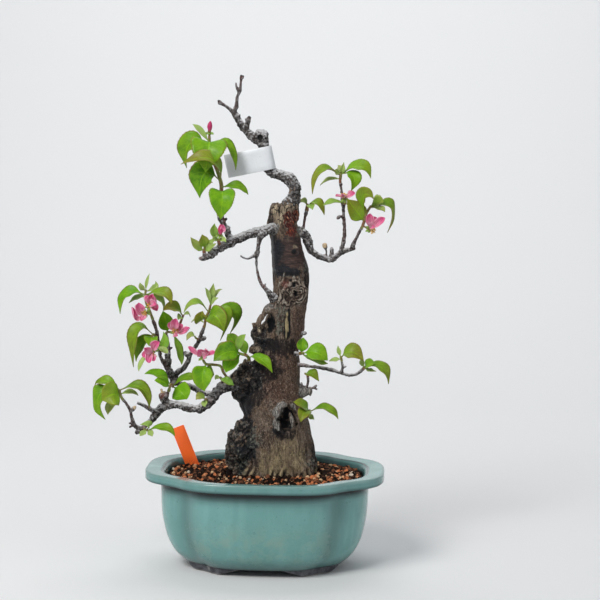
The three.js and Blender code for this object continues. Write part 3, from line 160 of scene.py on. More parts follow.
def layered(points, size, seed, octaves=3, gain=0.5):
    """Drift at several sizes, each half as large as the one before."""
    turn = np.array([[0.8, 0.6, 0], [-0.48, 0.64, 0.6], [0.36, -0.48, 0.8]])
    scaled = points / size
    total, weight = 0, 1
    for octave in range(octaves):
        total = total + weight * drift(scaled, 1, seed + octave)
        scaled = 2.03 * scaled @ turn
        weight *= gain
    return total


def scattered(points, size, seed):
    """Distance to the nearest and the next scattered spot, and the nearest spot's own value."""
    scaled = points / size
    base = np.floor(scaled).astype(np.int64)
    nearest = np.full(len(points), 9)
    second = nearest.copy()
    value = np.zeros(len(points))
    for step in product((-1, 0, 1), repeat=3):
        cell = base + step
        spot = cell + np.stack([lattice(cell, seed + axis) for axis in range(3)], axis=-1)
        away = np.linalg.norm(scaled - spot, axis=-1)
        closer = away < nearest
        second = np.where(closer, nearest, np.minimum(second, away))
        value = np.where(closer, lattice(cell, seed + 3), value)
        nearest = np.minimum(nearest, away)
    return nearest, second, value


# Mesh making

class Shape:
    """Collects points, faces, a finish for each face and masks for each point."""

    def __init__(self):
        self.points, self.faces, self.finish, self.masks, self.count = [], [], [], [], 0

    def add(self, points, faces, finish=0, **masks):
        points = np.asarray(points, float).reshape(-1, 3)
        self.points.append(points)
        self.faces.extend([tuple(int(i) + self.count for i in face) for face in faces])
        self.finish.extend([finish] * len(faces))
        self.masks.append((len(points), masks))
        self.count += len(points)

    def mask(self, name):
        """One mask over all the points, zero where a part doesn't have it."""
        return np.concatenate([np.broadcast_to(masks.get(name, 0), count) for count, masks in self.masks])

    def build(self, name, materials, slot, replaces):
        names = sorted({key for _, masks in self.masks for key in masks})
        masks = {key: self.mask(key) for key in names}
        points = np.concatenate(self.points)
        return make_piece(name, points, self.faces, materials, replaces, self.finish, masks)

    def skin(self, grain, rounds):
        """One smoothed skin of quads over all the parts."""
        points, faces = fused(np.concatenate(self.points), self.faces, grain)
        return relaxed(points, faces, rounds), faces


def eased(points, margin):
    """Draws points near or beyond the sides of the packed model's box softly back inside it."""
    for side, corner in ((1, BOX_LOW), (-1, BOX_HIGH)):
        beyond = side * (corner - points) + margin
        points = points + side * np.where(beyond > 0, beyond - margin * (1 - np.exp(-beyond / margin)), 0)
    return points


def plain_object(name, points, faces, *materials):
    mesh = bpy.data.meshes.new(name)
    mesh.from_pydata(np.asarray(points).tolist(), [], [tuple(face) for face in faces])
    for material in materials:
        mesh.materials.append(material)
    form = bpy.data.objects.new(name, mesh)
    bpy.context.scene.collection.objects.link(form)
    return form


def make_piece(name, points, faces, materials, replaces, finish=None, masks=None):
    """A visible piece of the object from points in millimetres, tied to the packed model."""
    piece = plain_object(name, np.clip(points, BOX_LOW, BOX_HIGH) * MM + POT_CENTRE, faces, *materials)
    mesh = piece.data
    if finish is not None:
        mesh.polygons.foreach_set("material_index", finish)
    mesh.shade_smooth()
    for key, values in (masks or {}).items():
        mesh.attributes.new(key, "FLOAT", "POINT").data.foreach_set("value", np.asarray(values, np.float32))
    mesh.validate()
    mesh.update()
    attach(piece, "root")
    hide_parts(*replaces)
    return piece


def ring_faces(rows, sides, closed=True):
    """Quads between rows of points; a closed row joins its last point to its first."""
    faces = []
    for row in range(rows - 1):
        for side in range(sides if closed else sides - 1):
            following = (side + 1) % sides
            faces.append((row * sides + side, row * sides + following,
                          (row + 1) * sides + following, (row + 1) * sides + side))
    return faces


def joined_faces(rows, sides):
    """Quads of a band whose last row joins its first."""
    return [tuple(i % (rows * sides) for i in face) for face in ring_faces(rows + 1, sides)]


def frames_along(path):
    """Direction, side and face at each point of a path, turned as little as possible."""
    ahead = unit(np.gradient(path, axis=0))
    first = UP if abs(ahead[0][2]) < 0.8 else np.array([1, 0, 0])
    side = unit(np.cross(first, ahead[0]))
    sides = [side]
    for direction in ahead[1:]:
        side = unit(side - direction * np.dot(side, direction))
        sides.append(side)
    sides = np.array(sides)
    return ahead, sides, np.cross(ahead, sides)


def directions_round(side, face, sides):
    """Directions all round each point of a path."""
    turns = circle(sides)[:, None]
    return side[:, None] * np.cos(turns) + face[:, None] * np.sin(turns)


def tube(path, radii, sides=8, rounding=0.6):
    """Closed round tube along a path, with softly domed ends."""
    path = np.asarray(path, float)
    radii = np.broadcast_to(radii, len(path)).astype(float)
    ahead, side, face = frames_along(path)
    start = path[0] - ahead[0] * radii[0] * rounding * np.array([[1], [0.7]])
    end = path[-1] + ahead[-1] * radii[-1] * rounding * np.array([[0.7], [1]])
    path = np.concatenate([start, path, end])
    radii = np.concatenate([radii[0] * np.array([0.3, 0.75]), radii, radii[-1] * np.array([0.75, 0.3])])
    side = np.concatenate([side[:1], side[:1], side, side[-1:], side[-1:]])
    face = np.concatenate([face[:1], face[:1], face, face[-1:], face[-1:]])
    points = path[:, None] + directions_round(side, face, sides) * radii[:, None, None]
    rows = len(path)
    faces = ring_faces(rows, sides)
    faces.append(tuple(reversed(range(sides))))
    faces.append(tuple(range((rows - 1) * sides, rows * sides)))
    return points.reshape(-1, 3), faces


def turned(points, degrees, one, other):
    """Turned from the axis one towards the axis other."""
    turn = math.radians(degrees)
    points = np.array(points)
    first, second = points[:, one].copy(), points[:, other].copy()
    points[:, one] = first * math.cos(turn) - second * math.sin(turn)
    points[:, other] = first * math.sin(turn) + second * math.cos(turn)
    return points


def curve_through(stations, spacing):
    """Points and radii on a smooth curve through the stations x, y, z, radius."""
    stations = np.asarray(stations, float)
    length = run_along(stations[:, :3])
    count = max(3, int(length[-1] / spacing) + 1)
    at = np.linspace(0, length[-1], count)
    curve = through(length, stations, at)
    straight = np.stack([np.interp(at, length, stations[:, axis]) for axis in range(4)], axis=1)
    curve = 0.75 * curve + 0.25 * straight
    return curve[:, :3], np.maximum(curve[:, 3], 0.8 * stations[:, 3].min())


def normals_of(points, faces):
    """Outward direction at each point of a mesh of quads."""
    corner = points[faces]
    across = np.cross(corner[:, 2] - corner[:, 0], corner[:, 3] - corner[:, 1])
    total = np.zeros_like(points)
    for index in range(4):
        for axis in range(3):
            total[:, axis] += np.bincount(faces[:, index], across[:, axis], len(points))
    return unit(total)


def relaxed(points, faces, rounds, weight=0.5):
    """Moves each point towards the middle of its neighbours."""
    start = faces.ravel()
    end = np.roll(faces, -1, axis=1).ravel()
    one, other = np.concatenate([start, end]), np.concatenate([end, start])
    share = np.bincount(one, minlength=len(points)).clip(1)
    for _ in range(rounds):
        middle = np.stack([np.bincount(one, points[other, axis], len(points)) for axis in range(3)], axis=1)
        points = points + weight * (middle / share[:, None] - points)
    return points


def fused(points, faces, grain):
    """One skin of quads over overlapping closed forms."""
    form = plain_object("skin", points, faces)
    skin = form.modifiers.new("skin", "REMESH")
    skin.mode = "VOXEL"
    skin.voxel_size = grain
    made = form.evaluated_get(bpy.context.evaluated_depsgraph_get()).to_mesh()
    new_points = np.empty(len(made.vertices) * 3)
    made.vertices.foreach_get("co", new_points)
    corners = np.empty(len(made.loops), np.int32)
    made.loops.foreach_get("vertex_index", corners)
    if len(corners) != 4 * len(made.polygons) or not len(corners):
        raise RuntimeError("the skin over the wood isn't all quads")
    form.to_mesh_clear()
    bpy.data.meshes.remove(form.data)
    return new_points.reshape(-1, 3), corners.reshape(-1, 4)


# Shader making

def ink(red, green, blue):
    """A colour for a shader from its values out of 255 on a screen."""
    shares = [value / 255 for value in (red, green, blue)]
    return tuple(s / 12.92 if s <= 0.04045 else ((s + 0.055) / 1.055) ** 2.4 for s in shares)


def label_of(name):
    return name.replace("_", " ").title()


class Paint:
    """A colour that is laid on in coats."""

    def __init__(self, nodes, colour):
        self.nodes, self.colour = nodes, colour

    def lay(self, share, other, strength=1):
        """Lays another colour over this one where the share says."""
        if strength != 1:
            share = self.nodes.times(share, strength)
        self.colour = self.nodes.mix(share, self.colour, other)
        return self

    def where(self, value, low, high, other, strength=1):
        """Lays another colour over this one as a value goes from low to high."""
        return self.lay(self.nodes.spread(value, low, high, 0, strength), other)


class Nodes:
    """Places shader nodes in one tree and links what each of them is given."""

    def __init__(self, tree):
        self.tree = tree

    def feed(self, socket, value):
        """Links a socket or a paint, or sets a plain value; three plain numbers are a colour on a screen."""
        value = getattr(value, "colour", value)
        if isinstance(value, bpy.types.NodeSocket):
            self.tree.links.new(value, socket)
        elif socket.type == "RGBA":
            socket.default_value = (*(ink(*value) if isinstance(value, tuple) else value), 1)
        else:
            socket.default_value = value

    def add(self, kind, inputs=None, **settings):
        node = self.tree.nodes.new("ShaderNode" + kind)
        for name, value in settings.items():
            setattr(node, name, value)
        for name, value in (inputs or {}).items():
            self.feed(node.inputs[name], value)
        return node.outputs

    def maths(self, operation, one, other=0):
        return self.add("Math", {0: one, 1: other}, operation=operation)[0]

    def times(self, one, other):
        return self.maths("MULTIPLY", one, other)

    def plus(self, one, *others):
        for other in others:
            one = self.maths("ADD", one, other)
        return one

    def most(self, one, other):
        return self.maths("MAXIMUM", one, other)

    def size_of(self, value):
        return self.maths("ABSOLUTE", value)

    def spread(self, value, low, high, to_low=0, to_high=1):
        """A soft step between two values; it falls where the first is the higher one."""
        inputs = {"Value": value, "From Min": low, "From Max": high, "To Min": to_low, "To Max": to_high}
        return self.add("MapRange", inputs, interpolation_type="SMOOTHSTEP")[0]

    def dull(self, grit, low, high):
        """Roughness between two values, broken up by dust."""
        return self.spread(grit["Dust"], 0.2, 0.8, low, high)

    def mix(self, share, one, other):
        return self.add("Mix", {0: share, 6: one, 7: other}, data_type="RGBA", clamp_factor=True)[2]

    def paint(self, colour):
        return Paint(self, colour)

    def position(self):
        """Place on the object in millimetres."""
        return self.add("VectorMath", {0: self.add("TexCoord")["Object"], 3: 1 / MM}, operation="SCALE")[0]

    def axis(self, vector, index):
        return self.add("SeparateXYZ", {0: vector})[index]

    def stretched(self, place, size):
        if isinstance(size, (int, float)):
            return place, 1 / size
        scale = tuple(1 / value for value in size)
        return self.add("VectorMath", {0: place, 1: scale}, operation="MULTIPLY")[0], 1

    def noise(self, place, size, detail=3, roughness=0.55, distortion=0):
        place, scale = self.stretched(place, size)
        inputs = {"Vector": place, "Scale": scale, "Detail": detail, "Roughness": roughness,
                  "Distortion": distortion}
        return self.add("TexNoise", inputs)[0]

    def cells(self, place, size):
        """A shade for each cell and the distance to the borders between them."""
        place, scale = self.stretched(place, size)
        inputs = {"Vector": place, "Scale": scale}
        border = self.add("TexVoronoi", inputs, feature="DISTANCE_TO_EDGE")["Distance"]
        return self.add("SeparateColor", {0: self.add("TexVoronoi", inputs)["Color"]})[0], border

    def mask(self, name):
        return self.add("Attribute", attribute_name=name)["Fac"]

    def group(self, tree, **inputs):
        return self.add("Group", {label_of(name): value for name, value in inputs.items()}, node_tree=tree)

    def patches(self, place, size, cover=0.5, softness=0.15):
        return self.group(patchy_mask(), place=place, size=size, cover=cover, softness=softness)[0]

    def edges(self, place, edge=0.53, hollow=0.47):
        return self.group(worn_edges_and_hollow_shade(), place=place, edge_start=edge, hollow_start=hollow)

    def fibre(self, place, width, length):
        return self.group(wood_fibre(), place=place, width=width, length=length)

    def grit(self, place, size):
        return self.group(fine_grit(), place=place, size=size)

    def bump(self, height, distance, strength):
        return self.add("Bump", {"Height": height, "Distance": distance * MM, "Strength": strength})[0]

    def dusty(self, colour, grit, low, high, distance, strength):
        """Inputs of a shader whose roughness and relief come from the same grit."""
        return {"Base Color": colour, "Roughness": self.dull(grit, low, high),
                "Normal": self.bump(grit["Height"], distance, strength)}


def shared_effect(outputs, **inputs):
    """Turns a function that fills a node group into one that gives the group, made once."""
    def wrap(fill):
        def effect():
            title = label_of(fill.__name__)
            if title in bpy.data.node_groups:
                return bpy.data.node_groups[title]
            tree = bpy.data.node_groups.new(title, "ShaderNodeTree")
            for name, default in inputs.items():
                kind = "NodeSocketVector" if default is None else "NodeSocketFloat"
                socket = tree.interface.new_socket(label_of(name), in_out="INPUT", socket_type=kind)
                if default is not None:
                    socket.default_value = default
            for label in outputs:
                tree.interface.new_socket(label, in_out="OUTPUT", socket_type="NodeSocketFloat")
            nodes = Nodes(tree)
            entry = tree.nodes.new("NodeGroupInput").outputs
            leave = tree.nodes.new("NodeGroupOutput").inputs
            for label, value in zip(outputs, fill(nodes, *(entry[label_of(name)] for name in inputs))):
                nodes.feed(leave[label], value)
            return tree
        return effect
    return wrap


@shared_effect(("Mask",), place=None, size=20, cover=0.5, softness=0.08)
def patchy_mask(nodes, place, size, cover, softness):
    """Uneven patches that cover a share of the surface."""
    inputs = {"Vector": place, "Scale": nodes.maths("DIVIDE", 1, size), "Detail": 4, "Roughness": 0.6}
    middle = nodes.plus(0.72, nodes.times(cover, -0.44))
    low = nodes.maths("SUBTRACT", middle, softness)
    return (nodes.spread(nodes.add("TexNoise", inputs)[0], low, nodes.plus(middle, softness)),)


@shared_effect(("Edge", "Hollow"), place=None, edge_start=0.52, hollow_start=0.48)
def worn_edges_and_hollow_shade(nodes, place, edge, hollow):
    """Where the surface stands out, for worn edges and painted highlights, or lies back, for painted shade in
    hollows, broken up by fine drift.
    """
    fray = nodes.plus(nodes.times(nodes.noise(place, 2.5), 0.04), -0.02)
    point = nodes.plus(nodes.add("NewGeometry")["Pointiness"], fray)
    return nodes.spread(point, edge, nodes.plus(edge, 0.05)), nodes.spread(point, hollow, nodes.plus(hollow, -0.06))


@shared_effect(("Height", "Strand", "Split"), place=None, width=2, length=20)
def wood_fibre(nodes, place, width, length):
    """Long strands with dark splits between them."""
    wide, long = nodes.maths("DIVIDE", 1, width), nodes.maths("DIVIDE", 1, length)
    scale = nodes.add("CombineXYZ", {0: wide, 1: wide, 2: long})[0]
    place = nodes.add("VectorMath", {0: place, 1: scale}, operation="MULTIPLY")[0]
    strand = nodes.noise(place, 1, 4, 0.62, 0.35)
    split = nodes.spread(nodes.cells(place, 0.8)[1], 0, 0.12)
    return nodes.times(nodes.spread(strand, 0.25, 0.75), split), nodes.spread(strand, 0.3, 0.7), split


@shared_effect(("Height", "Shade", "Dust"), place=None, size=0.6)
def fine_grit(nodes, place, size):
    """Small grains, with a shade of its own for each."""
    inputs = {"Vector": place, "Scale": nodes.maths("DIVIDE", 1, size)}
    grain = nodes.add("TexVoronoi", inputs)
    dust = nodes.add("TexNoise", {**inputs, "Detail": 5})[0]
    height = nodes.plus(nodes.spread(grain["Distance"], 0.8, 0), dust)
    return height, nodes.add("SeparateColor", {0: grain["Color"]})[0], dust


@shared_effect(("Veins", "Midrib"), across=0, along=0, slant=0.2, pairs=8, wobble=0)
def blade_veins(nodes, across, along, slant, pairs, wobble):
    """Midrib and slanting side veins of a leaf or petal, from its own across and along values."""
    across = nodes.size_of(across)
    slanted = nodes.maths("SUBTRACT", along, nodes.times(across, slant))
    bent = nodes.plus(slanted, nodes.times(wobble, 0.05))
    wave = nodes.maths("FRACT", nodes.times(bent, pairs))
    side = nodes.spread(nodes.size_of(nodes.plus(wave, -0.5)), 0.1, 0)
    side = nodes.times(side, nodes.spread(across, 1, 0.55))
    rib = nodes.spread(across, 0.075, 0.02)
    return nodes.most(rib, nodes.times(side, 0.6)), rib


def finish(name, settings=None):
    """Turns a function that gives the inputs of a Principled shader into one that gives its material."""
    def wrap(make):
        def material():
            if name in bpy.data.materials:
                return bpy.data.materials[name]
            made = bpy.data.materials.new(name)
            made.use_nodes = True
            nodes = Nodes(made.node_tree)
            looks = (getattr(bpy.context.scene, settings),) if settings else ()
            for label, value in make(nodes, *looks).items():
                nodes.feed(made.node_tree.nodes["Principled BSDF"].inputs[label], value)
            return made
        return material
    return wrap


@finish("Teal glaze", "quince_pot")
def teal_glaze(nodes, look):
    """Glossy glaze, darker in the notches where it pools and where painted shade is laid, with painted shade under
    the rim, low on the body and inside the wall; paler where it breaks thin on the rim's edges, with a painted
    highlight along the rim's top and thin dark lines of painted shade.
    """
    place = nodes.position()
    streak = nodes.noise(place, (18, 18, 90), 3, 0.5, 0.6)
    mottle = nodes.noise(place, 3.2, 4, 0.6)
    colour = nodes.paint(look.glaze).lay(nodes.patches(place, 75, 0.5, 0.28), look.glaze_deep, 0.5)
    colour.where(streak, 0.4, 0.7, look.glaze_light, 0.35)
    colour.where(mottle, 0.35, 0.75, look.glaze_deep, 0.1)
    # Painted shade: the glaze is darkened in the notches, under the rim, low on the body and inside the wall above
    # the soil; in the notches it is also pooled glaze.
    colour.lay(nodes.mask("pool_and_shade"), look.glaze_pool_shade)
    stain = nodes.times(nodes.patches(place, 12, 0.36, 0.2), nodes.mask("stained"))
    colour.lay(stain, (160, 158, 126), 0.24)
    edge = nodes.edges(place)
    # Paler glaze where it breaks thin on sharp edges, and a painted highlight along the rim's top outer edge.
    thin = nodes.most(nodes.times(edge["Edge"], 0.15), nodes.mask("thin"))
    colour.lay(thin, look.glaze_edge_highlight, 0.75)
    # Dark lines of painted shade: under the lip, at the base of the body and along the rim's inner and outer top
    # edges.
    colour.lay(nodes.mask("line"), (6, 14, 16))
    pin = nodes.grit(place, 1.6)
    colour.where(pin["Shade"], 0.985, 0.995, (50, 80, 78), 0.2)
    rough = nodes.plus(nodes.spread(mottle, 0.2, 0.8, 0.16, 0.26), nodes.times(stain, 0.3))
    relief = nodes.plus(nodes.noise(place, 22, 2), nodes.times(mottle, 0.05))
    return {"Base Color": colour, "Roughness": rough, "Normal": nodes.bump(relief, 0.5, 0.6),
            "Coat Weight": nodes.times(nodes.spread(mottle, 0.2, 0.8, 0.35, 0.2),
                                       nodes.spread(nodes.mask("pool_and_shade"), 0.3, 0.9, 1, 0)),
            "Coat Roughness": 0.1, "Specular IOR Level": 0.4}


@finish("Bare foot clay")
def bare_clay(nodes):
    """Unglazed grey clay of the feet, paler where it stands on the shelf, with painted shade at the top where the
    feet meet the body.
    """
    place = nodes.position()
    grit = nodes.grit(place, 0.7)
    height = nodes.axis(place, 2)
    colour = nodes.paint((96, 96, 102)).lay(nodes.patches(place, 8, 0.5, 0.12), (54, 54, 60))
    colour.where(height, 2.4, 0.4, (160, 156, 152), 0.6)
    colour.lay(nodes.edges(place)["Edge"], (170, 168, 164), 0.5)
    # Painted shade: nearly black at the top of the feet, under the body.
    colour.where(height, 7.5, 9.5, (26, 32, 34), 0.95)
    colour.where(grit["Shade"], 0.8, 1, (48, 44, 44), 0.5)
    return nodes.dusty(colour, grit, 0.6, 0.85, 0.3, 0.7)


@finish("Old trunk bark", "quince_bark")
def trunk_bark(nodes, look):
    """Old bark: split strands, flecks, blue-black glossy patches of painted shade with bluish painted highlights,
    gnarled burls, pale healed wood and grey moss; painted shade in the hollows, holes and creases, and painted
    highlights on wrinkles and ridges.
    """
    place = nodes.position()
    mask = {name: nodes.mask(name) for name in LOOKS}
    broad, thin = nodes.fibre(place, 2.6, 26), nodes.fibre(place, 0.9, 7)
    grit, edge = nodes.grit(place, 0.8), nodes.edges(place, 0.512, 0.488)
    blotch = nodes.patches(place, 6, 0.45, 0.08)
    fleck = nodes.noise(place, (1.3, 1.3, 1.9), 3, 0.6)
    colour = nodes.paint(look.bark).lay(nodes.patches(place, 26, 0.5, 0.14), look.bark_dark)
    colour.lay(blotch, look.bark_warm, 0.5)
    colour.lay(nodes.patches(place, 11, 0.42, 0.1), (142, 128, 116), 0.32)
    colour.lay(mask["flaky"], look.bark_red, 0.55)
    colour.where(fleck, 0.54, 0.68, look.bark_pale, 0.6)
    colour.where(fleck, 0.46, 0.34, (34, 25, 23), 0.75)
    # Tan and olive stripes of the root flare
    stripe = nodes.noise(place, (4.2, 4.2, 18), 4, 0.68, 0.9)
    fan = nodes.paint((112, 98, 76)).where(stripe, 0.34, 0.62, look.bark_tan)
    fan.where(fleck, 0.58, 0.7, (196, 180, 148), 0.6)
    fan.where(fleck, 0.46, 0.34, (60, 50, 42), 0.7)
    fan.lay(nodes.patches(place, 9, 0.5, 0.12), (104, 86, 76), 0.5)
    colour.lay(mask["striped"], fan, 0.85)
    # Smooth wrinkled bark below the chopped top, painted pale on each wrinkle's crest as a painted highlight and
    # dark in its trough as painted shade
    wrinkle = nodes.noise(place, (9, 9, 1.5), 3, 0.6, 0.8)
    sleek = nodes.paint(look.bark_sleek).where(wrinkle, 0.42, 0.7, (88, 66, 58))
    sleek.where(wrinkle, 0.42, 0.3, (20, 17, 20))
    colour.lay(mask["sleek"], sleek, 0.94)
    # Painted shade: blue-black patches down the trunk's left side, in creases and on the burls, with bluish painted
    # highlights along the wrinkles; these patches are also glossier.
    wet_shade_paint = nodes.paint(look.wet_shaded_bark).where(wrinkle, 0.54, 0.74, (34, 41, 52))
    colour.lay(mask["wet"], wet_shade_paint, nodes.spread(fleck, 0.6, 0.72, 0.94, 0.6))
    # Painted shade: near-black patches under the step at the middle of the trunk, in creases, round the tan strip
    # and down the trunk's sides.
    colour.lay(mask["dim"], (26, 21, 22), nodes.spread(fleck, 0.58, 0.7, 0.88, 0.5))
    colour.lay(mask["toothed"], (190, 172, 132), nodes.spread(stripe, 0.3, 0.5, 0.45, 0.9))
    # Chunks of cut wood with black cracks
    shade, border = nodes.cells(place, (4.2, 4.2, 9))
    wood = nodes.paint(look.cut_wood).lay(shade, (132, 118, 100))
    wood.where(thin["Strand"], 0.7, 0.1, (94, 80, 68), 0.6)
    wood.where(border, 0.09, 0.02, (34, 30, 30))
    colour.lay(mask["pale"], wood)
    # Torn red heartwood with orange strands that run aslant
    aslant = nodes.add("VectorRotate", {"Vector": place, "Angle": 0.55}, rotation_type="Y_AXIS")[0]
    torn = nodes.noise(aslant, (1.5, 1.5, 11), 3, 0.6)
    rot = nodes.paint((40, 21, 22)).where(torn, 0.4, 0.6, (116, 50, 38))
    rot.where(torn, 0.6, 0.67, (226, 132, 66))
    rot.where(fleck, 0.58, 0.68, (196, 164, 138), 0.6)
    colour.lay(mask["rotten"], rot)
    # Gnarled chunks of the burls, each with its own shade
    crust = nodes.noise(place, 5, 4, 0.65, 0.8)
    gnarl = nodes.paint((13, 15, 19)).where(crust, 0.48, 0.62, (52, 46, 45))
    gnarl.lay(nodes.patches(place, 5, 0.38, 0.05), (112, 111, 107), 0.8)
    # Tan on the highest crust: the burls' pale flakes, and a painted highlight on their ridges.
    gnarl.where(crust, 0.61, 0.7, (160, 136, 106))
    gnarl.where(fleck, 0.5, 0.4, (14, 14, 18), 0.85)
    colour.lay(mask["gnarly"], gnarl, 0.96)
    # More blue-black painted shade laid over the burls.
    colour.lay(nodes.times(mask["wet"], mask["gnarly"]), look.wet_shaded_bark, 0.85)
    # Healed whorl of pale and dark folds, with painted shade nearly black in the grooves between them
    swirl = nodes.plus(mask["folded"], nodes.spread(fleck, 0.3, 0.7, -0.25, 0.25))
    fold = nodes.paint((54, 44, 40)).where(swirl, 0.15, 0.9, look.whorl)
    fold.where(swirl, 0.82, 1.08, (196, 198, 192))
    fold.lay(blotch, (92, 74, 62), 0.45)
    fold.where(swirl, 0.15, -0.05, (20, 17, 19), 0.8)
    colour.lay(mask["whorled"], fold, 0.85)
    colour.lay(mask["blush"], (126, 74, 66), nodes.spread(fleck, 0.4, 0.6, 0.3, 0.75))
    moss = nodes.times(nodes.patches(place, 3, 0.42, 0.06), mask["mossy"])
    colour.lay(moss, nodes.mix(grit["Shade"], (124, 126, 116), (70, 76, 66)), 0.8)
    ash = nodes.paint((82, 80, 80)).where(thin["Strand"], 0.25, 0.8, (184, 181, 174))
    ash.where(fleck, 0.45, 0.35, (52, 54, 62), 0.8)
    colour.lay(mask["ashen"], ash, 0.86)
    colour.lay(nodes.spread(broad["Split"], 0.4, 0), (24, 19, 18), nodes.spread(mask["sleek"], 0, 1, 0.6, 0))
    # Painted shade in the hollows of the bark.
    colour.lay(edge["Hollow"], (18, 15, 16), 0.85)
    gloss = nodes.most(mask["wet"], nodes.most(nodes.times(mask["gnarly"], 0.7), nodes.times(mask["sleek"], 0.7)))
    # Raised edges paler: worn bark, and a painted highlight on the ridges, fainter where the bark is glossy.
    colour.lay(edge["Edge"], look.bark_pale, nodes.spread(gloss, 0.2, 1, 0.3, 0.05))
    # Painted shade: black inside the hollows, in the whorl's holes and the knot hole, in the groove round the tan
    # strip and in the gaps between the root teeth.
    colour.lay(mask["black"], (13, 15, 18))
    rough = nodes.dull(grit, 0.6, 0.85)
    rough = nodes.times(rough, nodes.spread(gloss, 0, 1, 1, 0.42))
    calm = nodes.spread(mask["sleek"], 0, 1, 1, 0.25)
    strands = nodes.plus(nodes.times(broad["Height"], 0.55), nodes.times(thin["Height"], 0.3))
    relief = nodes.plus(nodes.times(strands, calm), nodes.times(grit["Height"], 0.15), nodes.times(fleck, 0.9),
                        nodes.times(nodes.times(wrinkle, mask["sleek"]), 1.2),
                        nodes.times(nodes.times(crust, mask["gnarly"]), 1.1))
    return {"Base Color": colour, "Roughness": rough, "Specular IOR Level": 0.22,
            "Normal": nodes.bump(relief, 0.8, 0.85)}


@finish("Grey branch bark", "quince_bark")
def branch_bark(nodes, look):
    """Knobbly grey bark and red-brown thin young wood, with a painted highlight on the upper sides and raised edges
    and painted shade underneath.
    """
    place = nodes.position()
    grit, edge = nodes.grit(place, 0.6), nodes.edges(place, 0.515, 0.48)
    crust = nodes.noise(place, 2.2, 4, 0.62)
    colour = nodes.paint(look.branch).lay(nodes.patches(place, 6, 0.5, 0.12), look.branch_dark)
    # Painted light from above: upper sides painted pale as a highlight, undersides painted dark as shade.
    up = nodes.axis(nodes.add("NewGeometry")["Normal"], 2)
    light_from_above = nodes.plus(up, nodes.plus(crust, -0.5))
    colour.where(light_from_above, 0.1, 0.85, look.branch_highlight, 0.95)
    colour.where(light_from_above, 0.35, -0.45, (25, 20, 21), 0.92)
    green = nodes.paint(look.young_wood).where(grit["Shade"], 0.3, 0.8, (84, 44, 38))
    # Painted shade under the young wood too.
    green.where(light_from_above, 0.3, -0.4, (32, 19, 20), 0.85)
    colour.lay(nodes.mask("young"), green, 0.9)
    colour.lay(nodes.patches(place, 3.4, 0.32, 0.05), (166, 164, 164), 0.4)
    colour.where(grit["Shade"], 0.88, 0.95, (196, 184, 170), 0.25)
    colour.where(crust, 0.4, 0.28, (26, 21, 21), 0.8)
    # Painted shade in the hollows of the bark.
    colour.lay(edge["Hollow"], (20, 16, 16), 0.9)
    # Painted highlight along raised edges.
    colour.lay(edge["Edge"], look.branch_highlight, 0.4)
    colour.lay(nodes.mask("black"), (16, 13, 13))
    colour.lay(nodes.mask("pale"), (200, 176, 142), nodes.spread(crust, 0.35, 0.5))
    relief = nodes.plus(crust, nodes.times(grit["Height"], 0.12))
    return {"Base Color": colour, "Roughness": nodes.dull(grit, 0.5, 0.78),
            "Specular IOR Level": 0.3, "Normal": nodes.bump(relief, 0.55, 0.8)}


@finish("Young quince leaf", "quince_leaf")
def leaf_green(nodes, look):
    """Young leaf: yellow-green and glossy above, olive below, with a thin bronze margin."""
    place = nodes.position()
    across, along, under = nodes.mask("across"), nodes.mask("along"), nodes.mask("under")
    tone, young, bronze = nodes.mask("tone"), nodes.mask("young"), nodes.mask("bronze")
    veins = nodes.group(blade_veins(), across=across, along=along, slant=0.24, pairs=9,
                        wobble=nodes.noise(place, 6, 2))
    colour = nodes.paint(look.leaf).lay(tone, look.leaf_deep)
    colour.lay(nodes.patches(place, 8, 0.5, 0.2), look.leaf_light, 0.5)
    flush = nodes.paint((132, 150, 50)).where(along, 0.2, 0.9, (146, 112, 52))
    colour.lay(bronze, flush, 0.85)
    colour.lay(young, look.leaf_young, 0.7)
    colour.lay(veins["Veins"], look.leaf_light, 0.5)
    below = nodes.paint(look.leaf_under).lay(tone, (112, 128, 66))
    below.lay(bronze, (140, 118, 72), 0.5)
    below.lay(veins["Veins"], (172, 182, 122), 0.5)
    colour.lay(under, below)
    rim = nodes.spread(nodes.size_of(across), 0.88, 0.98)
    colour.lay(rim, look.leaf_margin, nodes.spread(tone, 0, 1, 0.3, 0.7))
    speck = nodes.grit(place, 0.9)
    colour.where(speck["Shade"], 0.9, 0.97, look.leaf_deep, 0.2)
    relief = nodes.maths("SUBTRACT", nodes.times(speck["Dust"], 0.25), veins["Veins"])
    rough = nodes.plus(nodes.dull(speck, 0.3, 0.44), nodes.times(under, 0.25))
    return {"Base Color": colour, "Roughness": rough, "Normal": nodes.bump(relief, 0.25, 0.7),
            "Specular IOR Level": 0.22, "Subsurface Weight": 0.1, "Subsurface Radius": (0.6, 1, 0.25),
            "Subsurface Scale": MM}


@finish("New shoot")
def shoot_green(nodes):
    """Soft new shoot, green with a red-brown flush."""
    place = nodes.position()
    grit = nodes.grit(place, 0.5)
    colour = nodes.paint((116, 134, 52)).lay(nodes.patches(place, 5, 0.5), (124, 66, 50))
    colour.where(grit["Shade"], 0.82, 0.95, (196, 190, 140), 0.5)
    return nodes.dusty(colour, grit, 0.35, 0.55, 0.12, 0.6)


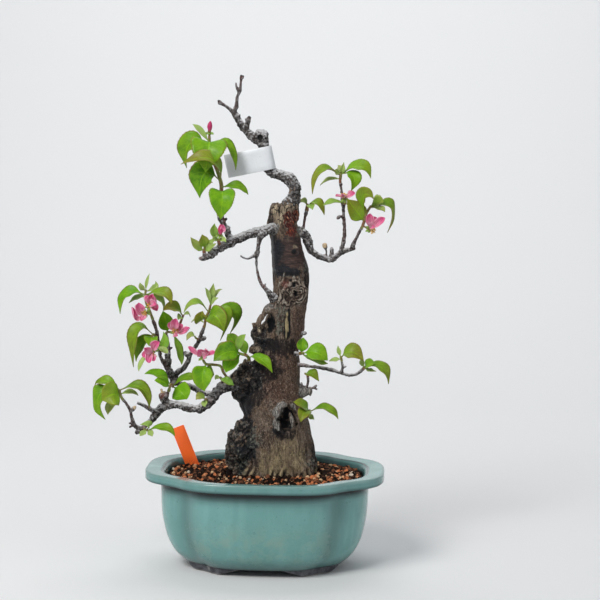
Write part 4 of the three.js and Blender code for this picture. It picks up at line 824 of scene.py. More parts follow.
@finish("Pink petal", "quince_blossom")
def petal_pink(nodes, look):
    """Soft petal, deep pink outside and at the tip, nearly white at its base inside."""
    place = nodes.position()
    across, along = nodes.mask("across"), nodes.mask("along")
    veins = nodes.group(blade_veins(), across=across, along=along, slant=-0.35, pairs=3,
                        wobble=nodes.noise(place, 4, 2))
    line = nodes.add("CombineXYZ", {0: nodes.times(across, 11), 1: nodes.times(along, 1.5),
                                    2: nodes.mask("tone")})[0]
    thread = nodes.noise(line, 1, 3)
    colour = nodes.paint(look.petal_base).where(along, 0.1, 0.9, look.petal)
    colour.where(thread, 0.42, 0.6, look.petal_deep, 0.85)
    colour.lay(veins["Veins"], look.petal_deep, 0.25)
    outside = nodes.paint(look.petal).where(thread, 0.35, 0.65, look.petal_deep)
    colour.lay(nodes.mask("under"), outside, 0.9)
    rim = nodes.spread(nodes.size_of(across), 0.7, 1, 0, 0.5)
    colour.lay(rim, (250, 206, 216))
    colour.lay(nodes.mask("closed"), nodes.mix(thread, look.petal_deep, (172, 30, 84)), 0.9)
    return {"Base Color": colour, "Roughness": nodes.spread(thread, 0.3, 0.7, 0.4, 0.55),
            "Normal": nodes.bump(thread, 0.2, 0.6), "Subsurface Weight": 0.2,
            "Subsurface Radius": (1, 0.45, 0.5), "Subsurface Scale": MM}


@finish("Pollen")
def pollen_yellow(nodes):
    """Cream threads with yellow heads in the middle of a blossom."""
    grit = nodes.grit(nodes.position(), 0.3)
    colour = nodes.paint((238, 222, 176)).lay(nodes.mask("tone"), (226, 176, 70))
    colour.where(grit["Shade"], 0.7, 1, (168, 112, 40), 0.4)
    return nodes.dusty(colour, grit, 0.6, 0.8, 0.1, 0.6)


@finish("Fired soil grains", "quince_soil")
def soil_clay(nodes, look):
    """Fired clay grains: black, red-brown, orange, tan and a few nearly white."""
    place, tone = nodes.position(), nodes.mask("tone")
    grit, edge = nodes.grit(place, 0.5), nodes.edges(place, 0.53, 0.47)
    colour = nodes.paint(look.grain_dark).where(tone, 0.4, 0.56, look.grain)
    colour.where(tone, 0.7, 0.78, look.grain_orange)
    colour.where(tone, 0.88, 0.92, look.grain_tan)
    colour.where(tone, 0.975, 0.985, (232, 220, 202))
    colour.where(grit["Shade"], 0.55, 1, look.grain_dark, 0.55)
    colour.lay(edge["Edge"], look.grain_tan, nodes.spread(tone, 0.3, 0.8, 0.012, 0.12))
    # Painted shade in the hollows between the grains.
    colour.lay(edge["Hollow"], (12, 8, 8), 0.85)
    return {"Base Color": colour, "Roughness": nodes.dull(grit, 0.5, 0.85),
            "Specular IOR Level": 0.05, "Normal": nodes.bump(grit["Height"], 0.35, 0.8)}


@finish("White tag strip", "quince_labels")
def tag_plastic(nodes, look):
    """White strip with a slight sheen, a little dusty."""
    place = nodes.position()
    grit = nodes.grit(place, 0.5)
    colour = nodes.paint(look.tag).lay(nodes.patches(place, 12, 0.4, 0.25), (200, 204, 210), 0.3)
    colour.lay(nodes.edges(place)["Edge"], (246, 246, 246), 0.3)
    colour.where(grit["Shade"], 0.96, 1, (168, 168, 164), 0.35)
    return {"Base Color": colour, "Roughness": nodes.dull(grit, 0.24, 0.36),
            "Normal": nodes.bump(nodes.noise(place, 7, 2), 0.3, 0.5)}


@finish("Orange stake", "quince_labels")
def stake_plastic(nodes, look):
    """Plain orange plastic, scuffed along its edges and soiled where it enters the ground; it glows faintly, as
    painted light.
    """
    place = nodes.position()
    scuff = nodes.noise(place, (0.7, 0.7, 12), 4, 0.6)
    grit = nodes.grit(place, 0.6)
    colour = nodes.paint(look.stake).where(scuff, 0.45, 0.75, (255, 120, 50), 0.3)
    colour.lay(nodes.edges(place)["Edge"], (255, 160, 96), 0.5)
    soiled = nodes.times(nodes.spread(nodes.axis(place, 2), 108, 98), nodes.spread(grit["Dust"], 0.35, 0.6))
    colour.lay(soiled, (112, 62, 40), 0.6)
    # Painted light: the stake glows faintly in its own colour.
    return {"Base Color": colour, "Emission Color": colour, "Emission Strength": 0.3,
            "Roughness": nodes.spread(scuff, 0.3, 0.7, 0.36, 0.52), "Normal": nodes.bump(scuff, 0.08, 0.5)}


@finish("Dusty mesh")
def mesh_plastic(nodes):
    """Dark plastic mesh, dusty with clay."""
    place = nodes.position()
    grit = nodes.grit(place, 0.7)
    colour = nodes.paint((38, 42, 40)).lay(nodes.patches(place, 6, 0.45, 0.2), (96, 74, 60), 0.6)
    return nodes.dusty(colour, grit, 0.55, 0.8, 0.1, 0.5)


@finish("Studio paper")
def studio_paper(nodes):
    """Pale paper of the floor and backdrop."""
    fibre = nodes.noise(nodes.position(), 1.5, 4)
    return {"Base Color": nodes.mix(fibre, (226, 227, 228), (230, 231, 232)),
            "Roughness": nodes.spread(fibre, 0.2, 0.8, 0.8, 0.9)}


# What a user may change

def tint(name, description, *screen_colour):
    return bpy.props.FloatVectorProperty(name=name, description=description, subtype="COLOR", size=3, min=0, max=1,
                                         default=ink(*screen_colour))


def size(name, description, millimetres):
    return bpy.props.FloatProperty(name=name, description=description, unit="LENGTH", precision=4, min=0.0001,
                                   default=millimetres * MM)


def power(name, description, default):
    return bpy.props.FloatProperty(name=name, description=description, min=0, default=default)


class PotSettings(bpy.types.PropertyGroup):
    """Glaze and softness of the pot."""
    glaze: tint("Glaze", "Main colour of the glaze", 110, 160, 157)
    glaze_deep: tint("Deep glaze", "Thicker parts of the glaze", 88, 138, 132)
    glaze_light: tint("Light glaze", "Where the glaze runs thin", 128, 178, 174)
    # Colour of the painted shade, and of the pooled glaze in the notches
    glaze_pool_shade: tint("Pooled glaze", "In the notches and under the rim", 14, 34, 40)
    # Colour of the thin glaze on edges and of the painted highlight along the rim
    glaze_edge_highlight: tint("Glaze on edges", "Along the rim's edges", 176, 206, 202)
    edge_radius: size("Edge radius", "Rounding of the rim's edges", 1.4)


class SoilSettings(bpy.types.PropertyGroup):
    """Grains of the soil."""
    grain: tint("Grain", "Most of the grains", 102, 54, 38)
    grain_dark: tint("Dark grain", "Damp and old grains", 24, 15, 14)
    grain_orange: tint("Orange grain", "Fresh fired grains", 216, 122, 74)
    grain_tan: tint("Tan grain", "Pale grains", 230, 190, 148)
    coarse: size("Coarse grain", "Half the width of a large grain", 2.3)
    fine: size("Fine grain", "Half the width of a small grain", 1.4)


class BarkSettings(bpy.types.PropertyGroup):
    """Bark of the trunk and branches."""
    bark: tint("Bark", "Main colour of the trunk", 98, 84, 72)
    bark_dark: tint("Dark bark", "Furrows and shaded bark", 54, 45, 40)
    bark_warm: tint("Warm bark", "Brown patches", 112, 88, 68)
    bark_pale: tint("Pale bark", "Flecks and raised strands", 176, 156, 140)
    bark_red: tint("Red bark", "Flaky bark of the middle trunk", 92, 66, 55)
    bark_sleek: tint("Smooth bark", "Smooth bark below the chopped top", 44, 33, 33)
    bark_tan: tint("Tan strands", "Stripes of the root flare", 164, 148, 114)
    whorl: tint("Whorl", "Pale folds of the healed whorl", 150, 140, 126)
    # Blue-black painted shade, glossy
    wet_shaded_bark: tint("Wet bark", "Blue-black patches", 13, 18, 25)
    cut_wood: tint("Cut wood", "Chopped top and old cuts", 214, 196, 166)
    branch: tint("Branch", "Main colour of the branches", 92, 87, 86)
    branch_dark: tint("Dark branch", "Shaded branch bark", 50, 43, 42)
    # Painted highlight on the branches' upper sides and raised edges
    branch_highlight: tint("Pale branch", "Upper side of the branches", 192, 192, 194)
    young_wood: tint("Young wood", "Thin red-brown twigs", 104, 52, 44)
    trunk_grain: size("Trunk detail", "Width of the faces on the trunk", 0.96)
    branch_grain: size("Branch detail", "Width of the faces on the branches", 0.69)


class LeafSettings(bpy.types.PropertyGroup):
    """Leaves."""
    leaf: tint("Leaf", "Upper side of a leaf", 94, 164, 4)
    leaf_deep: tint("Deep leaf", "Older leaves", 40, 112, 8)
    leaf_light: tint("Light leaf", "Veins and pale patches", 146, 198, 24)
    leaf_young: tint("Young leaf", "Leaves that just opened", 182, 198, 128)
    leaf_under: tint("Underside", "Lower side of a leaf", 128, 150, 78)
    leaf_margin: tint("Margin", "Thin edge of a leaf", 150, 104, 64)
    thickness: size("Thickness", "How thick a leaf is", 0.6)


class BlossomSettings(bpy.types.PropertyGroup):
    """Blossoms."""
    petal: tint("Petal", "Main colour of a petal", 232, 112, 160)
    petal_deep: tint("Deep pink", "Outside of petals, and buds", 190, 38, 106)
    petal_base: tint("Petal base", "Inside, near the middle", 250, 212, 226)
    thickness: size("Thickness", "How thick a petal is", 0.6)


class LabelSettings(bpy.types.PropertyGroup):
    """Tag and stake."""
    tag: tint("Tag", "Strip round the leader", 222, 225, 229)
    stake: tint("Stake", "Stake in the soil", 255, 108, 42)


class StageSettings(bpy.types.PropertyGroup):
    """Light and camera."""
    key_power: power("Key light", "Power of the large light at the left", 44)
    fill_power: power("Fill light", "Power of the light at the right", 6)
    back_power: power("Backdrop light", "Power of the light on the backdrop", 26)
    sky_strength: power("Room light", "Even light from all round", 0.3)
    lens: bpy.props.FloatProperty(name="Lens", description="Focal length of the camera", min=1, default=108,
                                  unit="CAMERA")


# Pot

OUTLINE_LENGTH, OUTLINE_DEPTH = 125, 93
RIM_TOP, RIM_UNDERSIDE = 103.5, 94
POT_UNDERSIDE, POT_FLOOR = 8, 15.5
# Half length, half depth and height of the outside wall, then of the inside wall
OUTSIDE_WALL = ((84, 60.5, 8), (94, 68.5, 17.6), (101, 74, 30), (106.4, 78.4, 51), (109, 81, 93.4))
INSIDE_WALL = ((80, 56.5, 15.5), (92, 66.5, 25), (98.5, 71.5, 42), (101.5, 74, 60), (102.5, 75, 93))
POT_SIDES = 256
DRAIN_HOLE = 9
DRAIN_OFFSET = 42
FOOT_LENGTH, FOOT_DEPTH, FOOT_WIDTH, FOOT_RISE = 81.5, 58.5, 14, 11


def lobe_reaches(length, depth, x, y):
    """How far the two end lobes and the two side lobes reach in the direction x, y."""
    def reach(a, b, power):
        return np.maximum((np.abs(x) / a) ** power + (np.abs(y) / b) ** power, 1e-9) ** (-1 / power)
    return reach(length, 0.774 * depth, 3.2), reach(0.76 * length, depth, 3.5)


def lobed_reach(length, depth, x, y):
    """How far out the four-lobed outline lies in the direction x, y."""
    ends, sides = lobe_reaches(length, depth, x, y)
    return np.maximum(ends, sides) * (1 + (np.minimum(ends, sides) / np.maximum(ends, sides)) ** 26) ** (1 / 26)


def lobed_ring(length, depth, height, sides=POT_SIDES):
    turns = 2 * np.pi * (np.arange(sides) + 0.5) / sides
    x, y = OUTLINE_LENGTH * np.cos(turns), OUTLINE_DEPTH * np.sin(turns)
    reach = lobed_reach(length, depth, x, y)
    return np.stack([x * reach, y * reach, np.full(sides, float(height))], axis=1)


def wall_rows(rows, count):
    """More rows on a smooth curve through the given ones."""
    rows = np.array(rows, float)
    steps = run_along(rows)
    return [tuple(row) for row in through(steps, rows, np.linspace(0, steps[-1], count))]


def pot_profile(edge):
    """Rows from the middle of the underside, out and up, over the rim and down to the middle of the floor."""
    length, depth = OUTSIDE_WALL[0][:2]
    rows = [(share * length, share * depth, POT_UNDERSIDE) for share in (0.03, 0.2, 0.4, 0.6, 0.8, 0.93, 0.985)]
    rows += wall_rows(OUTSIDE_WALL, 26)[:-1]
    rows += [(109, 81, 91.2), (109.3, 81.3, 92.8), (110.4, 82.3, 93.7), (113, 84.4, RIM_UNDERSIDE - 0.1),
             (118, 88, RIM_UNDERSIDE), (OUTLINE_LENGTH - edge, OUTLINE_DEPTH - edge, RIM_UNDERSIDE)]
    for turn in (30, 60, 90):
        out, up = edge * math.sin(math.radians(turn)), edge * (1 - math.cos(math.radians(turn)))
        rows.append((OUTLINE_LENGTH - edge + out, OUTLINE_DEPTH - edge + out, RIM_UNDERSIDE + up))
    rows += [(124.9, 92.9, 97.5), (OUTLINE_LENGTH, OUTLINE_DEPTH, 100.2)]
    for turn in (0, 30, 60, 90):
        out, up = 1.8 * math.cos(math.radians(turn)), 1.8 * math.sin(math.radians(turn))
        rows.append((123.2 + out, 91.2 + out, RIM_TOP - 1.8 + up))
    rows += [(121, 89.4, RIM_TOP - 0.05), (116, 85.6, RIM_TOP - 0.45), (110, 81.2, RIM_TOP - 0.8),
             (107, 79, RIM_TOP - 1.2), (105, 77.4, RIM_TOP - 2.4), (103.8, 76.3, RIM_TOP - 4.6),
             (103, 75.5, 96.5)]
    rows += wall_rows(INSIDE_WALL, 14)[::-1]
    length, depth = INSIDE_WALL[0][:2]
    rows += [(share * length, share * depth, POT_FLOOR) for share in (0.97, 0.8, 0.5, 0.2, 0.03)]
    return rows


def closed_rings(rings):
    """Points and quads of a closed form from rings, with a fan at each end."""
    sides = len(rings[0])
    points = np.concatenate([*rings, [rings[0].mean(axis=0), rings[-1].mean(axis=0)]])
    faces = ring_faces(len(rings), sides)
    start, last = len(points) - 2, (len(rings) - 1) * sides
    for side in range(sides):
        following = (side + 1) % sides
        faces.append((start, following, side))
        faces.append((start + 1, last + side, last + following))
    return points, faces


def bracket_foot(sign_x, sign_y):
    """A foot that follows the outline, flat in its middle and curved up to the body at both ends."""
    rings = []
    for degrees in np.linspace(12, 78, 45):
        turn = math.radians(degrees)
        lift = max((34 - degrees) / 22, (degrees - 58) / 20, 0)
        bottom = (POT_UNDERSIDE + 0.5) * lift
        corner = []
        for inset, rise in ((FOOT_WIDTH, FOOT_RISE), (FOOT_WIDTH, 1.6), (13.3, 0.5), (12.2, 0), (7, 0), (2, 0),
                            (0.6, 0.5), (0, 1.6), (-0.5, 6), (-1, FOOT_RISE)):
            height = min(bottom + rise, FOOT_RISE)
            length, depth = FOOT_LENGTH - inset, FOOT_DEPTH - inset
            x, y = length * (sign_x * math.cos(turn)), depth * (sign_y * math.sin(turn))
            reach = lobed_reach(length, depth, x, y)
            corner.append((x * reach, y * reach, height))
        rings.append(np.array(corner))
    if sign_x * sign_y > 0:
        rings.reverse()
    return closed_rings(rings)


def carve(form, other, operation):
    """Joins another form to this one, or cuts it away, and removes the other."""
    change = form.modifiers.new("carve", "BOOLEAN")
    change.operation = operation
    change.solver = "EXACT"
    change.object = other
    mesh = bpy.data.meshes.new_from_object(form.evaluated_get(bpy.context.evaluated_depsgraph_get()))
    form.modifiers.clear()
    old, form.data = form.data, mesh
    bpy.data.meshes.remove(old)
    bpy.data.objects.remove(other)


def pot_masks(points):
    """Painted shade in the notches (where the glaze also pools), under the rim, low on the body, on the rim's lower
    edge and inside the wall; stains; a painted highlight along the rim's top outer edge; and dark lines of painted
    shade.
    """
    x, y, z = points.T
    ends, sides = lobe_reaches(*OUTSIDE_WALL[-1][:2], x, y)
    notch = 1 - smooth(np.abs(np.log(ends / sides)), 0, 0.16)
    body = smooth(z, 94.2, 93.4)
    out = 1 / lobed_reach(OUTLINE_LENGTH, OUTLINE_DEPTH, x, y)
    # Painted shade, darkest just under the lip; the notches also hold pooled glaze.
    pool_and_shade = np.maximum.reduce([
        np.maximum(0.36 * notch, 0.85 * smooth(z, 79.5, 89.5)) * body, 0.45 * smooth(z, 26, 10) * body,
        0.2 * smooth(z, 94.6, 96) * smooth(z, 101.6, 100.6), 0.75 * smooth(z, 97.2, 94.6) * (1 - body),
        0.6 * smooth(out, 0.85, 0.83) * smooth(z, 102.6, 100) * smooth(z, 90, 92)])
    # A painted highlight along the rim's top outer edge.
    outside = smooth(out, 0.975, 0.99)
    thin = 0.5 * outside * smooth(z, 100.9, 102.4) * smooth(z, 104, 103)
    on_top = smooth(z, 101, 102.2)
    # Dark lines of painted shade: under the lip, at the base of the body and along the rim's inner and outer top
    # edges.
    line = np.maximum.reduce([
        0.97 * smooth(z, 86.4, 90.2) * smooth(out, 0.98, 0.94) * body, 0.85 * smooth(z, 10.8, 8.8),
        0.9 * on_top * smooth(out, 0.838, 0.846) * smooth(out, 0.866, 0.856),
        0.3 * smooth(z, 100.8, 102) * smooth(out, 0.974, 0.984)])
    front = smooth(y, -40, -62) * smooth(np.abs(x), 92, 55)
    stained = front * smooth(z, 66, 42) * smooth(z, 12, 24)
    return {"pool_and_shade": pool_and_shade, "thin": thin, "line": line, "stained": stained}


def build_pot():
    edge = bpy.context.scene.quince_pot.edge_radius / MM
    rings = [lobed_ring(*row) for row in pot_profile(edge)]
    body = plain_object("pot_body", *closed_rings(rings), teal_glaze(), bare_clay())
    for sign_x, sign_y in product((-1, 1), repeat=2):
        foot = plain_object("foot", *bracket_foot(sign_x, sign_y), teal_glaze(), bare_clay())
        foot.data.polygons.foreach_set("material_index", [1] * len(foot.data.polygons))
        carve(body, foot, "UNION")
    for sign in (-1, 1):
        turns = circle(40)
        ring = np.stack([sign * DRAIN_OFFSET + DRAIN_HOLE * np.cos(turns), DRAIN_HOLE * np.sin(turns)], axis=1)
        rings = [np.column_stack([ring, np.full(40, height)]) for height in (4, 22)]
        hole = plain_object("hole", *closed_rings(rings), teal_glaze())
        carve(body, hole, "DIFFERENCE")
    mesh = body.data
    points = np.array([v.co[:] for v in mesh.vertices])
    faces = [tuple(p.vertices) for p in mesh.polygons]
    finish = [p.material_index for p in mesh.polygons]
    bpy.data.objects.remove(body)
    piece = make_piece("glazed_pot", points, faces, [teal_glaze(), bare_clay()], ["pot"], finish,
                       pot_masks(points))
    piece.data.set_sharp_from_angle(angle=math.radians(38))


# Soil

SOIL_EDGE, SOIL_MOUND, SOIL_SIDES = 95, 6.5, 144
# Half length and half depth of the mound at the wall, and of the area where grains are strewn
SOIL_LENGTH, SOIL_DEPTH = 101.9, 74.4
GRAINS_LENGTH, GRAINS_DEPTH = 101.2, 73.7
SOIL_SEED = 720


def soil_height(x, y):
    """Height of the mound, highest at the trunk."""
    reach = np.hypot((x - 8) / 96, y / 72)
    return SOIL_EDGE + SOIL_MOUND * (1 - smooth(reach, 0.3, 1))


def in_trunk(x, y, room):
    """Whether a place on the soil lies in the trunk's foot or its burls, with some room round them."""
    foot = ((x - 8) / (46.6 + room)) ** 2 + (y / (36 + room)) ** 2 < 1
    left = ((x + 24) / (18 + room)) ** 2 + ((y + 13) / (17 + room)) ** 2 < 1
    right = ((x - 38) / (14 + room)) ** 2 + ((y + 14) / (16 + room)) ** 2 < 1
    return foot | left | right


def ball(level):
    """Points and faces of a round ball made of even triangles."""
    long = (1 + 5 ** 0.5) / 2
    points = [(-1, long, 0), (1, long, 0), (-1, -long, 0), (1, -long, 0), (0, -1, long), (0, 1, long),
              (0, -1, -long), (0, 1, -long), (long, 0, -1), (long, 0, 1), (-long, 0, -1), (-long, 0, 1)]
    faces = [(0, 11, 5), (0, 5, 1), (0, 1, 7), (0, 7, 10), (0, 10, 11), (1, 5, 9), (5, 11, 4), (11, 10, 2),
             (10, 7, 6), (7, 1, 8), (3, 9, 4), (3, 4, 2), (3, 2, 6), (3, 6, 8), (3, 8, 9), (4, 9, 5), (2, 4, 11),
             (6, 2, 10), (8, 6, 7), (9, 8, 1)]
    points = [tuple(unit(point)) for point in points]
    for _ in range(level):
        middle, finer = {}, []
        for a, b, c in faces:
            corner = []
            for one, other in ((a, b), (b, c), (c, a)):
                key = (min(one, other), max(one, other))
                if key not in middle:
                    middle[key] = len(points)
                    points.append(tuple(unit(np.add(points[one], points[other]))))
                corner.append(middle[key])
            ab, bc, ca = corner
            finer += [(a, ab, ca), (b, bc, ab), (c, ca, bc), (ab, bc, ca)]
        faces = finer
    return np.array(points), np.array(faces)


def strew(random, step, half, level, share, lift):
    """Rough grains strewn over the soil on a loose grid."""
    points, faces = ball(level)
    shape = Shape()
    rows = np.arange(-76, 76, step)
    for number, row in enumerate(rows):
        for x in np.arange(-104, 104, step * 1.12) + (number % 2) * step * 0.56:
            px, py = x + random.uniform(-0.42, 0.42) * step, row + random.uniform(-0.42, 0.42) * step
            tone, turn, scale = random.random(), unit(random.normal(size=4)), random.uniform(0.6, 1.2)
            flat = random.uniform(0.72, 1.1, 3)
            pebble = int(random.integers(1, 1000))
            outside = lobed_reach(GRAINS_LENGTH, GRAINS_DEPTH, px, py) < 1.015
            if outside or in_trunk(px, py, 0.5 * half) or random.random() > share:
                continue
            rough = 1 + 0.24 * drift(points * 1.3 + pebble, 1, 5) + 0.12 * drift(points * 2.9 + pebble, 1, 6)
            w, i, j, k = turn
            spin = np.array([[1 - 2 * (j * j + k * k), 2 * (i * j - k * w), 2 * (i * k + j * w)],
                             [2 * (i * j + k * w), 1 - 2 * (i * i + k * k), 2 * (j * k - i * w)],
                             [2 * (i * k - j * w), 2 * (j * k + i * w), 1 - 2 * (i * i + j * j)]])
            grain = (points * rough[:, None] * flat * half * scale) @ spin.T
            place = np.array([px, py, soil_height(px, py) + lift * half * scale])
            # More fresh orange grains at the front right
            bright = float(smooth(math.hypot((px - 56) / 1.5, py + 42), 24, 8))
            tone = max(tone, 0.72 + 0.1 * random.random()) if tone > 1 - 0.75 * bright else tone
            shape.add(grain + place, faces, tone=tone ** (1.1 if level else 1.45))
    return shape


def build_soil():
    look = bpy.context.scene.quince_soil
    rings = []
    for length, depth, height in wall_rows(INSIDE_WALL, 8)[:-1]:
        rings.append(lobed_ring(length - 0.6, depth - 0.6, height + 0.4, SOIL_SIDES))
    for share in np.linspace(1, 0.02, 36):
        ring = lobed_ring(SOIL_LENGTH * share, SOIL_DEPTH * share, 0, SOIL_SIDES)
        ring[:, 2] = soil_height(ring[:, 0], ring[:, 1])
        rough = layered(ring, 3.4, 31, 3) * 0.8
        ring[:, 2] += np.minimum(rough, 0.9)
        rings.append(ring)
    points, faces = closed_rings(rings)
    # The bed under the grains is kept nearly black: painted shade between the grains.
    tone = 0.04 + 0.3 * layered(points, 2.2, 41, 2)
    make_piece("soil_bed", points, faces, [soil_clay()], ["soil"], None, {"tone": np.clip(tone, 0, 1)})
    random = np.random.default_rng(SOIL_SEED)
    coarse = strew(random, 4.1, look.coarse / MM, 1, 0.97, 0.45)
    coarse.build("coarse_soil_grains", [soil_clay()], "soil", ["soil"])
    fine = strew(random, 2.5, look.fine / MM, 0, 0.8, 0.3)
    fine.build("fine_soil_grains", [soil_clay()], "soil", ["soil"])


# Branches and twigs: each station is x, y, z and radius

